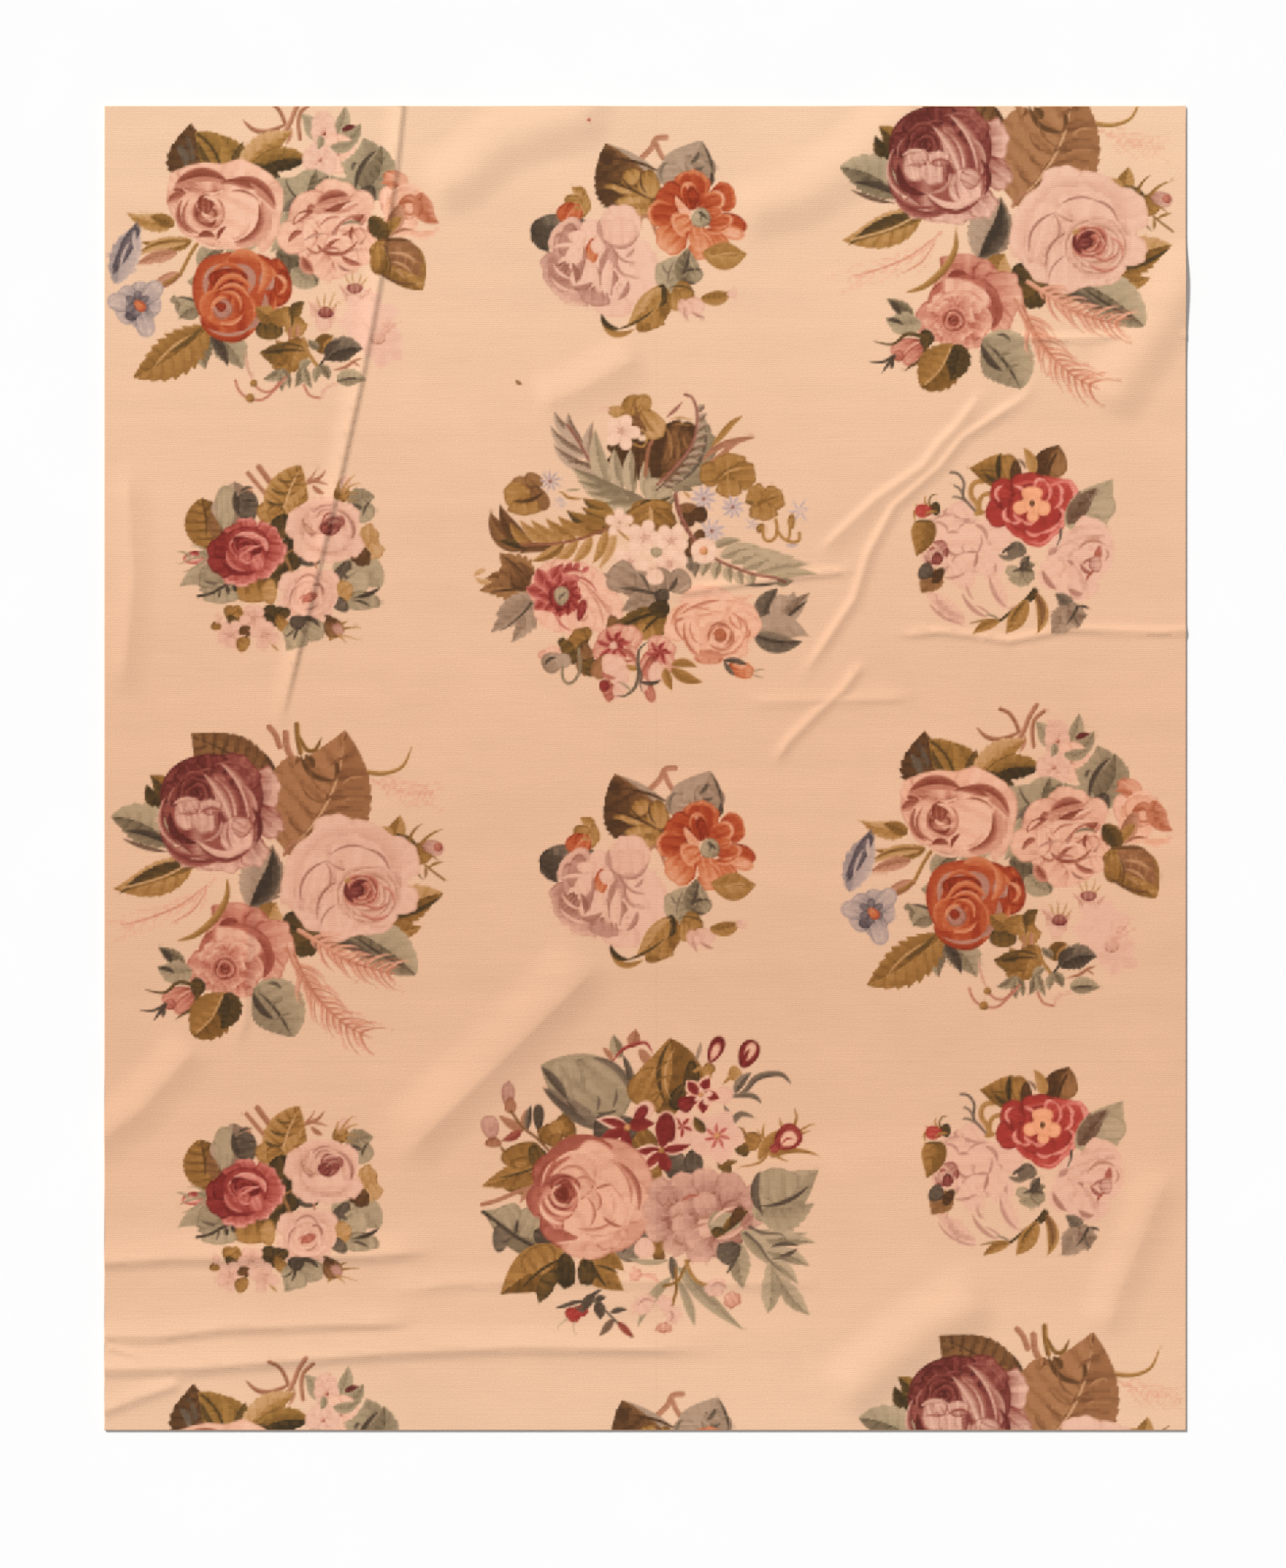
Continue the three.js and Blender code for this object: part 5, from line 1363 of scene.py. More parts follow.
# %% The ferns
FERNS_AND_PEACH_ROSE += [
    # ochre curls at the right
    (petal, 426, 213, 10, 14, 4, "ochre", 0.5, 0.3),
    (stem, [(430, 212), (431, 226), (438, 231), (446, 226), (449, 214), (447, 202)], 4.5, "ochre", 0.6, 0.5),
    (stem, [(449, 216), (456, 226), (468, 232), (478, 230), (479, 220)], 4.5, "ochre", 0.6, 0.5),
    (petal, 468, 204, 10, 20, 3, "ochre", 0.6, 0.5),
    (stem, [(466, 206), (466, 220), (464, 230)], 4, "ochre", 0.6, 0.5),
    (stroke, 460, 236, 478, 236, -1, 5, "lilac", 0.5, 0.6),
    # the ochre fern
    (leaf, 112, 238, 62, 190, 12, 30, "umber", (0.7, 0.4), (0.3, 0.5), {"veins": 0}),
    (leaf, 116, 236, 75, 180, 8, 22, "umber", (0.1, 0.2), (0.4, 0.3), {"veins": 0}),
    (leaf, 112, 240, 71, 230, -2, 12, "olive", (0.1, 0.1), (0.3, 0.4), {"veins": 0}),
    (leaf, 122, 236, 88, 204, 6, 14, "ochre", (0.5, 0.6), (0.3, 0.4), {"veins": 0}),
    (leaf, 150, 240, 100, 248, -5, 14, "umber", (0.3, 0.4), (0.1, 0.2), {"veins": 0}),
    (leaf, 228, 192, 186, 172, 3, 20, "olive", (0.4, 0.3), (0.7, 0.8), {"veins": 0}),
    (leaf, 252, 204, 184, 184, 6, 22, "olive", (0.5, 0.4), (0.8, 0.98), {"veins": 0}),
    (leaf, 226, 212, 164, 188, 7, 24, "olive", (0.3, 0.2), (0.7, 0.8), {"veins": 0}),
    (leaf, 214, 214, 170, 208, 2, 18, "ochre", (0.2, 0.3), (0.4, 0.3), {"veins": 0}),
    (leaf, 196, 222, 152, 196, 4, 16, "ochre", (0.5, 0.6), (0.3, 0.5), {"veins": 0}),
    (leaf, 178, 228, 136, 199, 4, 16, "ochre", (0.5, 0.6), (0.3, 0.5), {"veins": 0}),
    (leaf, 160, 232, 116, 201, 4, 16, "ochre", (0.6, 0.7), (0.4, 0.6), {"veins": 0}),
    (leaf, 142, 234, 101, 201, 4, 15, "ochre", (0.6, 0.7), (0.4, 0.6), {"veins": 0}),
    (leaf, 218, 216, 199, 262, 4, 15, "ochre", (0.4, 0.6), (0.6, 0.7), {"veins": 0}),
    (leaf, 230, 216, 206, 270, 5, 12, "ochre", (0.7, 0.8), (0.8, 0.9), {"veins": 0}),
    (leaf, 198, 224, 170, 262, 4, 15, "ochre", (0.5, 0.6), (0.7, 0.8), {"veins": 0}),
    (leaf, 180, 228, 140, 264, 4, 15, "ochre", (0.5, 0.6), (0.7, 0.8), {"veins": 0}),
    (leaf, 162, 232, 116, 258, 4, 15, "ochre", (0.2, 0.3), (0.6, 0.7), {"veins": 0}),
    (stem, [(221, 213), (204, 220), (182, 228), (150, 234), (104, 236)], 4, "terra", 0.2, 0.0),
    # ochre leaf in the middle, plum leaves beside it
    (petal, 280, 188, 28, 54, 12, "ochre", 0.3, 0.5),
    (petal, 266, 198, 40, 34, 8, "ochre", 0.5, 0.3, 0.03),
    (petal, 294, 202, 36, 34, 4.4, "ochre", 0.35, 0.2, 0.05),
    (stroke, 277, 182, 279, 212, 1, 5, "ochre", 0.9, 0.8),
    (stroke, 264, 182, 280, 176, 2, 4, "olive", 0.2, 0.2),
    (petal, 328, 190, 22, 28, 12, "umber", 0.4, 0.6),
    (petal, 344, 195, 22, 22, 3, "umber", 0.2, 0.05),
    (petal, 328, 202, 20, 20, 6, "umber", 0.1, 0.1),
    (petal, 344, 225, 16, 20, 3, "umber", 0.4, 0.2),
    (petal, 334, 240, 30, 20, 6, "umber", 0.5, 0.1),
    (stem, [(312, 168), (316, 190), (326, 212), (337, 230), (340, 246)], 6, "mauve", 0.2, 0.0),
    # the grey fern at the right
    (leaf, 362, 240, 402, 230, 4, 12, "sage", (0.7, 0.8), (0.5, 0.6), {"veins": 0}),
    (leaf, 372, 252, 428, 238, 3, 20, "sage", (0.95, 1.0), (0.55, 0.7), {"veins": 0}),
    (leaf, 386, 260, 456, 246, 4, 20, "sage", (0.95, 1.0), (0.55, 0.7), {"veins": 0}),
    (leaf, 402, 268, 474, 252, 4, 20, "sage", (0.95, 1.0), (0.55, 0.7), {"veins": 0}),
    (leaf, 420, 274, 494, 262, 5, 20, "sage", (0.95, 1.0), (0.55, 0.7), {"veins": 0}),
    (leaf, 436, 280, 506, 276, 5, 14, "sage", (0.85, 0.8), (0.6, 0.8), {"veins": 0}),
    (leaf, 448, 288, 472, 284, 0, 12, "sage", (0.6, 0.6), (0.4, 0.5), {"veins": 0}),
    (leaf, 360, 252, 348, 280, -3, 15, "sage", (0.4, 0.6), (0.85, 0.95), {"veins": 0}),
    (leaf, 372, 258, 366, 284, -3, 15, "sage", (0.4, 0.6), (0.85, 0.95), {"veins": 0}),
    (leaf, 384, 264, 388, 288, -3, 15, "sage", (0.4, 0.6), (0.85, 0.95), {"veins": 0}),
    (leaf, 398, 270, 404, 290, -3, 15, "sage", (0.4, 0.6), (0.85, 0.95), {"veins": 0}),
    (leaf, 414, 274, 418, 290, -2, 15, "sage", (0.4, 0.6), (0.85, 0.95), {"veins": 0}),
    (leaf, 332, 252, 334, 274, -2, 11, "slate", (0.7, 0.6), (0.9, 0.8), {"veins": 0}),
    (leaf, 344, 256, 338, 282, -2, 9, "slate", (0.7, 0.6), (0.9, 0.8), {"veins": 0}),
    (stroke, 404, 290, 454, 286, -2, 4, "slate", 0.4, 0.6),
    (stem, [(354, 246), (372, 258), (396, 268), (420, 276), (444, 280), (460, 286)], 4, "mauve", 0.2, 0.0),
]
print("ferns and peach rose so far", len(FERNS_AND_PEACH_ROSE), "rows")

# %% [markdown]
# The white flowers are blossoms and stars again. The serrated leaves get their saw edge from
# the option for teeth.

# %% White flowers and toothed leaves
FERNS_AND_PEACH_ROSE += [
    # white flowers in the middle
    (blossom, 236, 206, 38, 5, 12, "pearl", 0.55, 1.0, None, 0.2, 0.36),
    (stroke, 232, 214, 252, 232, 0, 3.5, "ochre", 0.6, 0.6),
    (blossom, 250, 260, 50, 5, 1, "pearl", 0.5, 1.0, None, 0.2, 0.36),
    (blossom, 304, 262, 48, 5, 12, "pearl", 0.5, 1.0, None, 0.2, 0.36),
    (blossom, 270, 226, 48, 5, 12.6, "pearl", 0.5, 1.0, None, 0.2, 0.36),
    (blossom, 306, 230, 46, 5, 1.2, "pearl", 0.5, 1.0, None, 0.2, 0.36),
    (petal, 284, 276, 26, 30, 6, "pearl", 0.5, 0.9),
    (petal, 286, 246, 14, 16, 12, "sage", 0.7, 0.9),
    (star, 250, 260, 16, 5, 12, "mauve", 0.4, 0.9, None, 0.16),
    (star, 304, 262, 16, 5, 12, "mauve", 0.4, 0.9, None, 0.16),
    (star, 270, 227, 16, 5, 12, "mauve", 0.5, 0.9, None, 0.16),
    (star, 306, 231, 16, 5, 12, "mauve", 0.5, 0.9, None, 0.16),
    (blossom, 350, 244, 34, 5, 12, "pearl", 0.6, 0.98, "gold", 0.34, 0.6),
    # serrated leaves at the left
    (leaf, 122, 282, 74, 246, 3, 40, "umber", (0.6, 0.8), (0.7, 0.9), {"teeth": 6, "depth": 0.3}),
    (leaf, 124, 292, 54, 282, -6, 32, "umber", (0.9, 0.7), (0.4, 0.6), {"teeth": 7, "depth": 0.3}),
    (leaf, 124, 300, 46, 298, -6, 34, "umber", (0.98, 0.8), (0.6, 0.8), {"teeth": 8, "depth": 0.3}),
    (petal, 104, 278, 40, 34, 5, "umber", 0.6, 0.2),
    (stroke, 40, 278, 56, 270, 2, 7, "ochre", 0.9, 0.9),
    (stroke, 42, 280, 64, 286, -3, 7, "ochre", 0.9, 0.8),
    (stroke, 60, 300, 122, 294, 1, 4, "umber", 0.1, 0.1),
    (stroke, 78, 250, 116, 286, 2, 4, "umber", 0.1, 0.1),
    (leaf, 124, 306, 68, 332, -4, 24, "taupe", (0.5, 0.6), (0.7, 0.8), {"teeth": 6, "depth": 0.3}),
    (leaf, 124, 312, 62, 355, -3, 28, "taupe", (0.6, 0.8), (0.5, 0.6), {"teeth": 7, "depth": 0.3}),
    (leaf, 122, 316, 90, 368, 3, 26, "taupe", (0.7, 0.9), (0.5, 0.6), {"teeth": 6, "depth": 0.3}),
    (leaf, 116, 322, 124, 350, -3, 18, "taupe", (0.6, 0.7), (0.7, 0.8), {"veins": 0}),
    (stem, [(124, 304), (110, 324), (88, 344), (74, 352)], 4, "slate", 0.3, 0.3, "tip"),
]
print("ferns and peach rose so far", len(FERNS_AND_PEACH_ROSE), "rows")

# %% [markdown]
# The pink flower is petals first and then the strokes that shade them. The grey leaves in
# the middle come after it, so they lie in front.

# %% The pink flower
FERNS_AND_PEACH_ROSE += [
    # the pink flower
    (petal, 146, 292, 60, 62, 10, "rose", 0.6, 0.9, 0.02),
    (petal, 194, 296, 60, 84, 1.2, "rose", 0.85, 0.95, 0.02),
    (petal, 210, 324, 62, 56, 4, "rose", 0.85, 0.98, 0.02),
    (petal, 152, 326, 54, 60, 7, "rose", 0.8, 0.98, 0.02),
    (petal, 178, 336, 44, 50, 5.6, "rose", 0.75, 0.98, 0.02),
    (petal, 170, 276, 38, 60, 12.6, "rose", 0.8, 0.95, 0.02),
    (petal, 170, 300, 50, 60, 3, "rose", 0.8, 0.9),
    (stroke, 144, 280, 150, 266, 1, 8, "madder", 0.5, 0.7),
    (stroke, 152, 278, 160, 261, 1, 9, "madder", 0.4, 0.6),
    (stroke, 164, 274, 172, 260, 1, 9, "madder", 0.4, 0.6),
    (stroke, 176, 272, 182, 260, 1, 9, "madder", 0.5, 0.7),
    (stroke, 186, 274, 196, 266, 1, 7, "madder", 0.6, 0.8),
    (stroke, 146, 282, 186, 272, 7, 6, "madder", 0.3, 0.6),
    (stroke, 124, 292, 150, 276, 5, 5, "madder", 0.7, 0.5),
    (stroke, 150, 330, 172, 352, -4, 3, "madder", 0.6, 0.8),
    (stroke, 204, 306, 228, 340, 5, 3, "rose", 0.5, 0.7),
    (stroke, 192, 296, 214, 348, 6, 3, "rose", 0.4, 0.7),
    (stroke, 126, 284, 148, 284, 1, 5, "madder", 0.5, 0.4),
    (stroke, 150, 276, 172, 296, -2, 8, "rose", 0.98, 0.95),
    (stroke, 160, 276, 184, 292, 2, 5, "rose", 0.98, 0.8),
    (stroke, 176, 280, 224, 334, 5, 4, "rose", 0.4, 0.7),
    (stroke, 168, 280, 206, 300, 8, 3, "madder", 0.4, 0.7),
    (petal, 154, 300, 56, 58, 12, "madder", 0.35, 0.9, 0.08),
    (star, 145, 297, 78, 7, 12.6, "madder", 0.35, 0.9, None, 0.3),
    (star, 156, 304, 66, 8, 12.1, "madder", 0.3, 0.85, None, 0.3),
    (star, 162, 308, 52, 9, 12.3, "madder", 0.2, 0.6, None, 0.3),
    (petal, 157, 308, 34, 32, 12, "madder", 0.2, 0.35, 0.06),
    (petal, 158, 305, 26, 20, 12, "sage", 0.6, 0.9),
    (stroke, 154, 310, 164, 300, 1, 4, "slate", 0.6, 0.7),
    (petal, 185, 324, 30, 12, 12.5, "madder", 0.25, 0.5),
    (stroke, 182, 338, 194, 330, -3, 4, "rose", 0.4, 0.6),
    # grey leaves in the middle
    (leaf, 304, 300, 213, 274, 6, 40, "taupe", (0.4, 0.55), (0.5, 0.7), {"veins": 4, "lop": -0.2}),
    (petal, 240, 280, 40, 44, 10, "taupe", 0.5, 0.7, 0.02),
    (leaf, 300, 304, 238, 326, -4, 34, "taupe", (0.6, 0.8), (0.5, 0.7), {"veins": 4}),
    (petal, 316, 286, 34, 34, 2, "taupe", 0.5, 0.7),
    (petal, 290, 286, 40, 34, 12, "taupe", 0.4, 0.6),
    (petal, 284, 278, 24, 24, 6, "pearl", 0.5, 0.9),
    (stroke, 236, 294, 300, 306, 2, 5, "slate", 0.3, 0.2),
    (stroke, 302, 298, 314, 280, -2, 6, "slate", 0.2, 0.4),
    (stroke, 262, 274, 276, 298, 3, 4, "slate", 0.4, 0.3),
    (petal, 294, 304, 20, 20, 7, "slate", 0.4, 0.2),
]
print("ferns and peach rose so far", len(FERNS_AND_PEACH_ROSE), "rows")

# %% [markdown]
# The peach rose is nearly all strokes, on a few petals. Its leaves are laid before it, so
# they seem to grow from under it.

# %% The peach rose
FERNS_AND_PEACH_ROSE += [
    # the ochre leaf beside the peach rose
    (leaf, 300, 322, 214, 352, 5, 36, "olive", (0.4, 0.6), (0.3, 0.5), {"teeth": 5}),
    (petal, 282, 340, 44, 42, 7, "olive", 0.4, 0.9, 0.03),
    (petal, 266, 352, 24, 44, 6, "ochre", 0.4, 0.6, 0.03),
    (petal, 290, 322, 28, 24, 3, "olive", 0.2, 0.1),
    (stroke, 240, 346, 296, 326, 3, 5, "olive", 0.0, 0.1),
    (stroke, 268, 354, 294, 330, 2, 4, "olive", 0.1, 0.1),
    (petal, 228, 346, 18, 30, 9, "umber", 0.5, 0.6, 0.04),
    # leaves at the right of the peach rose
    (leaf, 430, 342, 450, 294, 6, 30, "slate", (0.5, 0.7), (0.3, 0.4), {"veins": 3}),
    (petal, 456, 330, 54, 34, 12, "taupe", 0.7, 0.9, 0.02),
    (leaf, 462, 340, 472, 298, 0, 26, "taupe", (0.7, 0.8), (0.6, 0.8), {"veins": 0}),
    (leaf, 458, 344, 494, 300, 3, 22, "taupe", (0.3, 0.5), (0.7, 0.8), {"veins": 3}),
    (stroke, 460, 338, 490, 312, 2, 5, "slate", 0.2, 0.2),
    (leaf, 416, 352, 492, 360, 10, 36, "taupe", (0.9, 0.8), (0.8, 0.7), {"veins": 3}),
    (leaf, 418, 356, 484, 366, -8, 28, "slate", (0.7, 0.9), (0.5, 0.7), {"veins": 5}),
    (stroke, 418, 356, 480, 366, -6, 6, "slate", 0.1, 0.2),
    # the peach rose
    (stroke, 317, 329, 418, 305, 4, 7, "peach", 0.8, 0.5),
    (petal, 361, 338, 89, 98, 1, "peach", 0.92, 0.98, 0.02),
    (petal, 321, 342, 44, 53, 10, "peach", 0.9, 1.0, 0.02),
    (petal, 400, 340, 53, 53, 2, "peach", 0.85, 0.95, 0.02),
    (petal, 371, 366, 57, 80, 6, "peach", 0.85, 0.9, 0.02),
    (petal, 357, 387, 20, 39, 6, "peach", 0.35, 0.45, 0.02),
    (stroke, 307, 343, 330, 315, 4, 8, "peach", 0.15, 0.8),
    (stroke, 317, 331, 375, 310, 4, 5, "coral", 0.1, 0.65),
    (stroke, 375, 312, 418, 322, 3, 4, "peach", 0.9, 0.5),
    (stroke, 310, 343, 325, 335, 2, 5, "coral", 0.1, 0.45),
    (stroke, 326, 338, 348, 389, -8, 11, "peach", 0.9, 0.5),
    (stroke, 323, 342, 346, 387, -8, 4, "coral", 0.1, 0.25),
    (stroke, 319, 335, 389, 322, -2, 4, "peach", 0.35, 0.8),
    (stroke, 344, 377, 371, 389, -3, 9, "peach", 0.35, 0.4),
    (stroke, 371, 386, 406, 359, -9, 6, "peach", 0.25, 0.9),
    (stroke, 362, 379, 397, 356, -8, 5, "peach", 0.9, 0.4),
    (stroke, 386, 328, 411, 358, 5, 5, "peach", 0.15, 0.9),
    (stroke, 384, 331, 400, 350, -4, 4, "peach", 0.15, 0.5),
    (stroke, 393, 324, 424, 340, 5, 4, "peach", 0.9, 0.5),
    (stroke, 411, 350, 406, 361, 3, 4, "peach", 0.15, 0.5),
    (petal, 371, 359, 37, 41, 12, "peach", 0.85, 0.9),
    (stroke, 357, 366, 366, 347, 4, 5, "coral", 0.1, 0.25),
    (stroke, 366, 347, 388, 352, 4, 4, "coral", 0.1, 0.35),
    (stroke, 388, 352, 380, 375, 5, 5, "coral", 0.1, 0.45),
    (stroke, 382, 375, 359, 370, 4, 4, "coral", 0.1, 0.45),
    (petal, 371, 358, 20, 18, 2, "peach", 0.0, 0.15),
    (stroke, 362, 361, 379, 366, -4, 4, "peach", 0.9, 0.9),
    (stroke, 364, 356, 371, 366, -3, 4, "peach", 0.95, 0.9),
    (stroke, 312, 332, 326, 366, -6, 4, "coral", 0.15, 0.45),
    (stroke, 326, 322, 360, 326, 3, 3, "coral", 0.25, 0.65),
    (stroke, 332, 340, 346, 372, -6, 3, "coral", 0.15, 0.55),
    (stroke, 388, 326, 400, 352, 4, 3, "coral", 0.25, 0.55),
    (stroke, 404, 334, 402, 366, 5, 3, "coral", 0.25, 0.65),
    (stroke, 350, 378, 384, 382, -4, 4, "coral", 0.25, 0.35),
    (stroke, 356, 352, 384, 346, 7, 4, "coral", 0.0, 0.15),
    (stroke, 386, 350, 378, 372, 4, 4, "coral", 0.0, 0.25),
    (stroke, 364, 358, 380, 362, -5, 5, "coral", 0.0, 0.05),
]
print("ferns and peach rose so far", len(FERNS_AND_PEACH_ROSE), "rows")

# %% [markdown]
# Buds, small flowers and leaves end the bouquet, and the red bud is laid last.

# %% The foot of the fern bouquet
FERNS_AND_PEACH_ROSE += [
    # leaves, buds and flowers at the foot
    (petal, 190, 358, 24, 16, 12.6, "ochre", 0.3, 0.4, 0.04),
    (petal, 180, 366, 26, 36, 10, "ochre", 0.3, 0.4, 0.04),
    (petal, 166, 376, 18, 34, 8, "olive", 0.5, 0.4, 0.04),
    (stroke, 176, 386, 196, 362, 2, 8, "olive", 0.4, 0.2),
    (petal, 190, 390, 44, 24, 6, "umber", 0.5, 0.7, 0.03),
    (petal, 196, 400, 26, 24, 4, "olive", 0.5, 0.3, 0.03),
    (petal, 174, 388, 18, 10, 6, "olive", 0.5, 0.3),
    (petal, 136, 384, 20, 12, 9, "rose", 0.5, 0.8),
    (petal, 146, 382, 20, 22, 12, "rose", 0.7, 0.98),
    (petal, 146, 394, 30, 28, 8, "taupe", 0.8, 0.5),
    (petal, 158, 392, 26, 20, 3, "taupe", 0.8, 0.9),
    (stroke, 136, 398, 150, 388, 3, 4, "slate", 0.1, 0.3),
    (stem, [(181, 376), (183, 400), (178, 416), (168, 423), (160, 416), (159, 400)], 4, "sage", 0.5, 0.4),
    (petal, 230, 366, 42, 50, 11, "dusky", 0.6, 0.9, 0.02),
    (petal, 248, 364, 40, 34, 1, "dusky", 0.75, 0.95, 0.02),
    (petal, 220, 378, 40, 34, 8, "dusky", 0.6, 0.9, 0.02),
    (petal, 242, 386, 40, 40, 5, "dusky", 0.7, 0.95, 0.02),
    (star, 228, 372, 54, 7, 1, "madder", 0.3, 0.9, None, 0.16),
    (star, 231, 368, 32, 6, 12.4, "madder", 0.15, 0.6, None, 0.2),
    (stroke, 224, 384, 256, 392, -4, 4, "dusky", 0.3, 0.5),
    (ball, 228, 372, 11, "blush", 0.8, 0.9),
    (stroke, 238, 376, 258, 394, 3, 7, "dusky", 0.3, 0.6),
    (petal, 212, 400, 36, 24, 7, "copper", 0.2, 0.5, 0.03),
    (petal, 232, 404, 34, 48, 8, "blush", 0.92, 1.0, 0.02),
    (stroke, 210, 408, 232, 416, -2, 6, "dusky", 0.4, 0.6),
    (stroke, 246, 398, 262, 402, -2, 8, "ochre", 0.6, 0.5),
    (petal, 292, 376, 34, 40, 1, "dusky", 0.8, 0.95, 0.02),
    (petal, 296, 394, 34, 30, 5, "dusky", 0.75, 0.95, 0.02),
    (petal, 280, 392, 44, 28, 7, "dusky", 0.6, 0.9, 0.02),
    (star, 289, 382, 42, 6, 1, "madder", 0.3, 0.9, None, 0.16),
    (star, 291, 380, 26, 5, 12.3, "madder", 0.15, 0.6, None, 0.2),
    (petal, 276, 404, 40, 18, 6.6, "dusky", 0.3, 0.7),
    (petal, 286, 408, 30, 22, 6, "blush", 0.9, 1.0),
    (petal, 222, 432, 18, 30, 8.6, "dusky", 0.4, 0.6, 0.02),
    (petal, 216, 426, 14, 16, 9, "madder", 0.2, 0.4),
    (petal, 236, 430, 18, 26, 4, "blush", 0.8, 1.0),
    (petal, 276, 432, 34, 14, 5.4, "dusky", 0.4, 0.7),
    (petal, 270, 424, 18, 10, 6, "blush", 0.8, 1.0),
    (stem, [(276, 366), (264, 376), (261, 392), (262, 412), (256, 430), (242, 440), (232, 438)], 5,
     "slate", 0.7, 0.4, "both"),
    (stem, [(261, 396), (266, 412), (264, 424), (268, 436)], 3.5, "slate", 0.5, 0.4, "tip"),
    (stroke, 264, 420, 292, 418, -4, 6, "slate", 0.2, 0.3),
    (stroke, 234, 420, 254, 436, 2, 3, "sage", 0.6, 0.6),
    (leaf, 306, 398, 342, 402, 5, 12, "ochre", (0.4, 0.5), (0.3, 0.4), {"veins": 0}),
    (leaf, 306, 402, 350, 421, -4, 16, "ochre", (0.4, 0.5), (0.3, 0.4), {"veins": 0}),
    (leaf, 298, 402, 308, 433, -2, 13, "ochre", (0.3, 0.4), (0.5, 0.6), {"veins": 0}),
    # the red bud
    (petal, 400, 404, 36, 22, 3.6, "scarlet", 0.3, 0.9, 0.03),
    (petal, 398, 398, 26, 12, 3.4, "scarlet", 0.8, 0.98),
    (stroke, 376, 392, 408, 398, 3, 8, "slate", 0.5, 0.2),
    (stroke, 378, 392, 392, 412, -2, 7, "slate", 0.7, 0.3),
    (stroke, 414, 408, 432, 404, 1, 2, "sage", 0.4, 0.6),
    (stroke, 414, 412, 430, 416, 1, 2, "sage", 0.4, 0.6),
]
print("ferns and peach rose in all", len(FERNS_AND_PEACH_ROSE), "rows")

# %% [markdown]
# The lower bouquet stands once, too. Its upper leaves, stems and ring shaped buds are laid
# first.

# %% The great rose and the carnation
# Columns: shape, its sizes in mm from the cartoon's corner, run of yarn, tones
ROSE_AND_CARNATION = [
    # the grey ribbed leaf
    (leaf, 230, 222, 130, 138, -4, 92, "sage", (0.7, 0.6), (0.6, 0.75),
     {"veins": 3, "lop": -0.3, "belly": 0.45, "foot": 0.4, "tip": 0.8, "shift": 0.08}),
    (petal, 208, 168, 96, 78, 4.4, "sage", 0.75, 0.65, 0.01),
    (petal, 164, 148, 40, 44, 12, "sage", 0.7, 0.85, 0.05),
    (leaf, 214, 222, 136, 166, 4, 26, "slate", (0.7, 0.6), (0.8, 0.9), {"veins": 0}),
    (stroke, 131, 140, 166, 184, 2, 12, "slate", 0.6, 0.2),
    (stroke, 133, 168, 192, 214, -4, 10, "slate", 0.3, 0.5),
    (stroke, 165, 184, 180, 200, -2, 3, "slate", 0.2, 0.2),
    (stroke, 200, 128, 250, 176, 12, 10, "slate", 0.5, 0.8),
    (stroke, 207, 178, 206, 200, 2, 4, "slate", 0.5, 0.6),
    (stroke, 231, 170, 226, 196, 3, 4, "slate", 0.5, 0.6),
    (stroke, 204, 202, 234, 198, -3, 4, "slate", 0.3, 0.4),
    (stroke, 178, 132, 186, 176, 3, 6, "sage", 0.5, 0.6),
    (stroke, 154, 136, 172, 176, 3, 6, "sage", 0.5, 0.6),
    # arched stems at the top
    (leaf, 238, 128, 228, 95, 2, 18, "sage", (0.75, 0.8), (0.3, 0.4), {"veins": 0}),
    (stroke, 241, 124, 256, 176, 2, 10, "slate", 0.7, 0.2),
    (leaf, 252, 114, 258, 88, -1, 18, "terra", (0.5, 0.6), (0.3, 0.4), {"veins": 0}),
    (stroke, 214, 114, 228, 133, 1, 8, "terra", 0.6, 0.4),
    (stroke, 262, 116, 276, 140, 2, 14, "terra", 0.6, 0.4),
    (stem, [(227, 133), (239, 118), (256, 110), (272, 108), (281, 122)], 5, "madder", 0.6, 0.2, "both"),
    # the ochre leaf
    (leaf, 286, 202, 303, 101, -12, 92, "ochre", (0.5, 0.45), (0.15, 0.25),
     {"veins": 4, "shift": -0.16, "belly": 0.42, "tip": 0.9}),
    (petal, 272, 166, 56, 44, 7, "ochre", 0.5, 0.4),
    (petal, 334, 156, 50, 22, 6, "olive", 0.3, 0.2),
    (petal, 318, 180, 40, 24, 7, "olive", 0.4, 0.1),
    (stroke, 304, 106, 300, 192, -13, 6, "olive", 0.2, 0.2),
    (stroke, 311, 116, 306, 186, -11, 3, "ochre", 0.9, 0.8),
    (stroke, 284, 150, 308, 130, 3, 3, "ochre", 0.2, 0.3),
    (stroke, 276, 168, 306, 152, 3, 3, "ochre", 0.2, 0.3),
    (stroke, 276, 184, 300, 172, 3, 3, "ochre", 0.2, 0.3),
    # ring shaped buds at the top right
    (stroke, 346, 107, 339, 132, 1, 6, "taupe", 0.7, 0.6),
    (petal, 357, 143, 16, 16, 1, "ochre", 0.7, 0.4),
    (stem, [(338, 146), (346, 142), (352, 150)], 5, "ochre", 0.6, 0.5),
    (stroke, 358, 144, 358, 162, 1, 4, "ochre", 0.5, 0.6),
    (petal, 366, 117, 38, 20, 12.8, "madder", 0.3, 0.1, 0.0),
    (petal, 365, 120, 24, 10, 12.8, "rose", 0.8, 0.98),
    (petal, 392, 150, 18, 22, 2, "ochre", 0.6, 0.8),
    (stroke, 376, 164, 394, 148, 1, 5, "ochre", 0.6, 0.5),
    (petal, 410, 123, 40, 27, 12.8, "madder", 0.1, 0.2),
    (petal, 412, 120, 26, 14, 12.8, "rose", 0.7, 0.98),
    (stroke, 403, 136, 412, 116, 1, 5, "madder", 0.1, 0.2),
]
print("rose and carnation so far", len(ROSE_AND_CARNATION), "rows")

# %% [markdown]
# Two kinds of star stand in this bouquet. Ribbon leaves and dark leaves are laid before
# them, so that the stars stand out.

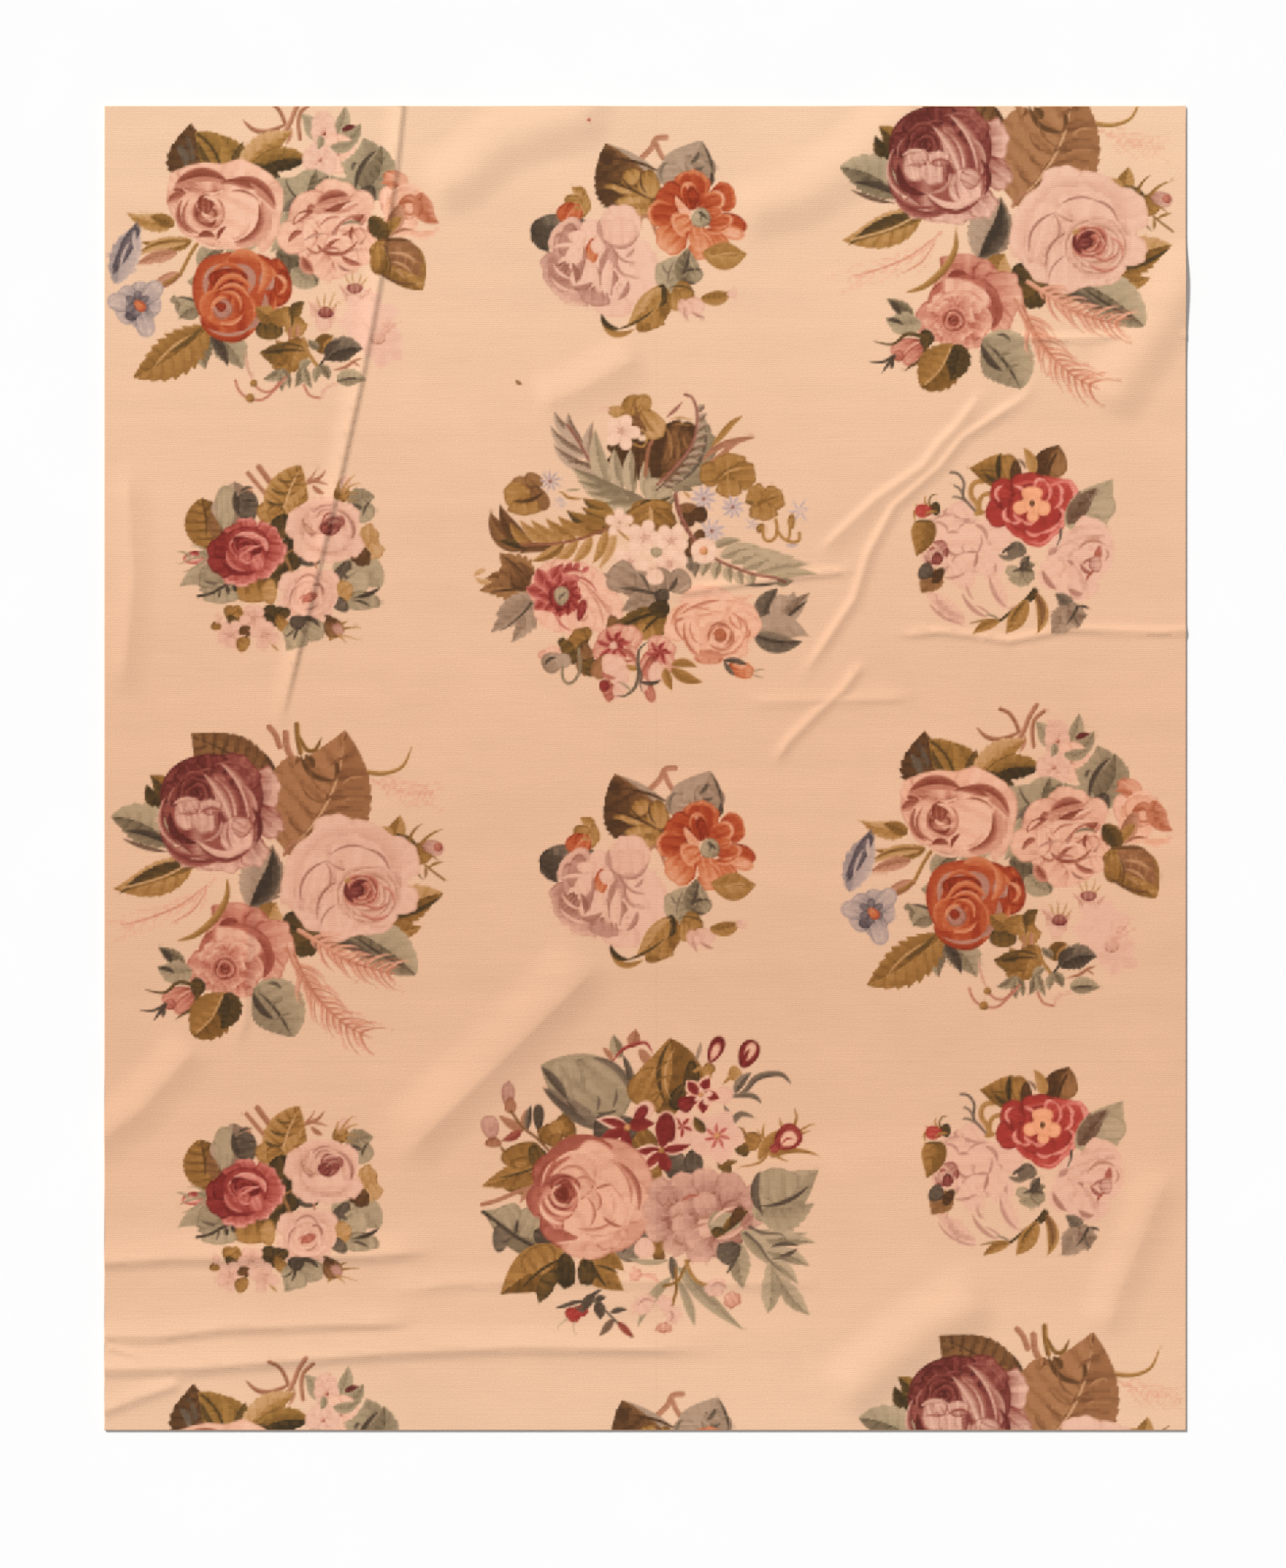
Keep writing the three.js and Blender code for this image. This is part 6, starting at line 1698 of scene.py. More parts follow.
# %% Pale and crimson stars
ROSE_AND_CARNATION += [
    # grey ribbon leaves
    (stroke, 365, 180, 396, 178, 1, 3, "slate", 0.4, 0.5),
    (leaf, 392, 176, 416, 147, 4, 13, "slate", (0.9, 0.98), (0.4, 0.6), {"veins": 0}),
    (stem, [(392, 180), (406, 172), (420, 156), (438, 150), (456, 151), (468, 163)], 9, "slate",
     0.98, 0.3, "both"),
    (stem, [(386, 181), (404, 178), (418, 180), (428, 189)], 8, "slate", 0.95, 0.4, "both"),
    (stem, [(377, 192), (384, 204), (388, 214), (400, 204), (418, 208)], 9, "slate", 0.6, 0.9, "both"),
    (petal, 398, 236, 24, 30, 9, "ochre", 0.3, 0.5, 0.03),
    (petal, 414, 240, 26, 26, 4, "ochre", 0.3, 0.5, 0.03),
    (petal, 402, 252, 16, 20, 7, "olive", 0.6, 0.3, 0.03),
    (petal, 378, 272, 18, 28, 8, "olive", 0.3, 0.6, 0.08),
    (stroke, 372, 276, 396, 268, 2, 7, "olive", 0.5, 0.6),
    # dark leaves under the stars
    (petal, 268, 240, 46, 34, 5, "ochre", 0.4, 0.1),
    (petal, 246, 222, 30, 34, 8, "slate", 0.5, 0.3),
    (petal, 214, 230, 26, 50, 9, "slate", 0.4, 0.3),
    (petal, 268, 262, 34, 30, 7, "slate", 0.5, 0.3),
    (petal, 310, 270, 34, 44, 8, "slate", 0.7, 0.3),
    (petal, 336, 268, 34, 26, 6, "slate", 0.3, 0.5),
    (stroke, 300, 288, 346, 280, -3, 10, "slate", 0.2, 0.1),
    (petal, 282, 290, 24, 46, 3, "ochre", 0.2, 0.4),
    (stem, [(272, 296), (286, 316), (276, 340), (274, 362), (290, 396)], 16, "umber", 0.5, 0.2),
    (petal, 262, 364, 40, 30, 7, "slate", 0.8, 0.5),
    (petal, 288, 376, 44, 20, 6, "ochre", 0.1, 0.4),
    # the pale stars
    (star, 368, 234, 84, 5, 1, "blush", 0.92, 0.98, None, 0.4),
    (star, 322, 222, 60, 5, 12.4, "blush", 0.9, 0.98, None, 0.4),
    (petal, 372, 178, 36, 22, 3, "blush", 0.9, 0.98),
    (star, 368, 234, 42, 7, 12, "madder", 0.6, 0.95, None, 0.14),
    (ball, 368, 233, 9, "gold", 0.4, 0.7),
    (star, 321, 221, 34, 5, 1.4, "madder", 0.2, 0.8, None, 0.16),
    (leaf, 352, 228, 337, 206, 2, 14, "olive", (0.4, 0.6), (0.3, 0.2), {"veins": 0}),
    # the crimson stars
    (star, 346, 178, 56, 5, 1, "madder", 0.1, 0.3, "rose", 0.24),
    (petal, 326, 190, 22, 22, 8, "madder", 0.1, 0.25),
    (star, 350, 180, 30, 4, 2.4, "blush", 0.98, 0.98, None, 0.26),
    (ball, 346, 178, 7, "gold", 0.4, 0.6),
    (petal, 302, 222, 46, 28, 11.6, "blush", 0.9, 1.0),
    (petal, 302, 222, 40, 20, 11.6, "madder", 0.1, 0.2),
    (leaf, 294, 252, 290, 206, -3, 20, "madder", (0.1, 0.2), (0.2, 0.1), {"veins": 0, "belly": 0.6}),
    (leaf, 294, 252, 336, 243, -2, 18, "blush", (0.95, 0.95), (0.9, 0.9), {"veins": 0}),
    (leaf, 294, 252, 334, 244, -2, 11, "madder", (0.2, 0.3), (0.1, 0.2), {"veins": 0}),
    (leaf, 292, 252, 253, 253, 2, 20, "blush", (0.98, 0.98), (0.98, 0.98), {"veins": 0}),
    (leaf, 292, 252, 258, 253, 2, 12, "madder", (0.2, 0.3), (0.1, 0.2), {"veins": 0}),
    (leaf, 292, 254, 259, 282, 2, 20, "blush", (0.98, 0.98), (0.98, 0.98), {"veins": 0}),
    (leaf, 292, 254, 264, 279, 2, 12, "madder", (0.3, 0.4), (0.2, 0.3), {"veins": 0}),
    (leaf, 294, 254, 304, 282, -2, 18, "madder", (0.2, 0.3), (0.1, 0.2), {"veins": 0, "belly": 0.6}),
    (ball, 293, 253, 8, "gold", 0.2, 0.4),
    (petal, 268, 201, 34, 24, 1.6, "blush", 0.98, 0.98),
    (petal, 264, 205, 30, 14, 1.2, "madder", 0.15, 0.3),
    (leaf, 247, 222, 203, 211, -2, 18, "blush", (0.98, 0.98), (0.98, 0.98), {"veins": 0}),
    (leaf, 247, 222, 209, 212, -2, 11, "madder", (0.2, 0.3), (0.1, 0.2), {"veins": 0}),
    (leaf, 248, 222, 285, 217, 2, 18, "madder", (0.15, 0.1), (0.2, 0.3), {"veins": 0}),
    (leaf, 246, 223, 210, 236, 2, 16, "madder", (0.15, 0.1), (0.2, 0.3), {"veins": 0, "belly": 0.6}),
    (leaf, 247, 224, 248, 272, -3, 18, "madder", (0.15, 0.1), (0.2, 0.3), {"veins": 0, "belly": 0.6}),
    (ball, 247, 222, 9, "gold", 0.4, 0.6),
]
print("rose and carnation so far", len(ROSE_AND_CARNATION), "rows")

# %% [markdown]
# The spiky bud is a few petals with many strokes over them. The buds and leaves at the left
# are made of the same few shapes.

# %% Buds at both sides
ROSE_AND_CARNATION += [
    # the spiky bud at the right
    (stem, [(436, 258), (424, 270), (396, 276)], 4, "ochre", 0.5, 0.4, "tip"),
    (stroke, 424, 266, 452, 226, 3, 16, "ochre", 0.6, 0.3),
    (stroke, 444, 258, 505, 260, 6, 10, "ochre", 0.5, 0.3, "tip"),
    (stroke, 440, 256, 464, 268, -1, 5, "ochre", 0.4, 0.5, "tip"),
    (stroke, 434, 240, 422, 224, 1, 4, "ochre", 0.5, 0.5, "tip"),
    (stroke, 430, 234, 432, 216, 1, 4, "ochre", 0.5, 0.5, "tip"),
    (stroke, 456, 222, 453, 208, 1, 4, "ochre", 0.5, 0.5, "tip"),
    (stem, [(470, 222), (474, 214), (475, 206), (472, 196)], 5, "ochre", 0.5, 0.4, "tip"),
    (stroke, 478, 228, 500, 216, 1, 4, "ochre", 0.5, 0.5, "tip"),
    (stroke, 480, 232, 494, 227, 1, 4, "ochre", 0.5, 0.5, "tip"),
    (petal, 463, 236, 40, 34, 1.8, "madder", 0.25, 0.45),
    (petal, 446, 250, 14, 12, 7.6, "madder", 0.4, 0.6),
    (petal, 464, 238, 24, 20, 1.8, "rose", 0.85, 0.98),
    (stroke, 456, 244, 472, 238, 4, 3, "madder", 0.4, 0.6),
    # buds and leaves at the left
    (petal, 86, 178, 34, 18, 12, "mauve", 0.4, 0.75),
    (stroke, 84, 164, 90, 160, 1, 4, "mauve", 0.5, 0.6),
    (petal, 89, 192, 22, 16, 6, "terra", 0.3, 0.6),
    (petal, 62, 222, 34, 24, 11.6, "mauve", 0.5, 0.85),
    (petal, 66, 242, 14, 22, 6, "terra", 0.2, 0.5),
    (leaf, 108, 226, 72, 204, 2, 13, "terra", (0.3, 0.5), (0.5, 0.6), {"veins": 0}),
    (leaf, 108, 224, 112, 196, 2, 10, "terra", (0.5, 0.6), (0.4, 0.5), {"veins": 0}),
    (leaf, 112, 226, 118, 190, 2, 10, "slate", (0.6, 0.8), (0.2, 0.3), {"veins": 0}),
    (petal, 127, 208, 34, 15, 12, "slate", 0.2, 0.4),
    (leaf, 104, 226, 76, 240, 2, 12, "dusky", (0.1, 0.2), (0.3, 0.3), {"veins": 0}),
    (stem, [(90, 200), (106, 222), (122, 234), (140, 252)], 4, "umber", 0.7, 0.4),
    (stroke, 74, 246, 84, 262, 1, 4, "umber", 0.5, 0.6),
    (petal, 144, 232, 30, 36, 7, "ochre", 0.4, 0.2, 0.04),
    (petal, 164, 222, 24, 36, 2, "ochre", 0.4, 0.15, 0.04),
    (petal, 152, 222, 20, 24, 11, "ochre", 0.6, 0.5, 0.02),
    (leaf, 142, 268, 66, 292, 12, 44, "ochre", (0.3, 0.2), (0.45, 0.4), {"veins": 3, "belly": 0.45}),
    (leaf, 140, 278, 49, 302, -2, 34, "ochre", (0.3, 0.45), (0.6, 0.4), {"veins": 4, "teeth": 8}),
    (petal, 104, 260, 34, 54, 11.4, "ochre", 0.45, 0.3),
    (petal, 126, 262, 36, 26, 5, "olive", 0.3, 0.5),
    (stroke, 74, 290, 134, 272, -2, 4, "olive", 0.3, 0.2),
    (stroke, 84, 272, 118, 262, 3, 3, "ochre", 0.1, 0.2),
    (stem, [(51, 326), (72, 320), (96, 310), (124, 300)], 6, "terra", 0.6, 0.4, "none"),
    (stroke, 102, 324, 124, 298, 2, 8, "terra", 0.6, 0.5),
]
print("rose and carnation so far", len(ROSE_AND_CARNATION), "rows")

# %% [markdown]
# These leaves frame the roses and are laid before them, so the roses cover their inner ends.

# %% Grey leaves round the roses
ROSE_AND_CARNATION += [
    (leaf, 150, 394, 50, 334, -4, 56, "sage", (0.45, 0.3), (0.6, 0.75), {"veins": 4, "belly": 0.45}),
    (petal, 116, 352, 44, 40, 1, "sage", 0.6, 0.85),
    (petal, 84, 344, 34, 44, 11, "sage", 0.6, 0.8, 0.02),
    (petal, 76, 372, 22, 36, 9, "slate", 0.8, 0.6),
    (petal, 138, 372, 40, 30, 4, "slate", 0.4, 0.1),
    (stem, [(52, 336), (74, 352), (98, 370), (130, 386), (160, 392)], 5, "slate", 0.2, 0.1),
    (stroke, 99, 346, 94, 368, 1, 5, "slate", 0.2, 0.2),
    (stroke, 92, 370, 70, 380, 1, 3, "slate", 0.3, 0.4),
    (petal, 250, 380, 44, 44, 8, "slate", 0.6, 0.98),
    (petal, 252, 366, 34, 16, 1, "slate", 0.2, 0.2),
    (stroke, 246, 366, 240, 392, 2, 6, "slate", 0.2, 0.3),
    (petal, 270, 384, 28, 28, 6, "blush", 1.0, 1.0),
    (stroke, 248, 398, 304, 400, -5, 8, "sage", 0.9, 0.7),
    (leaf, 170, 394, 75, 448, -6, 62, "ochre", (0.15, 0.1), (0.55, 0.45), {"veins": 5, "belly": 0.4}),
    (petal, 128, 402, 40, 50, 11, "ochre", 0.5, 0.4),
    (petal, 164, 414, 50, 26, 6, "olive", 0.2, 0.05, 0.03),
    (petal, 138, 434, 22, 48, 4, "olive", 0.5, 0.3, 0.05),
    (stroke, 168, 396, 104, 440, -6, 4, "olive", 0.1, 0.1),
    (leaf, 184, 400, 243, 443, 0, 38, "ochre", (0.35, 0.5), (0.3, 0.5), {"veins": 3, "foot": 0.4}),
    (leaf, 200, 392, 243, 416, 4, 24, "ochre", (0.3, 0.45), (0.3, 0.4), {"foot": 0.4}),
    (petal, 192, 416, 38, 24, 6, "olive", 0.1, 0.3, 0.04),
    (stroke, 196, 396, 220, 438, -3, 5, "olive", 0.1, 0.1),
    (stroke, 206, 408, 234, 418, 1, 4, "olive", 0.1, 0.2),
]
print("rose and carnation so far", len(ROSE_AND_CARNATION), "rows")

# %% [markdown]
# The great rose has nearly twice as many strokes as petals. They turn the edges of the
# petals over and darken the folds.

# %% The great rose
ROSE_AND_CARNATION += [
    (petal, 200, 314, 168, 152, 3, "rose", 0.41, 0.67),
    (petal, 148, 286, 60, 50, 10, "dusky", 0.3, 0.4),
    (petal, 140, 318, 60, 44, 8.6, "dusky", 0.35, 0.45),
    (petal, 156, 358, 46, 56, 7.4, "dusky", 0.3, 0.45, 0.02),
    (petal, 192, 374, 52, 70, 6.2, "rose", 0.41, 0.77, 0.02),
    (petal, 222, 364, 44, 44, 5, "rose", 0.36, 0.72, 0.02),
    (petal, 242, 320, 72, 60, 3.4, "rose", 0.56, 0.77, 0.02),
    (stroke, 132, 276, 228, 250, 16, 30, "dusky", 0.3, 0.5),
    (petal, 204, 306, 92, 128, 2.4, "rose", 0.66, 0.82, 0.02),
    (petal, 196, 330, 100, 90, 5, "rose", 0.71, 0.87, 0.02),
    (petal, 176, 292, 56, 62, 11, "rose", 0.61, 0.82, 0.02),
    (stroke, 222, 262, 252, 340, 16, 10, "rose", 0.8, 0.4),
    (stroke, 232, 268, 262, 334, 12, 8, "rose", 0.15, 0.45),
    (stroke, 256, 300, 244, 358, 4, 4, "rose", 0.98, 0.9),
    (stroke, 150, 268, 212, 272, 14, 7, "rose", 0.98, 0.7),
    (stroke, 152, 284, 196, 290, 12, 5, "rose", 0.35, 0.65),
    (stroke, 172, 296, 206, 304, 10, 5, "rose", 0.35, 0.65),
    (stroke, 204, 306, 226, 300, 2, 4, "rose", 0.15, 0.45),
    (stroke, 204, 308, 206, 334, 5, 5, "rose", 0.25, 0.65),
    (stroke, 192, 316, 196, 356, 8, 5, "rose", 0.25, 0.65),
    (stroke, 220, 304, 222, 352, 9, 6, "rose", 0.98, 0.5),
    (stroke, 178, 358, 232, 346, -8, 6, "rose", 0.25, 0.75),
    (stroke, 184, 364, 244, 356, -6, 5, "rose", 0.98, 0.4),
    (stroke, 214, 342, 240, 356, -3, 5, "rose", 0.25, 0.25),
    (stroke, 138, 354, 180, 370, -8, 20, "dusky", 0.35, 0.5),
    (petal, 152, 350, 24, 20, 11, "dusky", 0.6, 0.85),
    (stroke, 162, 340, 176, 368, -3, 5, "rose", 0.95, 0.8),
    (stroke, 150, 378, 186, 372, -2, 4, "rose", 0.98, 0.9),
    (stroke, 122, 300, 124, 344, -5, 10, "dusky", 0.5, 0.3),
    (stroke, 150, 262, 128, 306, -4, 12, "dusky", 0.5, 0.2),
    (stroke, 146, 268, 132, 300, -3, 3, "rose", 0.9, 0.9),
    (petal, 156, 322, 56, 50, 8, "dusky", 0.6, 0.8, 0.02),
    (stroke, 128, 324, 160, 352, -8, 6, "rose", 0.98, 0.9),
    (stroke, 132, 318, 158, 342, -7, 5, "dusky", 0.3, 0.5),
    (stroke, 136, 314, 176, 336, -12, 6, "rose", 0.95, 0.85),
    (stroke, 140, 312, 172, 330, -10, 5, "dusky", 0.1, 0.3),
    (petal, 162, 302, 34, 42, 12.6, "dusky", 0.35, 0.5),
    (stroke, 142, 302, 174, 292, 8, 4, "dusky", 0.1, 0.3),
    (petal, 160, 310, 26, 36, 3, "dusky", 0.1, 0.3),
    (stroke, 146, 310, 168, 326, -8, 5, "rose", 0.8, 0.7),
    (stroke, 146, 316, 158, 300, 5, 4, "rose", 0.8, 0.7),
    (petal, 160, 312, 16, 20, 3, "dusky", 0.0, 0.0),
    (stroke, 166, 304, 174, 318, 3, 5, "dusky", 0.2, 0.4),
    (stroke, 172, 296, 180, 330, 6, 5, "rose", 0.95, 0.7),
]
print("rose and carnation so far", len(ROSE_AND_CARNATION), "rows")

# %% [markdown]
# The carnation is mostly round petals, each dark at its base, where the one in front of it
# begins.

# %% The carnation
ROSE_AND_CARNATION += [
    (petal, 350, 342, 124, 108, 3, "mauve", 0.3, 0.35),
    (petal, 292, 306, 34, 32, 10.6, "mauve", 0.32, 0.95, 0.03),
    (petal, 322, 302, 40, 36, 11.6, "mauve", 0.31, 1.0, 0.03),
    (petal, 352, 296, 40, 38, 12, "mauve", 0.32, 1.0, 0.03),
    (petal, 384, 304, 44, 40, 12.6, "mauve", 0.31, 0.86, 0.03),
    (petal, 410, 320, 40, 34, 2, "mauve", 0.3, 0.95, 0.03),
    (petal, 414, 342, 34, 26, 3.6, "mauve", 0.3, 0.95, 0.03),
    (petal, 286, 334, 40, 32, 9.4, "mauve", 0.32, 0.95, 0.03),
    (petal, 288, 360, 34, 32, 8.4, "mauve", 0.32, 1.0, 0.03),
    (petal, 312, 378, 36, 32, 7, "mauve", 0.32, 1.0, 0.03),
    (petal, 344, 388, 36, 36, 6, "mauve", 0.32, 1.0, 0.03),
    (petal, 374, 382, 28, 30, 5, "mauve", 0.32, 0.95, 0.03),
    (petal, 302, 316, 30, 30, 10.6, "mauve", 0.27, 0.77, 0.03),
    (petal, 330, 316, 26, 30, 11.4, "mauve", 0.27, 0.77, 0.03),
    (petal, 382, 314, 34, 26, 12.4, "mauve", 0.25, 0.86, 0.03),
    (petal, 402, 326, 28, 24, 2, "mauve", 0.25, 0.86, 0.03),
    (petal, 320, 336, 28, 34, 11, "mauve", 0.32, 0.95, 0.03),
    (petal, 352, 328, 38, 34, 11.4, "mauve", 0.37, 1.0, 0.02),
    (petal, 324, 352, 34, 36, 9, "mauve", 0.35, 1.0, 0.02),
    (petal, 342, 370, 36, 40, 8, "mauve", 0.35, 1.0, 0.02),
    (petal, 356, 356, 30, 28, 9, "blush", 0.5, 0.9),
    (stroke, 320, 322, 344, 314, 3, 5, "dusky", 0.4, 0.6),
    (stroke, 304, 348, 326, 340, 3, 4, "blush", 0.2, 0.4),
    (stroke, 308, 372, 324, 380, -2, 5, "blush", 0.1, 0.3),
    (stroke, 338, 342, 362, 340, -3, 4, "blush", 0.2, 0.3),
    (stroke, 330, 362, 356, 352, 2, 4, "blush", 0.2, 0.4),
    (stroke, 296, 330, 308, 322, 2, 3, "blush", 0.2, 0.4),
    (petal, 392, 346, 40, 52, 2, "mauve", 0.2, 0.5),
    (petal, 378, 352, 44, 34, 9, "sage", 0.95, 0.8),
    (stroke, 360, 352, 396, 330, 6, 4, "blush", 0.98, 0.95),
    (stroke, 374, 366, 410, 334, 3, 14, "olive", 0.7, 0.1),
    (petal, 370, 364, 16, 20, 7, "olive", 0.2, 0.5),
    (petal, 394, 342, 30, 14, 1, "umber", 0.1, 0.3),
    (stroke, 366, 372, 406, 352, -4, 8, "blush", 0.3, 0.98),
    (stroke, 400, 356, 418, 338, -3, 6, "mauve", 0.2, 0.6),
]
print("rose and carnation so far", len(ROSE_AND_CARNATION), "rows")

# %% [markdown]
# Grey leaves, ribbon leaves, pink florets and a rosebud end this bouquet.

# %% The foot of the rose and carnation
ROSE_AND_CARNATION += [
    # grey leaves at the right
    (leaf, 418, 344, 506, 278, 0, 60, "sage", (0.8, 0.95), (0.7, 0.6), {"veins": 3}),
    (petal, 448, 300, 46, 60, 12, "sage", 0.7, 0.8, 0.03),
    (stroke, 424, 334, 426, 282, 6, 12, "slate", 0.3, 0.8),
    (leaf, 424, 334, 500, 324, -4, 38, "sage", (0.5, 0.7), (0.6, 0.9), {"teeth": 9, "lop": -0.6}),
    (stroke, 426, 328, 492, 300, -8, 6, "slate", 0.3, 0.3),
    (stroke, 424, 312, 430, 342, -2, 4, "slate", 0.3, 0.3),
    (leaf, 404, 362, 492, 364, -6, 17, "sage", (0.5, 0.9), (0.8, 0.95), {"veins": 0, "teeth": 4}),
    (leaf, 424, 374, 502, 378, 4, 20, "sage", (0.9, 0.98), (0.4, 0.7), {"veins": 0, "teeth": 4}),
    (leaf, 400, 362, 450, 416, 4, 26, "sage", (0.9, 0.98), (0.5, 0.8), {"veins": 0}),
    (leaf, 436, 390, 494, 410, 5, 22, "sage", (0.9, 0.98), (0.4, 0.7), {"veins": 0, "teeth": 4}),
    (leaf, 440, 400, 478, 434, 3, 18, "sage", (0.9, 0.98), (0.5, 0.7), {"veins": 0}),
    (leaf, 440, 400, 436, 474, 3, 26, "sage", (0.6, 0.8), (0.95, 1.0), {"teeth": 4, "belly": 0.6}),
    (leaf, 446, 414, 494, 476, -4, 24, "sage", (0.9, 0.98), (0.5, 0.8), {"teeth": 5, "belly": 0.55}),
    (stem, [(406, 364), (424, 380), (436, 398), (456, 418)], 4, "slate", 0.5, 0.4, "tip"),
    (stem, [(412, 356), (430, 364), (454, 366), (462, 376)], 4, "slate", 0.5, 0.5, "tip"),
    (stroke, 440, 384, 478, 382, 4, 6, "slate", 0.3, 0.5),
    (stroke, 452, 396, 476, 386, -2, 6, "slate", 0.3, 0.5),
    (stroke, 440, 400, 470, 404, 3, 3, "slate", 0.6, 0.7),
    (leaf, 400, 378, 404, 440, -4, 30, "sage", (0.75, 0.85), (0.5, 0.6), {"teeth": 5, "belly": 0.45}),
    (petal, 384, 390, 34, 30, 8, "slate", 0.3, 0.6, 0.03),
    (stroke, 398, 384, 380, 420, 2, 5, "slate", 0.3, 0.4),
    # ribbon leaves and pink florets at the bottom
    (leaf, 306, 396, 308, 430, 2, 12, "slate", (0.5, 0.8), (0.4, 0.6), {"veins": 0}),
    (leaf, 306, 424, 260, 494, -6, 15, "sage", (0.6, 0.8), (0.7, 0.9), {"veins": 0}),
    (leaf, 312, 422, 338, 492, 3, 13, "sage", (0.6, 0.8), (0.7, 0.9), {"veins": 0, "belly": 0.6}),
    (leaf, 314, 410, 406, 497, -4, 20, "sage", (0.5, 0.7), (0.7, 0.9), {"veins": 0}),
    (leaf, 320, 410, 378, 470, -6, 18, "sage", (0.5, 0.6), (0.7, 0.8), {"veins": 0, "teeth": 6}),
    (stem, [(330, 402), (322, 416), (314, 430), (296, 436)], 4, "ochre", 0.4, 0.2),
    (stem, [(312, 412), (313, 440), (309, 456), (306, 468)], 4, "ochre", 0.4, 0.2),
    (stem, [(326, 402), (332, 418), (342, 430), (354, 435)], 5, "ochre", 0.4, 0.6),
    (petal, 258, 420, 18, 18, 9, "rose", 0.6, 0.9, 0.1),
    (stroke, 264, 422, 290, 434, 5, 7, "rose", 0.6, 0.95),
    (petal, 268, 462, 26, 36, 11, "blush", 0.9, 1.0, 0.06),
    (stroke, 262, 462, 282, 458, 6, 4, "mauve", 0.5, 0.8),
    (petal, 296, 458, 20, 22, 5, "blush", 0.92, 1.0),
    (petal, 366, 438, 24, 30, 11, "blush", 0.85, 1.0, 0.05),
    (stroke, 360, 436, 380, 440, 6, 4, "mauve", 0.5, 0.8),
    (petal, 388, 454, 22, 24, 5, "rose", 0.75, 0.55, 0.08),
    (petal, 308, 476, 26, 20, 1, "blush", 0.85, 1.0, 0.05),
    (stroke, 302, 468, 304, 484, 5, 4, "mauve", 0.5, 0.7),
    (petal, 296, 492, 14, 22, 6, "rose", 0.7, 0.55, 0.08),
    # the rosebud at the foot
    (petal, 174, 474, 20, 22, 7.6, "red", 0.2, 0.45),
    (petal, 184, 470, 20, 16, 2, "red", 0.5, 0.3),
    (stem, [(150, 466), (164, 462), (176, 458), (192, 456)], 6, "slate", 0.5, 0.2, "both"),
    (stroke, 186, 470, 204, 446, 2, 14, "slate", 0.4, 0.2),
    (stroke, 196, 452, 212, 441, 1, 5, "slate", 0.2, 0.2),
    (stroke, 176, 462, 190, 472, -1, 4, "slate", 0.5, 0.4),
    (stem, [(200, 454), (214, 466), (228, 480), (252, 504)], 3.5, "slate", 0.5, 0.4),
    (leaf, 206, 458, 210, 482, 2, 16, "slate", (0.3, 0.4), (0.2, 0.3), {"veins": 0, "foot": 0.4}),
    (leaf, 204, 456, 219, 452, 2, 9, "slate", (0.3, 0.4), (0.2, 0.3), {"veins": 0}),
    (leaf, 224, 472, 248, 468, 2, 8, "slate", (0.4, 0.5), (0.2, 0.3), {"veins": 0}),
    (leaf, 228, 480, 208, 504, 1, 11, "taupe", (0.1, 0.3), (0.2, 0.3), {"veins": 0}),
    (leaf, 234, 484, 257, 506, -1, 10, "dusky", (0.1, 0.2), (0.2, 0.3), {"veins": 0}),
    (stem, [(166, 480), (156, 488), (146, 500)], 2, "sage", 0.9, 0.9, "tip"),
    (stem, [(176, 484), (174, 492), (178, 504)], 2, "sage", 0.9, 0.9, "tip"),
]
print("rose and carnation in all", len(ROSE_AND_CARNATION), "rows")

# %% [markdown]
# This bouquet fills the near left and is repeated beside the pleat. Its salmon stems and the
# leaves behind come first.

